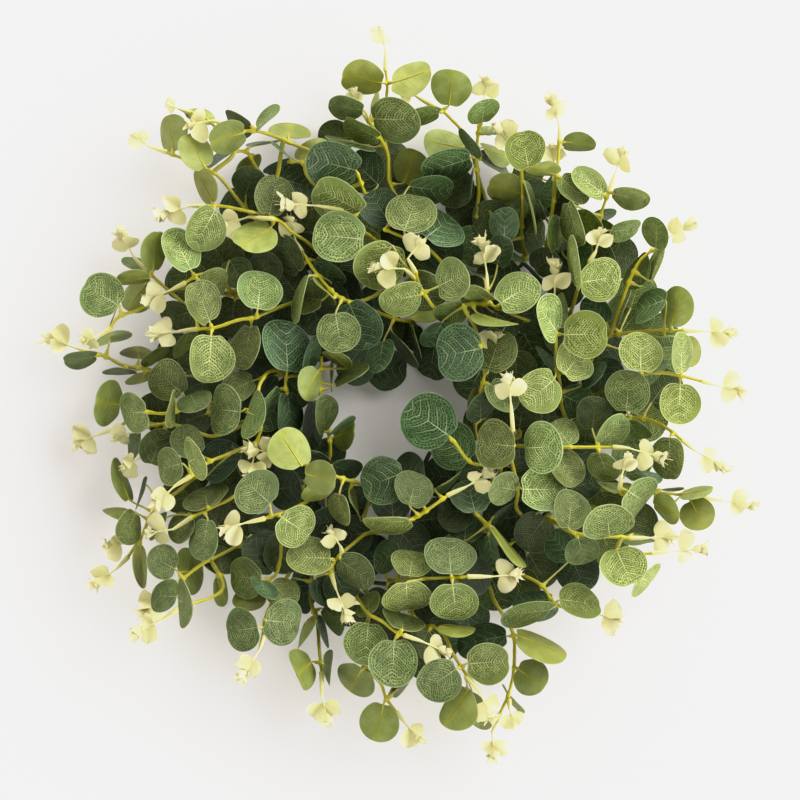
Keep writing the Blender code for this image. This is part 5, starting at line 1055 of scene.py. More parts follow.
def lay_leaf(leaf, limbs, static, heap, rng, tries, loose):
    """Looks for a pose near the wished one that touches nothing. True when it found one."""
    aim = math.atan2(-(leaf.far[1] - leaf.base[1]), leaf.far[0] - leaf.base[0])
    size0, pitch0, roll0 = leaf.size, leaf.pitch, leaf.roll
    best = None
    for k in range(tries):
        f = k / tries
        wild = loose * f
        pitch = pitch0 + rng.uniform(-0.75, 0.75) * wild
        roll = roll0 + rng.uniform(-0.75, 0.75) * wild
        heading = aim + rng.uniform(-0.35, 0.35) * wild
        size = size0 * (1.0 - 0.12 * f * rng.random())
        dz = rng.uniform(-7.0, 7.0) * wild
        if k % 4 == 1:
            pitch = -pitch
        if k % 4 == 2:
            roll = -roll
        base = (leaf.base[0] + rng.uniform(-3.0, 3.0) * wild, leaf.base[1] + rng.uniform(-3.0, 3.0) * wild)
        where = lift(base, leaf.height)
        found = None
        for limb in limbs:
            if limb.high <= limb.low:
                continue
            low = limb.low if limb.parent is None else min(4.0, limb.high)
            d, s = nearest_on(limb.path, limb.total, where, low, limb.high)
            at, _ = along(limb.path, limb.total, s)
            flat = math.hypot(at.x - where.x, at.y - where.y)
            if found is None or flat + 0.3 * abs(at.z - where.z) < found[0]:
                found = (flat + 0.3 * abs(at.z - where.z), limb, s, at)
        if found is None:
            return False
        _, limb, s, at = found
        flat = math.hypot(at.x - where.x, at.y - where.y)
        slack = 3.5 + 0.5 * flat
        z = at.z + clamp(leaf.height - at.z, -slack, slack) + dz
        where = lift(base, z)
        u = Vector((math.cos(heading) * math.cos(pitch), math.sin(heading) * math.cos(pitch), math.sin(pitch)))
        room = stem_radius(limb, s) + 2.0
        while (where - at).length < room:
            where = where + u * 0.4 + (where - at) * 0.08
        leaf.pose(where, heading, pitch, roll, size)
        if not fits(leaf, limb, s, static, heap):
            continue
        wrong = out_of_order(leaf, heap)
        cost = wrong * 1.0 + f
        if best is None or cost < best[0]:
            best = (cost, where, heading, pitch, roll, size, limb, s)
        if wrong == 0 or (k > tries * 0.7 and best[0] < 3.0):
            break
    leaf.size = size0
    if best is None:
        return False
    _, where, heading, pitch, roll, size, limb, s = best
    leaf.pose(where, heading, pitch, roll, size)
    leaf.limb, leaf.at = limb, s
    heap.add(leaf.slab(0.0), leaf)
    heap.tree = BVHTree.FromPolygons(heap.points, heap.faces)
    return True


# The foliage as the plan shows it, and the opening in it, as plan points.
FOLIAGE = (
    (300, 150), (350, 130), (400, 140), (440, 150), (470, 150), (520, 165), (560, 180), (590, 215), (620, 235),
    (640, 270), (660, 300), (668, 340), (672, 380), (665, 420), (655, 455), (650, 490), (640, 530), (620, 560),
    (590, 580), (560, 600), (520, 600), (480, 615), (470, 640), (440, 660), (400, 670), (360, 650), (330, 600),
    (300, 590), (270, 570), (240, 560), (200, 550), (175, 520), (165, 480), (160, 440), (150, 400), (160, 360),
    (170, 330), (175, 290), (180, 250), (200, 220), (230, 200), (250, 180), (275, 160),
)
OPENING = (
    (335, 400), (340, 385), (372, 383), (395, 378), (398, 355), (415, 370), (440, 375), (465, 390), (470, 420),
    (450, 455), (430, 470), (400, 468), (370, 460), (350, 470), (332, 455), (328, 430),
)
MOST_FILLERS = 155


def inside(p, polygon):
    odd = False
    for k in range(len(polygon)):
        (x0, y0), (x1, y1) = polygon[k - 1], polygon[k]
        if (y0 > p[1]) != (y1 > p[1]) and p[0] < (x1 - x0) * (p[1] - y0) / (y1 - y0) + x0:
            odd = not odd
    return odd


def is_open(p, static, heap):
    eye = Vector((0.0, 0.0, EYE_H))
    way = (lift(p, 0.0) - eye).normalized()
    if heap.tree.ray_cast(eye, way)[2] is not None:
        return False
    face = static.tree.ray_cast(eye, way)[2]
    return face is None or static.owners[face] == "frame"


def fill_gaps(limbs, static, heap, rng):
    """Dark leaves deep down, wherever the surface could be seen through the foliage."""
    cells = []
    for i in range(130, 690, 6):
        for j in range(110, 690, 6):
            if inside((i, j), FOLIAGE) and not inside((i, j), OPENING) and is_open((i, j), static, heap):
                cells.append((i, j))
    made = []
    for scale, spread_px, least, choices, tries in ((1.0, 19.0, 3, 5, 26), (0.84, 15.0, 2, 8, 40)):
        given_up = set()
        while len(made) < MOST_FILLERS:
            best = None
            for c in cells:
                if c in given_up:
                    continue
                near = [q for q in cells if flat_distance(c, q) < spread_px]
                if best is None or len(near) > best[0]:
                    best = (len(near), c, near)
            if best is None or best[0] < least:
                break
            _, c, near = best
            middle = (sum(q[0] for q in near) / len(near), sum(q[1] for q in near) / len(near))
            centre = lift(middle, 14.0)
            options = []
            for limb in limbs:
                if limb.high <= limb.low:
                    continue
                low = limb.low if limb.parent is None else min(4.0, limb.high)
                d, s = nearest_on(limb.path, limb.total, centre, low, limb.high)
                at, _ = along(limb.path, limb.total, s)
                options.append((d + 0.5 * abs(at.z - 14.0), limb.order, limb, at))
            options.sort()
            done = False
            for _, _, limb, at in options[:choices]:
                way = (centre - at).to_2d()
                way = way.normalized() if way.length > 1.0 else Vector((1.0, 0.0))
                half = Vector((way.x, way.y, 0.0)) * LEAF_L * 0.5 * scale
                base, far = drop(centre - half), drop(centre + half)
                leaf = Leaf(None, base, far, LEAF_W / PX / PANE * 0.98 * scale, "D" + str(rng.choice((0, 0, 1))), rng)
                leaf.height = rng.uniform(9.0, 17.0)
                if lay_leaf(leaf, [limb], static, heap, rng, tries, 0.9):
                    leaf.filler = True
                    made.append(leaf)
                    done = True
                    break
            if not done:
                given_up.add(c)
                continue
            cells = [q for q in cells if flat_distance(q, middle) > 45.0 or is_open(q, static, heap)]
    return made, cells


def lay_out(seed):
    """The whole wreath: sprigs with their limbs, leaves and tips, all in their final places."""
    rng = random.Random(seed)
    sprigs, limbs, left = lay_stems(rng)
    static = lay_static(limbs, rng)
    static.hits(BVHTree.FromPolygons([Vector((0, 0, 0)), Vector((1, 0, 0)), Vector((0, 1, 0))], [(0, 1, 2)]))
    heap = Heap()
    leaves = [(leaf, sprig) for sprig in sprigs for limb in sprig.limbs for leaf in limb.leaves]
    leaves.sort(key=lambda pair: -pair[0].level)
    placed, lost = [], []
    for leaf, sprig in leaves:
        leaf.filler = False
        if lay_leaf(leaf, sprig.limbs, static, heap, rng, 70, 1.0):
            placed.append(leaf)
        else:
            lost.append((leaf, sprig))
    for leaf, sprig in lost:
        leaf.size *= 0.9
        if lay_leaf(leaf, sprig.limbs, static, heap, rng, 70, 1.6):
            placed.append(leaf)
    made, cells = fill_gaps(limbs, static, heap, rng)
    for limb in limbs:
        limb.leaves = [leaf for leaf in placed + made if leaf.limb is limb]
    return sprigs, limbs, static, heap, (left, len(leaves), len(placed), len(made), len(cells))


# ---------------------------------------------------------------- solids
class Solid:
    """Points and triangles of one closed body, grown ring by ring."""

    def __init__(self):
        self.points, self.faces, self.owners = [], [], []
        self.owner = None

    def add(self, p):
        self.points.append(p)
        return len(self.points) - 1

    def face(self, *corners):
        self.faces.append(corners)
        self.owners.append(self.owner)

    def quad(self, a, b, c, d):
        p = self.points
        if (p[a] - p[c]).length <= (p[b] - p[d]).length:
            self.face(a, b, c)
            self.face(a, c, d)
        else:
            self.face(a, b, d)
            self.face(b, c, d)

    def ring(self, c, v, n, wide, thick):
        return [self.add(c + v * wide), self.add(c + n * thick), self.add(c - v * wide), self.add(c - n * thick)]

    def round_ring(self, c, d, s, r):
        return self.ring(c, s, d.cross(s), r, r)

    def bridge(self, a, b, ports=()):
        p = self.points
        turn = min(range(4), key=lambda m: sum((p[a[k]] - p[b[(k + m) % 4]]).length_squared for k in range(4)))
        b = [b[(k + turn) % 4] for k in range(4)]
        for k in range(4):
            if k not in ports:
                self.quad(a[k], a[(k + 1) % 4], b[(k + 1) % 4], b[k])
        return b

    def point_off(self, ring, apex):
        top = self.add(apex)
        for k in range(4):
            self.face(ring[k], ring[(k + 1) % 4], top)

    def middle(self, ring):
        return sum((self.points[k] for k in ring), Vector()) / len(ring)


NODE_HALF = 1.15  # half length of a knot on a stem
NODE_STEP = 3.7  # least distance between two knots


def grouped(limb):
    """Knots along a stem: (length along it, what grows from it)."""
    children = [(leaf.at, k, leaf) for k, leaf in enumerate(limb.leaves)]
    children += [(branch.join, 1000 + k, branch) for k, branch in enumerate(limb.branches)]
    children.sort(key=lambda c: c[:2])
    groups = []
    for at, _, child in children:
        if groups and at - groups[-1][0] < 4.2 and len(groups[-1][1]) < 4:
            groups[-1][1].append(child)
            groups[-1][2].append(at)
        else:
            groups.append([at, [child], [at]])
    low = limb.low if limb.parent is None else 3.4
    most = max(1, int((limb.high - low) / NODE_STEP) + 1)
    while len(groups) > most:
        gaps = [(groups[k + 1][0] - groups[k][0], k) for k in range(len(groups) - 1)]
        merged = False
        for _, k in sorted(gaps):
            if len(groups[k][1]) + len(groups[k + 1][1]) <= 4:
                groups[k][1] += groups[k + 1][1]
                groups[k][2] += groups[k + 1][2]
                del groups[k + 1]
                merged = True
                break
        if not merged:
            for child in groups.pop()[1]:
                child.lost = True
    centres = [clamp(sum(g[2]) / len(g[2]), low, max(low, limb.high)) for g in groups]
    for k in range(1, len(centres)):
        centres[k] = max(centres[k], centres[k - 1] + NODE_STEP)
    if centres and centres[-1] > limb.high:
        centres[-1] = max(low, limb.high)
        for k in range(len(centres) - 2, -1, -1):
            centres[k] = min(centres[k], centres[k + 1] - NODE_STEP)
    return [(c, g[1]) for c, g in zip(centres, groups)]


def orders(count, picked):
    """All ways to give each of some children its own one of four sides."""
    if picked == count:
        return [()]
    return [(k, *rest) for rest in orders(count, picked + 1) for k in range(4) if k not in rest]


def grow_leaf(solid, leaf, port, out):
    solid.owner = leaf
    start = solid.middle(port)
    ring = port
    way = leaf.where - start
    reach = way.length
    toward = way.normalized()
    hint = (solid.points[port[0]] - start).normalized()
    if (out.dot(toward) < 0.45 or reach > 14.0) and reach > 1.6:
        d = (out + toward * 0.8).normalized()
        s = square_to(d, hint)
        ring = solid.bridge(ring, solid.round_ring(start + out * min(1.1, 0.35 * reach) + toward * 0.3, d, s, PETIOLE_R))
    if leaf.u.dot(toward) < 0.45 and reach > 3.0:
        d = (leaf.u + toward).normalized()
        s = square_to(d, leaf.v)
        ring = solid.bridge(ring, solid.round_ring(leaf.where - leaf.u * 1.2 - toward * 0.4, d, s, PETIOLE_R))
    neck = solid.bridge(ring, solid.ring(leaf.where, leaf.v, leaf.n, 0.95, 0.55))
    left, front, right, back = neck
    # The neck may have been turned to suit the peg, so its corners are told apart by place.
    corner = sorted(neck, key=lambda k: -(solid.points[k] - leaf.where).dot(leaf.v))
    left, right = corner[0], corner[3]
    front, back = sorted(corner[1:3], key=lambda k: -(solid.points[k] - leaf.where).dot(leaf.n))
    edge = [solid.add(leaf.point(x, y)) for x, y in ((0.16, -0.41), (0.82, -0.40), (1.0, 0.0), (0.82, 0.40), (0.16, 0.41))]
    top = solid.add(leaf.point(0.5, 0.0, LEAF_T / 2))
    under = solid.add(leaf.point(0.5, 0.0, -LEAF_T / 2))
    loop = [front, right, *edge, left]
    for k in range(len(loop)):
        solid.face(top, loop[k], loop[(k + 1) % len(loop)])
    loop[0] = back
    for k in range(len(loop)):
        solid.face(under, loop[(k + 1) % len(loop)], loop[k])


def grow_tip(solid, limb, ring, s):
    solid.owner = limb
    start, end, d = tip_shape(limb)
    first = (start - limb.rest[0]).normalized()
    size = (end - start).length
    ring = solid.bridge(ring, solid.round_ring(limb.rest[0] + first * 0.6, first, square_to(first, s), SLEEVE_R))
    both = (first + d).normalized()
    ring = solid.bridge(ring, solid.round_ring(start, both, square_to(both, s), SLEEVE_R * 0.85))
    n = d.cross(limb.side)
    skew = (limb.side + n).normalized()
    if limb.tip_clear:
        a = solid.bridge(ring, solid.round_ring(start + d * (0.30 * size - 1.0), d, skew, 0.85))
        b = solid.round_ring(start + d * (0.30 * size + 1.0), d, skew, 0.80)
        sides = {}
        middle = start + d * (0.30 * size)
        turn = [b[(k + m) % 4] for m in [min(range(4), key=lambda m: (solid.points[a[0]] - solid.points[b[m]]).length)] for k in range(4)]
        for way in (-1.0, 1.0):
            k = max(
                range(4),
                key=lambda k: ((solid.points[a[k]] + solid.points[a[(k + 1) % 4]]) / 2 - middle).dot(limb.side * way),
            )
            sides[k] = way
        solid.bridge(a, turn, tuple(sides))
        for k, way in sides.items():
            port = [a[k], a[(k + 1) % 4], turn[(k + 1) % 4], turn[k]]
            out = (limb.side * way * 0.72 + d * 0.70).normalized()
            flat = d.cross(limb.side * way)
            root = start + d * (0.30 * size) + limb.side * way * 0.8
            reach = min(10.5, 0.46 * size + 2.0)
            wide = solid.ring(root + out * reach * 0.5, flat.cross(out), flat, 2.5, 0.4)
            solid.point_off(solid.bridge(port, wide), root + out * reach * 0.97)
        ring = turn
        s = skew
    ring = solid.bridge(ring, solid.round_ring(start + d * (0.80 * size), d, square_to(d, s), 1.45))
    solid.point_off(ring, end)


def grow_limb(solid, limb, port=None, out=None):
    groups = grouped(limb)
    marks = [(s, None) for s in limb.total if all(abs(s - c) > (1.75 if s < limb.low else 2.6) for c, _ in groups)]
    if not marks or marks[-1][0] < limb.total[-1]:
        marks.append((limb.total[-1], None))
    marks += groups
    marks.sort(key=lambda m: m[0])
    solid.owner = limb
    if port is None:
        p = limb.path[0]
        d = (limb.path[1] - p).normalized()
        s = square_to(d, Vector((0.3, 0.7, 0.2)))
        ring = solid.round_ring(p, d, s, HOOK_R)
        solid.face(ring[3], ring[2], ring[1])
        solid.face(ring[3], ring[1], ring[0])
        marks = marks[1:]
    else:
        ring = port
        start = solid.middle(port)
        s = (solid.points[port[0]] - start).normalized()
        marks = [m for m in marks if m[0] > 2.6]
        p, d = along(limb.path, limb.total, 2.6)
        if marks and marks[0][0] > 4.6:
            d = (out + (p - start).normalized()).normalized()
            s = square_to(d, s)
            q = start + out * 0.9 + (p - start).normalized() * 0.5
            ring = solid.bridge(ring, solid.round_ring(q, d, s, stem_radius(limb, 0)))
    for at, children in marks:
        solid.owner = limb
        p, d = along(limb.path, limb.total, at)
        r = stem_radius(limb, at)
        if not children:
            _, before = along(limb.path, limb.total, at - 0.8)
            _, after = along(limb.path, limb.total, at + 0.8)
            d = (before + after).normalized() if (before + after).length > 0.2 else after
            s = square_to(d, s)
            ring = solid.bridge(ring, solid.round_ring(p, d, s, r))
            continue
        s = square_to(d, s)
        n = d.cross(s)
        wishes = []
        for child in children:
            goal = child.where if isinstance(child, Leaf) else along(child.path, child.total, 5.0)[0]
            way = goal - p
            way -= d * way.dot(d)
            wishes.append(way.normalized() if way.length > 1e-3 else s)
        best = None
        for step in range(8):
            turn = step * math.pi / 16
            for order in orders(len(children), 0):
                fit = 0.0
                for side, wish in zip(order, wishes):
                    w = turn + math.pi / 4 + side * math.pi / 2
                    fit += (s * math.cos(w) + n * math.sin(w)).dot(wish)
                if best is None or fit > best[0] + 1e-6:
                    best = (fit, turn)
        s = s * math.cos(best[1]) + n * math.sin(best[1])
        a = solid.bridge(ring, solid.round_ring(p - d * NODE_HALF, d, s, r * 1.22))
        b = solid.round_ring(p + d * NODE_HALF, d, s, r * 1.18)
        shift = min(range(4), key=lambda m: (solid.points[a[0]] - solid.points[b[m]]).length)
        b = [b[(k + shift) % 4] for k in range(4)]
        outs = []
        for k in range(4):
            out_k = (solid.points[a[k]] + solid.points[a[(k + 1) % 4]]) / 2 - p
            outs.append((out_k - d * out_k.dot(d)).normalized())
        order = max(orders(len(children), 0), key=lambda o: sum(outs[k].dot(w) for k, w in zip(o, wishes)))
        solid.bridge(a, b, order)
        for side, child in zip(order, children):
            opening = [a[side], a[(side + 1) % 4], b[(side + 1) % 4], b[side]]
            if isinstance(child, Leaf):
                grow_leaf(solid, child, opening, outs[side])
            else:
                grow_limb(solid, child, opening, outs[side])
        ring = b
    solid.owner = limb
    if limb.tip:
        grow_tip(solid, limb, ring, s)
    else:
        solid.face(ring[0], ring[1], ring[2])
        solid.face(ring[0], ring[2], ring[3])


def grow(sprig):
    """The whole sprig as one closed body."""
    solid = Solid()
    main = sprig.limbs[0]
    main.branches = sprig.limbs[1:]
    for branch in main.branches:
        at = branch.path[0]
        branch.join = clamp(nearest_on(main.path, main.total, at, main.low, main.high)[1], main.low, main.high)
    grow_limb(solid, main)
    return solid


def grow_all(sprigs):
    """Every sprig's body. A leaf that ends up against a neighbour is left off."""
    wires, bars = frame_shapes()
    heap = Heap()
    for shape in wires + bars:
        heap.add(shape, "frame")
    frame = BVHTree.FromPolygons(heap.points, heap.faces)
    solids = [grow(sprig) for sprig in sprigs]
    for _ in range(6):
        trees = [BVHTree.FromPolygons(solid.points, solid.faces) for solid in solids]
        off = {}
        for i, solid in enumerate(solids):
            for a, _ in trees[i].overlap(frame):
                if isinstance(solid.owners[a], Leaf):
                    off[id(solid.owners[a])] = (i, solid.owners[a])
            for j in range(i + 1, len(solids)):
                for a, b in trees[i].overlap(trees[j]):
                    pair = [(i, solid.owners[a]), (j, solids[j].owners[b])]
                    leaves = [x for x in pair if isinstance(x[1], Leaf)]
                    if leaves and not any(id(x[1]) in off for x in leaves):
                        worst = min(leaves, key=lambda x: (not x[1].filler, x[1].level))
                        off[id(worst[1])] = worst
        if not off:
            break
        for i in sorted({i for i, _ in off.values()}):
            for limb in sprigs[i].limbs:
                limb.leaves = [leaf for leaf in limb.leaves if id(leaf) not in off]
            solids[i] = grow(sprigs[i])
    return solids


# ---------------------------------------------------------------- collecting meshes
class Shape:
    """Points, faces and point colours of one piece."""

    def __init__(self):
        self.points, self.faces, self.marks = [], [], []

    def add(self, p, mark):
        self.points.append((p[0], p[1], p[2]))
        self.marks.append(mark)
        return len(self.points) - 1

    def ring(self, centre, a, b, wide, thick, sides, mark):
        return [
            self.add(centre + a * (wide * math.cos(w)) + b * (thick * math.sin(w)), mark)
            for w in (2 * math.pi * k / sides for k in range(sides))
        ]

    def bridge(self, one, two):
        n = len(one)
        for k in range(n):
            self.faces.append((one[k], one[(k + 1) % n], two[(k + 1) % n], two[k]))

    def cap(self, ring, apex, mark, turned=False):
        top = self.add(apex, mark)
        n = len(ring)
        for k in range(n):
            face = (ring[k], ring[(k + 1) % n], top)
            self.faces.append(face[::-1] if turned else face)

    def tube(self, points, radii, sides, marks, close=(True, True), flat=None, hint=None):
        """A tube through the points. flat: per point (axis, widening along it)."""
        before = None
        side = hint or Vector((0.31, 0.67, 0.23))
        first = last = None
        for k, p in enumerate(points):
            a, b = points[max(k - 1, 0)], points[min(k + 1, len(points) - 1)]
            d = b - a
            d = d.normalized() if d.length > 1e-6 else Vector((0.0, 0.0, 1.0))
            side = square_to(d, side)
            other = d.cross(side)
            ring = []
            for j in range(sides):
                w = 2 * math.pi * j / sides
                way = side * math.cos(w) + other * math.sin(w)
                r = radii[k]
                if flat and flat[k]:
                    axis, more, thin = flat[k]
                    r *= 1.0 + thin + more * way.dot(axis) ** 2
                ring.append(self.add(p + way * r, marks[k]))
            if before:
                self.bridge(before, ring)
            else:
                first = ring
            before = last = ring
        if close[0]:
            d = (points[0] - points[1]).normalized()
            self.cap(first, points[0] + d * radii[0] * 0.35, marks[0], True)
        if close[1]:
            d = (points[-1] - points[-2]).normalized()
            self.cap(last, points[-1] + d * radii[-1] * 0.35, marks[-1])


def smooth(points, step):
    """A smooth curve through the points: [(point, length along the straight runs)]."""
    spans = [max((b - a).length, 1e-6) for a, b in zip(points, points[1:])]
    ways = []
    for k in range(len(points)):
        if k == 0:
            ways.append((points[1] - points[0]) / spans[0])
        elif k == len(points) - 1:
            ways.append((points[-1] - points[-2]) / spans[-1])
        else:
            one, two = spans[k - 1], spans[k]
            ways.append(((points[k + 1] - points[k]) * (one / two) + (points[k] - points[k - 1]) * (two / one)) / (one + two))
    curve, gone = [(points[0].copy(), 0.0)], 0.0
    for k, span in enumerate(spans):
        count = max(1, round(span / step))
        for m in range(1, count + 1):
            t = m / count
            a, b = points[k], points[k + 1]
            h = (2 * t**3 - 3 * t**2 + 1, (t**3 - 2 * t**2 + t) * span, -2 * t**3 + 3 * t**2, (t**3 - t**2) * span)
            curve.append((a * h[0] + ways[k] * h[1] + b * h[2] + ways[k + 1] * h[3], gone + span * t))
        gone += span
    return curve


def make_piece(name, points, faces, materials, numbers, colours, shift, sharp=40.0):
    """A mesh piece in metres. colours: {attribute: rows of four numbers, one per point}."""
    mesh = bpy.data.meshes.new(name)
    places = (np.asarray(points, np.float64) + np.array(shift)) * 0.001
    mesh.from_pydata(places.tolist(), [], faces)
    for material in materials:
        mesh.materials.append(material)
    if numbers is not None:
        mesh.polygons.foreach_set("material_index", np.asarray(numbers, np.int32))
    for key, rows in colours.items():
        layer = mesh.attributes.new(key, "FLOAT_COLOR", "POINT")
        layer.data.foreach_set("color", np.asarray(rows, np.float32).ravel())
    mesh.shade_smooth()
    mesh.set_sharp_from_angle(angle=math.radians(sharp))
    mesh.update()
    piece = bpy.data.objects.new(name, mesh)
    bpy.context.scene.collection.objects.link(piece)
    return piece


# ---------------------------------------------------------------- leaf blades
NT = 20  # rows of the blade from the peg to the far end
COLUMNS = (0.0, 0.24, 0.48, 0.70, 0.87, 1.0)  # from the midrib to the edge
NQ = len(COLUMNS) - 1
BLADE_T = 0.55  # thickness at the middle
RIM_T = 0.34  # thickness at the edge


def fine_outline(t):
    """Right half of the smooth edge, with a shallow notch where the peg joins it."""
    x = 0.485 - 0.515 * math.cos(t) + 0.03 * math.exp(-((t / 0.24) ** 2))
    return x, 0.5 * math.sin(t) ** 0.92


def blade_template():
    """Plan of the round blade: points (x, y, q), faces, and the loop of edge points."""
    points, rows = [(0.0, 0.0, 1.0)], []
    for k in range(1, NT):
        ex, ey = fine_outline(math.pi * k / NT)
        mx = 0.02 + 0.93 * k / NT
        row = {0: len(points)}
        points.append((mx, 0.0, 0.0))
        for side in (1, -1):
            for j in range(1, NQ + 1):
                q = COLUMNS[j]
                row[side * j] = len(points)
                points.append((mx + (ex - mx) * q, -side * ey * q, q))
        rows.append(row)
    end = {}
    for j in range(NQ + 1):
        end[j] = end[-j] = len(points)
        points.append((0.95 + 0.05 * COLUMNS[j], 0.0, COLUMNS[j]))
    rows.append(end)
    faces = []
    for side in (1, -1):
        for j in range(NQ):
            a, b = rows[0][side * j], rows[0][side * (j + 1)]
            faces.append((0, b, a) if side == 1 else (0, a, b))
        for one, two in zip(rows, rows[1:]):
            for j in range(NQ):
                quad = (one[side * j], one[side * (j + 1)], two[side * (j + 1)], two[side * j])
                faces.append(quad if side == 1 else quad[::-1])
    loop = [0] + [row[NQ] for row in rows] + [row[-NQ] for row in reversed(rows[:-1])]
    return np.array(points), faces, loop


PLAN_POINTS, PLAN_FACES, PLAN_LOOP = blade_template()


def rim_distances():
    edge = PLAN_POINTS[PLAN_LOOP][:, :2] * (LEAF_L, LEAF_W)
    after = np.roll(edge, -1, axis=0)
    far = []
    for x, y, _ in PLAN_POINTS:
        p = np.array((x * LEAF_L, y * LEAF_W))
        way = after - edge
        t = np.clip(((p - edge) * way).sum(1) / np.maximum((way**2).sum(1), 1e-9), 0, 1)
        far.append(np.sqrt((((edge + way * t[:, None]) - p) ** 2).sum(1)).min())
    return np.array(far)


RIM_FAR = rim_distances()


def wave_of_leaf(rng):
    """Sizes and places of the waves in a leaf's edge, and how far the whole edge droops."""
    return rng.uniform(0.25, 0.85), rng.uniform(0, 6.28), rng.uniform(0.0, 0.45), rng.uniform(0, 6.28), rng.uniform(-0.5, 0.25)


def wave_at(leaf, x, y):
    """How far the waves raise the blade at one place."""
    q = min(1.0, abs(y) / (0.5 * math.sqrt(max(0.05, 1 - ((x - 0.485) / 0.515) ** 2))))
    turn = math.atan2(y, x - 0.48)
    a2, p2, a3, p3, droop = leaf.waves
    wave = a2 * math.sin(2 * turn + p2) + a3 * math.sin(3 * turn + p3) + droop
    return wave * q**3 * min(1.0, math.hypot(x, y) / 0.32)


def blade_points(leaf, rng):
    """Front and back points of one leaf."""
    x, y, q = PLAN_POINTS.T
    x, y = x.copy(), y.copy()
    turn = plain_turn = np.arctan2(y, x - 0.48)
    free = np.clip(np.hypot(x, y) / 0.32, 0, 1)
    a2, a3, a5 = rng.uniform(0.0, 0.040), rng.uniform(0.0, 0.034), rng.uniform(0.0, 0.009)
    p2, p3, p5 = (rng.uniform(0, 6.28) for _ in range(3))
    grow = (a2 * np.cos(2 * turn + p2) + a3 * np.cos(3 * turn + p3) + a5 * np.cos(5 * turn + p5)) * free
    x = 0.48 + (x - 0.48) * (1 + grow)
    y = y * (1 + grow)
    # Lobes beside the peg, of a different depth on the two sides.
    for way in (-1.0, 1.0):
        lobe = rng.uniform(0.0, 0.075)
        x -= lobe * np.exp(-(((way * y - 0.24) / 0.13) ** 2)) * np.clip(1 - x / 0.34, 0, 1) ** 1.5
    notch = rng.choice((0.0, 0.0, 0.012, 0.035))
    x -= notch * np.exp(-((y / 0.11) ** 2)) * np.clip((x - 0.6) / 0.4, 0, 1) ** 2
    length, width = leaf.size * LEAF_L, leaf.size * LEAF_W
    out = q**3
    a2, p2, a3, p3, droop = leaf.waves
    wave = a2 * np.sin(2 * plain_turn + p2) + a3 * np.sin(3 * plain_turn + p3) + droop
    h = leaf.cup * width * (2 * y) ** 2 + leaf.fold * np.abs(y) * width + leaf.bend * length * x * x + wave * out * free
    u, v, n, where = (np.array(w) for w in (leaf.u, leaf.v, leaf.n, leaf.where))
    middle = where + u * (x * length)[:, None] + v * (y * width)[:, None] + n * h[:, None]
    half = 0.5 * (BLADE_T + (RIM_T - BLADE_T) * q**2)
    return middle + n * half[:, None], middle - n * half[:, None]


# V's lower value is painted shade: those undersides get a darker colour than U.
LIGHTNESS = {"L": 1.0, "M": 0.5, "D": 0.0, "U": 0.85, "V": 0.6}


def leaf_piece(name, leaves, materials, shift, rng):
    """All blades of one sprig as one piece, each with a front, a back and an edge."""
    m = len(PLAN_POINTS)
    edge = len(PLAN_LOOP)
    points, faces, numbers, marks, seeds, plan_uv, bake_uv = [], [], [], [], [], [], []
    across = math.ceil(math.sqrt(2 * len(leaves)))
    cell = 1.0 / across
    flat = PLAN_POINTS[:, :2]
    # A blade in its cell of the sheet, with room for its edge strip.
    in_cell = np.stack([(flat[:, 0] + 0.10) / 1.18, (flat[:, 1] + 0.5) / 1.0], axis=1) * 0.88 + 0.06
    outward = flat[PLAN_LOOP] - (0.48, 0.0)
    outward = outward / np.maximum(np.hypot(*outward.T), 1e-6)[:, None] * 0.022
    for number, leaf in enumerate(leaves):
        base = len(points) * 0 + number * 2 * m
        front, back = blade_points(leaf, rng)
        points += [front, back]
        light = LIGHTNESS[leaf.kind]
        if leaf.filler:
            near_middle = math.hypot(leaf.where.x, leaf.where.y) < 140.0
            light = rng.choice((0.0, 0.0, 0.1, 0.3) if near_middle else (0.05, 0.3, 0.5, 0.7))
        mark = np.empty((m, 4))
        # Painted light: the tone is raised towards the upper right, where the key light stands, and lowered on the deep
        # filler leaves as painted shade; the rest of it is each leaf's own random tone.
        middle = leaf.where + leaf.u * 15.0
        key_side_painted_light = (middle.x * 0.8 + middle.y * 0.5) / 260.0
        tone = leaf.tone - 0.02 + 0.62 * key_side_painted_light - (0.35 if leaf.filler else 0.0)
        mark[:] = (light, clamp(tone, 0.0, 1.0), 0.0, leaf.level / 5.0)
        mark[:, 2] = np.minimum(RIM_FAR / 10.0, 1.0)
        marks += [mark, mark]
        seeds.append(np.tile((rng.random(), rng.random(), rng.random(), rng.random()), (2 * m, 1)))
        spots = []
        for side in (0, 1):
            place = 2 * number + side
            corner = np.array((place % across, place // across)) * cell
            spot = in_cell.copy()
            if side:
                spot[:, 1] = 1.0 - spot[:, 1]
            spots.append(corner + spot * cell)
        for side in (0, 1):
            for face in PLAN_FACES:
                turned = face if side == 0 else face[::-1]
                faces.append(tuple(base + side * m + k for k in turned))
                numbers.append(side)
                plan_uv += [tuple(flat[k]) for k in turned]
                bake_uv += [tuple(spots[side][k]) for k in turned]
        corner = np.array(((2 * number) % across, (2 * number) // across)) * cell
        beyond = corner + (in_cell[PLAN_LOOP] + outward) * cell
        for k in range(edge):
            i = (k + 1) % edge
            a, b = PLAN_LOOP[k], PLAN_LOOP[i]
            faces.append((base + b, base + a, base + m + a, base + m + b))
            numbers.append(2)
            plan_uv += [tuple(flat[b]), tuple(flat[a]), tuple(flat[a]), tuple(flat[b])]
            bake_uv += [tuple(spots[0][b]), tuple(spots[0][a]), tuple(beyond[k]), tuple(beyond[i])]
    colours = {"look": np.concatenate(marks), "seed": np.concatenate(seeds)}
    piece = make_piece(name, np.concatenate(points), faces, materials, numbers, colours, shift)
    for key, rows in (("leaf", plan_uv), ("OFBake", bake_uv)):
        layer = piece.data.uv_layers.new(name=key, do_init=False)
        layer.data.foreach_set("uv", np.asarray(rows, np.float32).ravel())
    return piece


# ---------------------------------------------------------------- stems, pegs and ribs
STEM_SIDES = 8


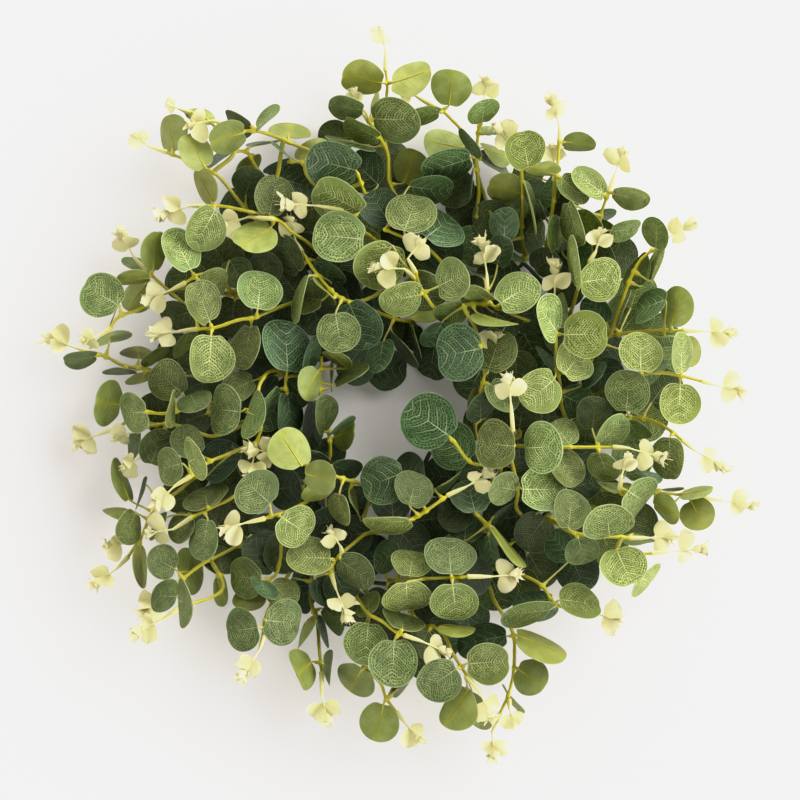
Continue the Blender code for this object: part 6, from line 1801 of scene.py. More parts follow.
def bezier(a, b, c, d, count):
    return [
        a * (1 - t) ** 3 + b * (3 * t * (1 - t) ** 2) + c * (3 * t * t * (1 - t)) + d * t**3
        for t in (k / count for k in range(count + 1))
    ]


def grow_stem(shape, limb, rng):
    """The stem with its knots, and on each knot the pegs, leaf stalks and ribs of its leaves."""
    groups = grouped(limb)
    curve = smooth(limb.path, 1.5)
    reach = limb.total[-1]
    knots = []
    for centre, children in groups:
        p, d = along(limb.path, limb.total, centre)
        axis = Vector()
        for child in children:
            goal = child.where if isinstance(child, Leaf) else along(child.path, child.total, 5.0)[0]
            way = goal - p
            way -= d * way.dot(d)
            if way.length > 1e-3:
                way.normalize()
                axis += way if way.dot(axis) >= 0 else -way
        axis = axis.normalized() if axis.length > 1e-3 else square_to(d, UP)
        knots.append((centre, axis))
    points, radii, marks, flats = [], [], [], []
    phase = rng.uniform(0, 6.28)
    tint = rng.random()
    last = len(curve) - 1
    for k, (p, s) in enumerate(curve):
        r = 1.2 * stem_radius(limb, s) * (1.0 + 0.05 * math.sin(0.8 * s + phase) + 0.03 * math.sin(2.1 * s + 2 * phase))
        bump, axis = 0.0, None
        for centre, way in knots:
            b = max(0.0, 1.0 - abs(s - centre) / 2.9) ** 1.15
            if b > bump:
                bump, axis = b, way
        points.append(p)
        radii.append(r)
        flats.append((axis, 0.80 * bump, 0.22 * bump) if axis else None)
        marks.append((s / reach if limb.parent is None else 0.35 + 0.65 * s / reach, bump, tint, 0.0))
    shape.tube(points, radii, STEM_SIDES, marks, (True, True), flats)
    for (centre, axis), (_, children) in zip(knots, groups):
        p, d = along(curve_path(curve), [s for _, s in curve], centre)
        for child in children:
            if isinstance(child, Leaf):
                grow_stalk(shape, child, p, d, stem_radius(limb, centre), tint, rng)
    return curve


def curve_path(curve):
    return [p for p, _ in curve]


def grow_stalk(shape, leaf, p, d, r, tint, rng):
    """A thick peg on the knot, the thinner stalk to the blade, and the rib under it."""
    way = leaf.where - p
    out = way - d * way.dot(d)
    out = out.normalized() if out.length > 0.4 else square_to(d, leaf.n)
    out = (out + way.normalized() * 0.9).normalized()
    reach = way.length
    end = leaf.point(0.03, 0.0, -0.5 * BLADE_T - 0.12)
    stalk = bezier(p + out * 0.3, p + out * max(1.2, 0.45 * reach), end - leaf.u * min(3.0, 0.4 * reach), end, 7)
    total = lengths(stalk)
    radii, marks = [], []
    for s in total:
        peg = clamp(1.0 - (s - 3.0) / 1.8, 0.0, 1.0)
        radii.append(max(0.72 + 0.92 * peg**0.7, r * 1.1 if s < 0.5 else 0.0))
        marks.append((0.80 - 0.1 * tint, 0.85 * peg, tint, 0.55 * (1.0 - peg)))
    # The rib runs on under the blade and thins out towards the far end.
    for x in (0.09, 0.20, 0.32, 0.45, 0.58, 0.70, 0.80):
        f = 1.0 - x / 0.86
        stalk.append(leaf.point(x, 0.0, -0.5 * BLADE_T - 0.10 * f))
        radii.append(0.15 + 0.40 * f)
        marks.append((0.7 + 1.1 * min(1.0, x / 0.5), 0.3 * f, tint, 0.35 * f))
    shape.tube(stalk, radii, 6, marks, (True, True), None, leaf.n)
    for x0 in (0.05, 0.19, 0.35, 0.52):
        for side in (-1.0, 1.0):
            rib, thick, tones = [], [], []
            far = 0.36 - 0.12 * abs(x0 - 0.25) / 0.27
            for k in range(5):
                y = far * k / 4
                yy = y * LEAF_W / LEAF_L
                x = x0 + 0.50 * yy + 0.45 * yy * yy
                rib.append(leaf.point(x, side * y, -0.5 * BLADE_T + 0.04 + wave_at(leaf, x, side * y)))
                thick.append(0.21 - 0.12 * k / 4)
                tones.append((2.0, 0.0, tint, 0.0))
            shape.tube(rib, thick, 4, tones, (False, True), None, leaf.n)


# ---------------------------------------------------------------- pale tips
def small_blade(shape, root, out, face, length, width, curl, cup, mark, pointed, rng, rows=11, lanes=4, ragged=0.085):
    """A small leaf of a tip: grows along out, broad past its middle, ragged at its far edge."""
    side = out.cross(face).normalized()
    half, last = 0.26, 2 * lanes
    wavy = rng.uniform(0.05, 0.35)
    teeth = [rng.uniform(-1.6, 0.7) * ragged for _ in range(last + 1)]
    bays = [rng.uniform(0.0, 6.28), rng.uniform(0.0, 6.28)]
    grid = []
    for k in range(rows + 1):
        t = 1.0 - (1.0 - k / rows) ** 1.6
        if pointed:
            w = 2.75 * t**0.6 * (1 - t) ** 0.9
        else:
            w = 2.0 * t**0.6 * (1 - t) ** 0.34
        w = max(0.10, w) if t < 0.5 else w
        a = curl * t
        row = []
        for j in range(last + 1):
            part = (j - lanes) / lanes
            reach = t * (1.0 + teeth[j] * t * t)
            bay = 1.0 + 1.1 * ragged * math.sin(9.0 * t + bays[part > 0]) * min(1.0, 2.0 * t)
            y = part * w * bay * width / 2
            h = cup * (y * y) / (width / 2) + 0.16 * abs(y) + wavy * math.sin(7.0 * t + 1.4 * 3 * part) * part * part
            middle = root + out * (length * reach * (1 - 0.16 * curl * curl * t * t)) - face * (length * 0.5 * a * t)
            row.append(middle + side * y + face * h)
        grid.append(row)
    top, low = [], []
    for k, row in enumerate(grid):
        # Painted shade: each small leaf is coloured darker and greener towards its root, inside the crown.
        tone = (mark[0] * (0.25 + 0.75 * min(1.0, 1.6 * k / rows)),) + mark[1:]
        top.append([shape.add(p + face * half * 0.5, tone) for p in row])
        low.append([shape.add(p - face * half * 0.5, tone) for p in row])
    for k in range(rows):
        for j in range(last):
            shape.faces.append((top[k][j], top[k + 1][j], top[k + 1][j + 1], top[k][j + 1]))
            shape.faces.append((low[k][j], low[k][j + 1], low[k + 1][j + 1], low[k + 1][j]))
        shape.faces.append((top[k][0], low[k][0], low[k + 1][0], top[k + 1][0]))
        shape.faces.append((top[k][last], top[k + 1][last], low[k + 1][last], low[k][last]))
    for j in range(last):
        shape.faces.append((top[0][j], top[0][j + 1], low[0][j + 1], low[0][j]))
        shape.faces.append((top[rows][j], low[rows][j], low[rows][j + 1], top[rows][j + 1]))


def grow_pale_tip(shape, limb, rng):
    """Sleeve over the stem's end, a thin stem, pairs of small leaves and a spiky crown."""
    start, end, d = tip_shape(limb)
    size = (end - start).length
    tint = rng.random()
    back = (limb.path[-1] - limb.path[-2]).normalized()
    first = (start - limb.rest[0])
    first = first.normalized() if first.length > 0.3 else d
    mouth = limb.rest[0] - back * 1.6
    line = [mouth, mouth + back * 0.5, limb.rest[0] + first * 0.6, limb.rest[0].lerp(start, 0.55), start]
    radii = [1.98, 2.05, 1.85, 1.62, 1.02]
    marks = [(p, 0.0, tint, 0.0) for p in (0.0, 0.0, 0.1, 0.35, 0.6)]
    pair, cup_at = 0.27, 0.60
    for f in (0.08, 0.19, pair - 0.02, pair + 0.05, 0.44, 0.54, cup_at, 0.67):
        near = max(math.exp(-(((f - pair) * size / 1.0) ** 2)), math.exp(-(((f - cup_at) * size / 0.9) ** 2)))
        line.append(start + d * (f * size))
        radii.append(0.64 + 0.40 * near)
        marks.append((0.75, 0.0, tint, 0.0))
    shape.tube(line, radii, 8, marks, (True, True))
    side = limb.side if limb.side.length > 0.5 else square_to(d, Vector((-d.y, d.x, 0.1)))
    other = d.cross(side)
    # The first pair: the largest, spread like wings, one often smaller than the other.
    big = min(15.0, 0.52 * size + 2.9) if limb.tip_clear else min(10.4, 0.42 * size + 2.2)
    lean = rng.uniform(0.55, 0.95) if limb.tip_clear else 0.42
    smaller = rng.choice((-1.0, 1.0))
    ragged = rng.choice((0.015, 0.03, 0.06, 0.11))
    for way in (-1.0, 1.0):
        out = (side * way * (lean + rng.uniform(-0.15, 0.15)) + d * 0.70 + other * rng.uniform(-0.2, 0.2)).normalized()
        face = square_to(out, d.cross(side * way) * way + d * rng.uniform(-0.6, 0.3) + other * rng.uniform(-0.5, 0.5))
        part = rng.uniform(0.55, 0.90) if way == smaller else rng.uniform(0.88, 1.06)
        small_blade(
            shape, start + d * (pair * size) + side * way * 0.5, out, face, big * part, big * rng.uniform(0.68, 0.96),
            rng.uniform(-0.5, 0.5), rng.uniform(-0.7, 0.8), (0.9, 0.0, tint, 0.0), rng.random() < 0.25, rng,
            11, 4, ragged,
        )
    # The second pair: small leaves, set crosswise and cupped round the crown.
    spin = rng.uniform(0.5, 1.9)
    side2 = side * math.cos(spin) + other * math.sin(spin)
    mid = min(9.8, max(5.2, 0.35 * size))
    for way in (-1.0, 1.0):
        out = (side2 * way * rng.uniform(0.45, 0.85) + d * 0.80).normalized()
        face = square_to(out, d - side2 * way * rng.uniform(0.2, 0.9) + d.cross(side2) * rng.uniform(-0.6, 0.6))
        small_blade(
            shape, start + d * ((cup_at - 0.08) * size) + side2 * way * 0.4, out, face, mid * rng.uniform(0.75, 1.05),
            mid * rng.uniform(0.70, 0.98), rng.uniform(-0.5, 0.2), rng.uniform(0.1, 0.7), (1.0, 0.0, tint, 0.0),
            rng.random() < 0.35, rng, 8, 3, 0.16,
        )
    # The crown: a fan of narrow ragged leaves round a few spikes.
    head = start + d * (0.60 * size)
    long = max(4.8, 0.42 * size)
    count = rng.choice((4, 5, 5))
    for k in range(count):
        w = 2 * math.pi * k / count + spin + rng.uniform(-0.3, 0.3)
        tilt = rng.uniform(0.30, 0.80)
        wide = side * math.cos(w) + other * math.sin(w)
        out = (d * math.cos(tilt) + wide * math.sin(tilt)).normalized()
        face = square_to(out, d - wide * 0.6)
        small_blade(
            shape, head + wide * 0.4, out, face, long * rng.uniform(0.62, 0.98), long * rng.uniform(0.40, 0.66),
            rng.uniform(-0.4, 0.5), rng.uniform(0.0, 0.6), (1.0, 0.0, tint, 0.0), rng.random() < 0.3, rng, 6, 2, 0.28,
        )
    for k in range(3):
        w = 2 * math.pi * k / 3 + spin + rng.uniform(-0.4, 0.4)
        tilt = rng.uniform(0.1, 0.5)
        way = (d * math.cos(tilt) + (side * math.cos(w) + other * math.sin(w)) * math.sin(tilt)).normalized()
        l = long * rng.uniform(0.65, 1.0)
        turn = square_to(way, d)
        spike = [head + way * 0.3, head + way * (0.3 * l) + turn * 0.1, head + way * (0.62 * l) + turn * 0.3, head + way * l + turn * 0.7]
        shape.tube(spike, [0.5, 0.72, 0.40, 0.18], 5, [(1.0, 0.0, tint, 0.0)] * 4, (False, True))


# ---------------------------------------------------------------- materials
def linear(r, g, b):
    """Linear colour of an 8-bit screen colour."""
    return tuple((c / 255 / 12.92) if c / 255 <= 0.04045 else ((c / 255 + 0.055) / 1.055) ** 2.4 for c in (r, g, b)) + (1.0,)


def dye(r, g, b):
    """Colour of a plastic that reads as this screen colour in the studio's bright light."""
    return tuple(0.68 * c for c in linear(r, g, b)[:3]) + (1.0,)


class Graph:
    """Builds the nodes of one material."""

    def __init__(self, name):
        self.material = bpy.data.materials.new(name)
        self.material.use_nodes = True
        self.nodes = self.material.node_tree.nodes
        self.links = self.material.node_tree.links
        self.shader = self.nodes["Principled BSDF"]

    def node(self, kind, **settings):
        node = self.nodes.new(kind)
        for key, value in settings.items():
            setattr(node, key, value)
        return node

    def put(self, socket, value):
        if isinstance(value, bpy.types.NodeSocket):
            self.links.new(value, socket)
        elif value is not None:
            socket.default_value = value

    def math(self, operation, a, b=None, c=None, clamped=False):
        node = self.node("ShaderNodeMath", operation=operation, use_clamp=clamped)
        for socket, value in zip(node.inputs, (a, b, c)):
            self.put(socket, value)
        return node.outputs[0]

    def step(self, value, low, high, a=0.0, b=1.0):
        """Runs smoothly from a at low to b at high."""
        node = self.node("ShaderNodeMapRange", interpolation_type="SMOOTHSTEP", clamp=True)
        for key, x in (("Value", value), ("From Min", low), ("From Max", high), ("To Min", a), ("To Max", b)):
            self.put(node.inputs[key], x)
        return node.outputs[0]

    def mix(self, f, a, b, blend="MIX"):
        node = self.node("ShaderNodeMix", data_type="RGBA", blend_type=blend, clamp_factor=True)
        self.put(node.inputs[0], f)
        self.put(node.inputs[6], a)
        self.put(node.inputs[7], b)
        return node.outputs[2]

    def ramp(self, f, *stops):
        node = self.node("ShaderNodeValToRGB")
        elements = node.color_ramp.elements
        while len(elements) < len(stops):
            elements.new(0.5)
        for element, (place, colour) in zip(elements, stops):
            element.position = place
            element.color = colour
        self.put(node.inputs[0], f)
        return node.outputs[0]

    def parts(self, vector):
        node = self.node("ShaderNodeSeparateXYZ")
        self.put(node.inputs[0], vector)
        return node.outputs[0], node.outputs[1], node.outputs[2]

    def vector(self, x, y, z=0.0):
        node = self.node("ShaderNodeCombineXYZ")
        for socket, value in zip(node.inputs, (x, y, z)):
            self.put(socket, value)
        return node.outputs[0]

    def attribute(self, name):
        node = self.node("ShaderNodeAttribute", attribute_type="GEOMETRY", attribute_name=name)
        return node.outputs["Color"], node.outputs["Alpha"]

    def noise(self, vector, scale, detail=2.0, rough=0.5):
        node = self.node("ShaderNodeTexNoise")
        self.put(node.inputs["Vector"], vector)
        self.put(node.inputs["Scale"], scale)
        self.put(node.inputs["Detail"], detail)
        self.put(node.inputs["Roughness"], rough)
        return node.outputs["Fac"]

    def cells(self, vector, scale, randomness):
        node = self.node("ShaderNodeTexVoronoi", feature="DISTANCE_TO_EDGE", voronoi_dimensions="2D")
        self.put(node.inputs["Vector"], vector)
        self.put(node.inputs["Scale"], scale)
        self.put(node.inputs["Randomness"], randomness)
        return node.outputs["Distance"]

    def bump(self, height, strength, distance):
        node = self.node("ShaderNodeBump")
        self.put(node.inputs["Strength"], strength)
        self.put(node.inputs["Distance"], distance)
        self.put(node.inputs["Height"], height)
        self.put(self.shader.inputs["Normal"], node.outputs[0])

    def place(self):
        return self.node("ShaderNodeTexCoord").outputs["Object"]


ARC = 2.05  # distance between the fine arched veins


def leaf_fields(g):
    """What both faces of a leaf share: place on the blade, its veins and its random numbers."""
    uv = g.node("ShaderNodeUVMap", uv_map="leaf").outputs[0]
    x, y, _ = g.parts(uv)
    look, _ = g.attribute("look")
    kind, tone, rim = g.parts(look)
    seed, more = g.attribute("seed")
    s1, s2, s3 = g.parts(seed)
    yy = g.math("MULTIPLY", g.math("ABSOLUTE", y), LEAF_W / LEAF_L)
    spot = g.vector(g.math("ADD", x, g.math("MULTIPLY", s1, 37.0)), g.math("ADD", y, g.math("MULTIPLY", s2, 23.0)))
    wob = g.math("SUBTRACT", g.noise(spot, 5.0, 1.0), 0.5)
    bend = g.math("MULTIPLY", yy, g.math("MULTIPLY_ADD", yy, 0.95, 0.50))
    f = g.math("ADD", g.math("SUBTRACT", x, bend), g.math("MULTIPLY", wob, 0.09))
    # Midrib, from the peg to six or eight tenths of the blade.
    width = g.step(x, 0.0, 0.72, 0.0110, 0.0032)
    near = g.math("DIVIDE", yy, width)
    ends = g.math("MULTIPLY_ADD", s3, 0.26, 0.46)
    mid = g.math("MULTIPLY", g.step(near, 0.55, 1.3, 1.0, 0.0), g.step(g.math("SUBTRACT", x, ends), -0.12, 0.08, 1.0, 0.0))
    mid = g.math("MULTIPLY", mid, g.step(x, 0.02, 0.14, 0.35, 1.0))
    # Fine arched veins. Every fourth one is a main vein, pale where it leaves the midrib.
    row = g.math("ADD", g.math("MULTIPLY", f, LEAF_L / ARC), g.math("MULTIPLY", s2, 47.0))
    fade = g.step(rim, 0.03, 0.16)
    # Towards the edge the arches run round the blade, inside they leave the midrib at an angle.
    loops = g.math("MULTIPLY_ADD", wob, 2.0, g.math("MULTIPLY_ADD", rim, 10.0 / 1.95, g.math("MULTIPLY", s3, 9.0)))
    patches = g.noise(spot, 6.5, 1.0)
    core = g.step(g.math("MULTIPLY_ADD", g.math("SUBTRACT", patches, 0.5), 0.9, rim), 0.44, 0.60)

    def chosen(ring, inner):
        return g.math("MULTIPLY_ADD", core, g.math("SUBTRACT", inner, ring), ring)

    def arches(rows):
        off = g.math("ABSOLUTE", g.math("SUBTRACT", g.math("FRACT", rows), 0.5))
        return g.step(off, 0.36, 0.45)

    arcs = g.math("MULTIPLY", chosen(arches(loops), arches(row)), g.step(rim, 0.05, 0.15))
    arcs = g.math("MULTIPLY", arcs, g.step(g.noise(spot, 9.0, 1.0), 0.32, 0.58, 0.25, 1.0))
    main = g.math("ABSOLUTE", g.math("SUBTRACT", g.math("FRACT", g.math("DIVIDE", row, 3.0)), 0.5))
    side = g.math("MULTIPLY", g.step(main, 0.430, 0.475), fade)
    side = g.math("MULTIPLY", side, g.step(yy, 0.10, 0.40, 1.0, 0.15))
    # Net of small cells in the rows between the arched veins.
    across = g.math("ADD", g.math("MULTIPLY", y, LEAF_W / 1.60), g.math("MULTIPLY", s1, 61.0))
    turn = g.math("ARCTAN2", g.math("MULTIPLY", y, LEAF_W / LEAF_L), g.math("SUBTRACT", x, 0.485))
    round_it = g.math("MULTIPLY_ADD", turn, 6.9, g.math("MULTIPLY", s1, 61.0))
    edge = chosen(g.cells(g.vector(loops, round_it), 1.0, 0.72), g.cells(g.vector(row, across), 1.0, 0.80))
    net = g.step(edge, 0.02, 0.15, 1.0, 0.0)
    return x, y, kind, tone, rim, s1, s2, s3, more, spot, wob, mid, side, arcs, net


def grey(v):
    return (v, v, v, 1.0)


def leaf_front():
    g = Graph("leaf_print")
    x, y, kind, tone, rim, s1, s2, s3, more, spot, wob, mid, side, arcs, net = leaf_fields(g)
    # The print is densest round the middle of the blade and fainter in a margin of uneven width.
    ex = g.math("DIVIDE", g.math("SUBTRACT", g.math("SUBTRACT", x, 0.48), g.math("MULTIPLY_ADD", s2, 0.16, -0.08)), 0.475)
    ey = g.math("DIVIDE", g.math("SUBTRACT", y, g.math("MULTIPLY_ADD", s3, 0.16, -0.08)), 0.465)
    e = g.math("ADD", g.math("MULTIPLY", ex, ex), g.math("MULTIPLY", ey, ey))
    e = g.math("ADD", e, g.math("MULTIPLY_ADD", more, -0.45, g.math("MULTIPLY", wob, 0.5)))
    e = g.math("ADD", e, g.math("MULTIPLY_ADD", kind, 0.30, -0.30))
    print_in = g.math("MULTIPLY", g.step(e, 0.55, 1.0, 1.0, 0.0), g.step(rim, 0.03, 0.13))
    cell = g.ramp(kind, (0.0, dye(34, 60, 28)), (0.5, dye(62, 84, 19)), (1.0, dye(76, 98, 22)))
    line = g.ramp(kind, (0.0, dye(138, 170, 120)), (0.5, dye(172, 190, 118)), (1.0, dye(204, 216, 144)))
    margin = g.ramp(kind, (0.0, dye(68, 96, 68)), (0.5, dye(96, 116, 66)), (1.0, dye(118, 138, 86)))
    rim_line = g.ramp(kind, (0.0, dye(130, 158, 118)), (0.5, dye(164, 180, 116)), (1.0, dye(202, 212, 150)))
    vein = g.ramp(kind, (0.0, dye(186, 204, 160)), (0.5, dye(196, 206, 140)), (1.0, dye(222, 226, 170)))
    patchy = g.noise(spot, 3.0, 2.0)
    lines = g.math("MAXIMUM", g.math("MULTIPLY", net, 0.78), arcs)
    net_much = g.ramp(kind, (0.0, grey(0.70)), (0.5, grey(0.82)), (1.0, grey(0.92)))
    net_much = g.math("MULTIPLY", net_much, g.step(patchy, 0.30, 0.60, 0.55, 1.0))
    lines = g.math("MULTIPLY", g.math("MULTIPLY", lines, net_much), g.math("MULTIPLY_ADD", print_in, 0.86, 0.14))
    colour = g.mix(g.math("MULTIPLY", print_in, 0.92), margin, cell)
    warm = g.mix(s1, (0.90, 1.0, 0.88, 1.0), (1.06, 1.0, 0.50, 1.0))
    colour = g.mix(1.0, colour, warm, "MULTIPLY")
    colour = g.mix(lines, colour, line)
    colour = g.mix(g.math("MULTIPLY", side, g.step(kind, 0.0, 0.6, 0.52, 0.44)), colour, vein)
    colour = g.mix(g.math("MULTIPLY", mid, 0.95), colour, vein)
    colour = g.mix(g.math("MULTIPLY", g.step(rim, 0.018, 0.058, 1.0, 0.0), 0.9), colour, rim_line)
    # Each leaf has its own depth of colour, and the dye is a little uneven.
    # The tone also carries painted light: lighter towards the upper right, where the key light stands, and darker on
    # the deep filler leaves as painted shade.
    deep = g.math("ADD", g.step(tone, 0.0, 1.0, 0.58, 1.30), g.math("MULTIPLY", g.math("SUBTRACT", patchy, 0.5), 0.45))
    colour = g.mix(1.0, colour, g.vector(deep, deep, deep), "MULTIPLY")
    mild = g.mix(s1, (0.95, 1.0, 0.94, 1.0), (1.02, 1.0, 0.82, 1.0))
    colour = g.mix(1.0, colour, mild, "MULTIPLY")
    # Painted shade: leaves of the lower layers are darkened, as if shaded by the leaves above them.
    look, level = g.attribute("look")
    layer_painted_shade = g.step(level, 0.0, 0.5, 0.62, 1.0)
    colour = g.mix(1.0, colour, g.vector(layer_painted_shade, layer_painted_shade, layer_painted_shade), "MULTIPLY")
    g.put(g.shader.inputs["Base Color"], colour)
    g.shader.inputs["Specular IOR Level"].default_value = 0.26
    weave = g.noise(g.place(), 2600.0, 1.0)
    rough = g.math("ADD", g.ramp(kind, (0.0, grey(0.44)), (1.0, grey(0.56))), g.math("MULTIPLY", weave, 0.14))
    g.put(g.shader.inputs["Roughness"], rough)
    height = g.math("MULTIPLY_ADD", side, 0.5, g.math("MULTIPLY", lines, 0.4))
    height = g.math("ADD", g.math("ADD", height, g.math("MULTIPLY", mid, 1.0)), g.math("MULTIPLY", weave, 0.2))
    g.bump(height, 0.55, 0.00025)
    return g.material


def yy_of(g, y):
    """Distance from the midrib in blade lengths."""
    return g.math("MULTIPLY", g.math("ABSOLUTE", y), LEAF_W / LEAF_L)


def leaf_under():
    g = Graph("leaf_underside")
    x, y, kind, tone, rim, s1, s2, s3, more, spot, wob, mid, side, arcs, net = leaf_fields(g)
    base = g.ramp(kind, (0.0, dye(84, 106, 56)), (0.45, dye(130, 147, 70)), (1.0, dye(182, 193, 112)))
    deeper = g.ramp(kind, (0.0, dye(62, 84, 38)), (0.45, dye(104, 121, 46)), (1.0, dye(152, 164, 72)))
    patchy = g.noise(spot, 2.6, 3.0)
    colour = g.mix(g.step(patchy, 0.30, 0.70), deeper, base)
    colour = g.mix(g.math("MULTIPLY", net, 0.14), colour, dye(164, 176, 98))
    colour = g.mix(g.math("MULTIPLY", side, 0.34), colour, dye(178, 182, 60))
    colour = g.mix(g.step(yy_of(g, y), 0.0, 0.14, 0.45, 0.0), colour, dye(178, 180, 50))
    colour = g.mix(g.math("MULTIPLY", g.step(rim, 0.02, 0.07, 1.0, 0.0), 0.6), colour, dye(180, 190, 124))
    # The tone is each leaf's own random depth of colour plus painted light: lighter towards the upper right, darker on
    # the deep filler leaves as painted shade.
    deep = g.step(tone, 0.0, 1.0, 0.80, 1.12)
    colour = g.mix(1.0, colour, g.vector(deep, deep, deep), "MULTIPLY")
    warm = g.mix(s1, (0.95, 1.0, 1.00, 1.0), (1.07, 1.0, 0.76, 1.0))
    colour = g.mix(1.0, colour, warm, "MULTIPLY")
    g.put(g.shader.inputs["Base Color"], colour)
    g.shader.inputs["Specular IOR Level"].default_value = 0.30
    weave = g.noise(g.place(), 2400.0, 1.0)
    g.put(g.shader.inputs["Roughness"], g.math("MULTIPLY_ADD", weave, 0.14, 0.50))
    g.bump(g.math("ADD", g.math("MULTIPLY", side, 0.4), g.math("MULTIPLY", weave, 0.25)), 0.5, 0.0002)
    return g.material


def leaf_edge():
    g = Graph("leaf_cut_edge")
    look, _ = g.attribute("look")
    kind, tone, _ = g.parts(look)
    grain = g.noise(g.place(), 900.0, 2.0)
    colour = g.ramp(kind, (0.0, dye(98, 120, 84)), (0.5, dye(142, 158, 94)), (1.0, dye(186, 196, 134)))
    colour = g.mix(g.math("MULTIPLY", grain, 0.5), colour, dye(146, 156, 92))
    g.put(g.shader.inputs["Base Color"], colour)
    g.put(g.shader.inputs["Roughness"], g.math("MULTIPLY_ADD", grain, 0.2, 0.5))
    return g.material


def stem_plastic():
    """Yellow-green moulded plastic, browner near the stem's foot and brightest at its knots."""
    g = Graph("stem_plastic")
    look, pale = g.attribute("look")
    place, knot, tint = g.parts(look)
    spot = g.place()
    streak = g.noise(spot, 160.0, 3.0, 0.6)
    fine = g.noise(spot, 1300.0, 2.0)
    at = g.math("ADD", place, g.math("MULTIPLY", g.math("SUBTRACT", streak, 0.5), 0.35))
    colour = g.ramp(at, (0.0, dye(90, 86, 16)), (0.22, dye(132, 130, 13)), (0.55, dye(178, 173, 14)), (1.0, dye(210, 202, 20)))
    colour = g.mix(g.math("MULTIPLY", knot, 0.85), colour, dye(220, 210, 16))
    colour = g.mix(pale, colour, dye(206, 208, 116))
    colour = g.mix(g.math("MULTIPLY", g.step(streak, 0.55, 0.75), 0.30), colour, dye(128, 140, 34))
    # The ribs under the blades take on the colour of the blade.
    colour = g.mix(g.step(place, 1.0, 1.8, 0.0, 0.85), colour, dye(142, 152, 56))
    deep = g.math("MULTIPLY_ADD", tint, 0.25, 0.86)
    colour = g.mix(1.0, colour, g.vector(deep, deep, deep), "MULTIPLY")
    g.put(g.shader.inputs["Base Color"], colour)
    g.put(g.shader.inputs["Roughness"], g.math("MULTIPLY_ADD", fine, 0.2, 0.34))
    g.bump(g.math("ADD", fine, g.math("MULTIPLY", streak, 0.8)), 0.35, 0.0002)
    return g.material


def tip_plastic():
    """Pale cream plastic, a little greener on the sleeve; the small leaves run darker and greener towards their roots
    as painted shade.
    """
    g = Graph("tip_plastic")
    look, _ = g.attribute("look")
    place, _, tint = g.parts(look)
    spot = g.place()
    cloud = g.noise(spot, 260.0, 2.0)
    fine = g.noise(spot, 1500.0, 2.0)
    colour = g.ramp(place, (0.0, linear(197, 193, 112)), (0.4, linear(211, 206, 142)), (1.0, linear(222, 215, 163)))
    colour = g.mix(g.math("MULTIPLY", g.step(cloud, 0.4, 0.7), 0.5), colour, linear(209, 200, 138))
    tinted = g.mix(tint, (1.0, 1.0, 1.0, 1.0), (0.95, 0.965, 0.86, 1.0))
    colour = g.mix(1.0, colour, tinted, "MULTIPLY")
    g.put(g.shader.inputs["Base Color"], colour)
    g.shader.inputs["Subsurface Weight"].default_value = 0.3
    g.shader.inputs["Subsurface Radius"].default_value = (1.0, 0.85, 0.5)
    g.shader.inputs["Subsurface Scale"].default_value = 0.003
    g.put(g.shader.inputs["Roughness"], g.math("MULTIPLY_ADD", fine, 0.2, 0.42))
    g.bump(g.math("ADD", fine, cloud), 0.3, 0.0002)
    return g.material


def frame_coat():
    """Dark green coating on the ring frame's wire."""
    g = Graph("frame_coat")
    spot = g.place()
    cloud = g.noise(spot, 60.0, 3.0)
    fine = g.noise(spot, 900.0, 2.0)
    colour = g.mix(g.step(cloud, 0.35, 0.7), linear(26, 52, 34), linear(38, 68, 44))
    colour = g.mix(g.math("MULTIPLY", g.step(fine, 0.62, 0.8), 0.5), colour, linear(70, 92, 66))
    # The wire's end is brown-black, and bare metal at the cut.
    look, _ = g.attribute("look")
    brown, cut, _ = g.parts(look)
    colour = g.mix(brown, colour, g.mix(cloud, linear(20, 15, 8), linear(44, 36, 18)))
    colour = g.mix(cut, colour, linear(96, 92, 84))
    g.put(g.shader.inputs["Base Color"], colour)
    g.put(g.shader.inputs["Roughness"], g.math("MULTIPLY_ADD", fine, 0.25, 0.34))
    g.bump(g.math("ADD", fine, cloud), 0.3, 0.0003)
    return g.material


def floor_paper():
    g = Graph("floor_paper")
    spot = g.place()
    cloud = g.noise(spot, 1.3, 2.0)
    fine = g.noise(spot, 700.0, 2.0)
    colour = g.mix(g.step(cloud, 0.3, 0.7), (0.905, 0.880, 0.868, 1.0), (0.915, 0.892, 0.880, 1.0))
    g.put(g.shader.inputs["Base Color"], colour)
    g.put(g.shader.inputs["Roughness"], g.math("MULTIPLY_ADD", fine, 0.08, 0.82))
    g.bump(fine, 0.1, 0.0002)
    return g.material


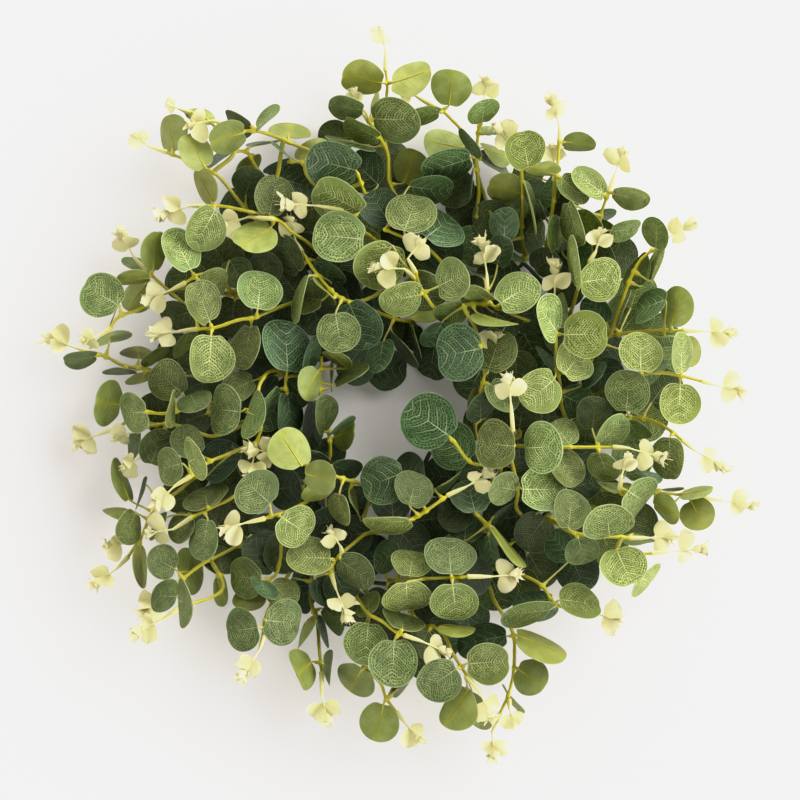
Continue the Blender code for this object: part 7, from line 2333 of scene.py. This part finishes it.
# ---------------------------------------------------------------- ring frame
def frame_piece(material, shift):
    """Two wire rings on eight bent bars, with a weld bead at each crossing."""
    shape = Shape()
    mark = (0.0, 0.0, 0.0, 0.0)
    sides, around = 14, 144
    for ring in RING_R:
        rings = []
        for k in range(around):
            w = 2 * math.pi * k / around
            out = Vector((math.cos(w), math.sin(w), 0.0))
            rings.append(shape.ring(out * ring + UP * WIRE_Z, out, UP, WIRE_R, WIRE_R, sides, mark))
        for k in range(around):
            shape.bridge(rings[(k + 1) % around], rings[k])
    for b in range(BARS):
        w = math.pi * (2 * b + 1) / BARS
        out = Vector((math.cos(w), math.sin(w), 0.0))
        side = Vector((-out.y, out.x, 0.0))
        profile = []
        half, top, bevel = BAR_W / 2, WIRE_Z, 1.0
        for y, z in ((-half, 0.35), (-half + 0.35, 0.0), (half - 0.35, 0.0), (half, 0.35), (half, top - bevel),
                     (half - 0.4, top - 0.35), (half - bevel, top), (-half + bevel, top), (-half + 0.4, top - 0.35), (-half, top - bevel)):
            profile.append((y, z))
        rings = []
        for r, shrink in ((BAR_IN, 0.86), (BAR_IN + 0.5, 0.97), (BAR_IN + 1.4, 1.0), (BAR_OUT - 1.4, 1.0), (BAR_OUT - 0.5, 0.97), (BAR_OUT, 0.86)):
            rings.append([
                shape.add(out * r + side * (y * shrink) + UP * (z * shrink if z > 1.0 else z), mark) for y, z in profile
            ])
        for one, two in zip(rings, rings[1:]):
            shape.bridge(one, two)
        shape.faces.append(tuple(reversed(rings[0])))
        shape.faces.append(tuple(rings[-1]))
        for ring in RING_R:
            for way in (-1.0, 1.0):
                c = out * (ring + way * 1.5) + UP * (WIRE_Z - 0.1)
                rows = [shape.ring(c - side * 2.2 * math.cos(a), out, UP, 1.3 * math.sin(a) + 0.02, 1.0 * math.sin(a) + 0.02, 8, mark)
                        for a in (0.15, 0.6, 1.1, 1.57, 2.04, 2.54, 2.99)]
                for one, two in zip(rows, rows[1:]):
                    shape.bridge(one, two)
                shape.faces.append(tuple(reversed(rows[0])))
                shape.faces.append(tuple(rows[-1]))
    line = smooth([Vector(p[:3]) for p in TAIL], 2.5)
    radii = [p[3] for p in TAIL]
    far = [0.0]
    for a, b in zip(TAIL, TAIL[1:]):
        far.append(far[-1] + (Vector(b[:3]) - Vector(a[:3])).length)
    thick = [float(np.interp(t, far, radii)) for _, t in line]
    points = [p for p, _ in line]
    shape.tube(points, thick, 14, [(min(1.0, t / 18.0), 0.0, 0.0, 0.0) for _, t in line], (True, False))
    way = (points[-1] - points[-2]).normalized()
    flat = square_to(way, UP)
    outer = shape.ring(points[-1] + way * 0.01, flat, way.cross(flat), thick[-1], thick[-1], 14, (1.0, 0.0, 0.0, 0.0))
    inner = shape.ring(points[-1] + way * 0.45, flat, way.cross(flat), thick[-1] - 0.35, thick[-1] - 0.35, 14, (1.0, 1.0, 0.0, 0.0))
    shape.bridge(outer, inner)
    shape.faces.append(tuple(inner))
    piece = make_piece("ring_frame_fine", shape.points, shape.faces, [material], None, {"look": shape.marks}, shift)
    return piece


# ---------------------------------------------------------------- the scene
def stay(piece, slot, *nodes):
    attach(piece, "root")
    if nodes:
        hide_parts(*nodes)


def tidy(piece):
    """Turns every face outwards."""
    bm = bmesh.new()
    bm.from_mesh(piece.data)
    bmesh.ops.recalc_face_normals(bm, faces=bm.faces)
    bm.to_mesh(piece.data)
    bm.free()


def build_pieces():
    sprigs = lay_out(SEED)[0]
    solids = grow_all(sprigs)
    wires, bars = frame_shapes()
    shift = centre_shift(solids, [p for points, _ in wires + bars for p in points])
    worst = 0.0
    for sprig, solid in zip(sprigs, solids):
        low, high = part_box(sprig.name)
        for k in range(3):
            worst = max(worst, abs(min(p[k] for p in solid.points) + shift[k] - low[k] * 1000))
            worst = max(worst, abs(max(p[k] for p in solid.points) + shift[k] - high[k] * 1000))
    print(f"fine pieces against the solids: {worst:.3f} mm")
    blades = [leaf_front(), leaf_under(), leaf_edge()]
    stem_skin, tip_skin, coat = stem_plastic(), tip_plastic(), frame_coat()
    for number, sprig in enumerate(sprigs):
        rng = random.Random(1000 + number)
        leaves, stem, tip = [], Shape(), Shape()
        for limb in sprig.limbs:
            for _, children in grouped(limb):
                leaves += [child for child in children if isinstance(child, Leaf)]
        for leaf in leaves:
            leaf.waves = wave_of_leaf(rng)
        for limb in sprig.limbs:
            grow_stem(stem, limb, rng)
            if limb.tip:
                grow_pale_tip(tip, limb, rng)
        if leaves:
            stay(leaf_piece(sprig.name + "_leaves", leaves, blades, shift, rng), "leaf_plastic", sprig.name)
        piece = make_piece(sprig.name + "_stem", stem.points, stem.faces, [stem_skin], None, {"look": stem.marks}, shift, 60)
        tidy(piece)
        stay(piece, "stem_plastic", sprig.name)
        if tip.points:
            piece = make_piece(sprig.name + "_tip", tip.points, tip.faces, [tip_skin], None, {"look": tip.marks}, shift, 50)
            tidy(piece)
            stay(piece, "tip_plastic", sprig.name)
    piece = frame_piece(coat, shift)
    tidy(piece)
    stay(piece, "frame_coat", "ring_frame")
    return shift


def centre_shift(solids, frame_points):
    """Brings the middle of the wreath's bounding box over the origin and its underside to z = 0."""
    every = [p for solid in solids for p in solid.points] + frame_points
    low = [min(p[k] for p in every) for k in range(3)]
    high = [max(p[k] for p in every) for k in range(3)]
    return Vector((-(low[0] + high[0]) / 2, -(low[1] + high[1]) / 2, -low[2]))


def area_light(name, place, target, size, power, colour):
    light = bpy.data.lights.new(name, "AREA")
    light.shape, light.size, light.size_y = "RECTANGLE", size[0], size[1]
    light.energy, light.color = power, colour
    obj = bpy.data.objects.new(name, light)
    obj.location = place
    obj.rotation_euler = (Vector(target) - Vector(place)).to_track_quat("-Z", "Y").to_euler()
    bpy.context.scene.collection.objects.link(obj)


# Brightness of the surroundings by height: (sine of the height angle, brightness).
SKY = ((0.0, 0.60), (0.09, 1.20), (0.43, 1.20), (0.60, 0.21), (0.78, 0.04), (1.0, 0.0))


def build_stage(shift):
    mesh = bpy.data.meshes.new("floor")
    mesh.from_pydata([(-25, -25, 0), (25, -25, 0), (25, 25, 0), (-25, 25, 0)], [], [(0, 1, 2, 3)])
    mesh.materials.append(floor_paper())
    floor = bpy.data.objects.new("floor", mesh)
    floor.location = (0.0, 0.0, -0.0004)
    bpy.context.scene.collection.objects.link(floor)

    # Soft light all round, brightest low above the horizon, so that it falls in at an angle.
    world = bpy.data.worlds.new("studio")
    bpy.context.scene.world = world
    world.use_nodes = True
    nodes, links = world.node_tree.nodes, world.node_tree.links
    sky = nodes["Background"]
    parts = nodes.new("ShaderNodeSeparateXYZ")
    links.new(nodes.new("ShaderNodeTexCoord").outputs["Generated"], parts.inputs[0])
    band = nodes.new("ShaderNodeValToRGB")
    elements = band.color_ramp.elements
    while len(elements) < len(SKY):
        elements.new(0.5)
    for element, (height, bright) in zip(elements, SKY):
        element.position, element.color = height, tuple(bright * c for c in (1.0, 0.972, 0.952)) + (1.0,)
    links.new(parts.outputs[2], band.inputs[0])
    links.new(band.outputs[0], sky.inputs["Color"])
    strength = 3.8
    for socket, share in ((parts.outputs[0], 1.75), (parts.outputs[1], 1.0)):
        node = nodes.new("ShaderNodeMath")
        node.operation = "MULTIPLY_ADD"
        links.new(socket, node.inputs[0])
        node.inputs[1].default_value = share
        if isinstance(strength, float):
            node.inputs[2].default_value = strength
        else:
            links.new(strength, node.inputs[2])
        strength = node.outputs[0]
    links.new(strength, sky.inputs["Strength"])
    area_light("key", (0.85, 0.62, 1.10), (0.0, 0.0, 0.03), (0.9, 0.9), 9.5, (1.0, 0.98, 0.955))

    camera = bpy.data.cameras.new("camera")
    camera.sensor_fit = "HORIZONTAL"
    camera.angle = 2 * math.atan(400 * PX / (EYE_H - MID_Z))
    camera.clip_start, camera.clip_end = 0.05, 30.0
    eye = bpy.data.objects.new("camera", camera)
    eye.location = (shift.x * 0.001, shift.y * 0.001, (EYE_H + shift.z) * 0.001)
    bpy.context.scene.collection.objects.link(eye)
    bpy.context.scene.camera = eye

    # The whites roll off softly: (light, what it is shown as), straight up to 0.7.
    settings = bpy.context.scene.view_settings
    settings.view_transform = "Standard"
    settings.use_curve_mapping = True
    mapping = settings.curve_mapping
    mapping.white_level = (2.0, 2.0, 2.0)
    mapping.extend = "HORIZONTAL"
    points = mapping.curves[3].points
    for k in range(1, 20):
        light = 0.1 * k
        shown = light if light <= 0.7 else 0.7 + 0.2 * (1 - math.exp(-(light - 0.7) / 0.2))
        points.new(light / 2.0, shown)
    points[len(points) - 1].location = (1.0, 0.7 + 0.2 * (1 - math.exp(-1.3 / 0.2)))
    mapping.update()


build_stage(build_pieces())
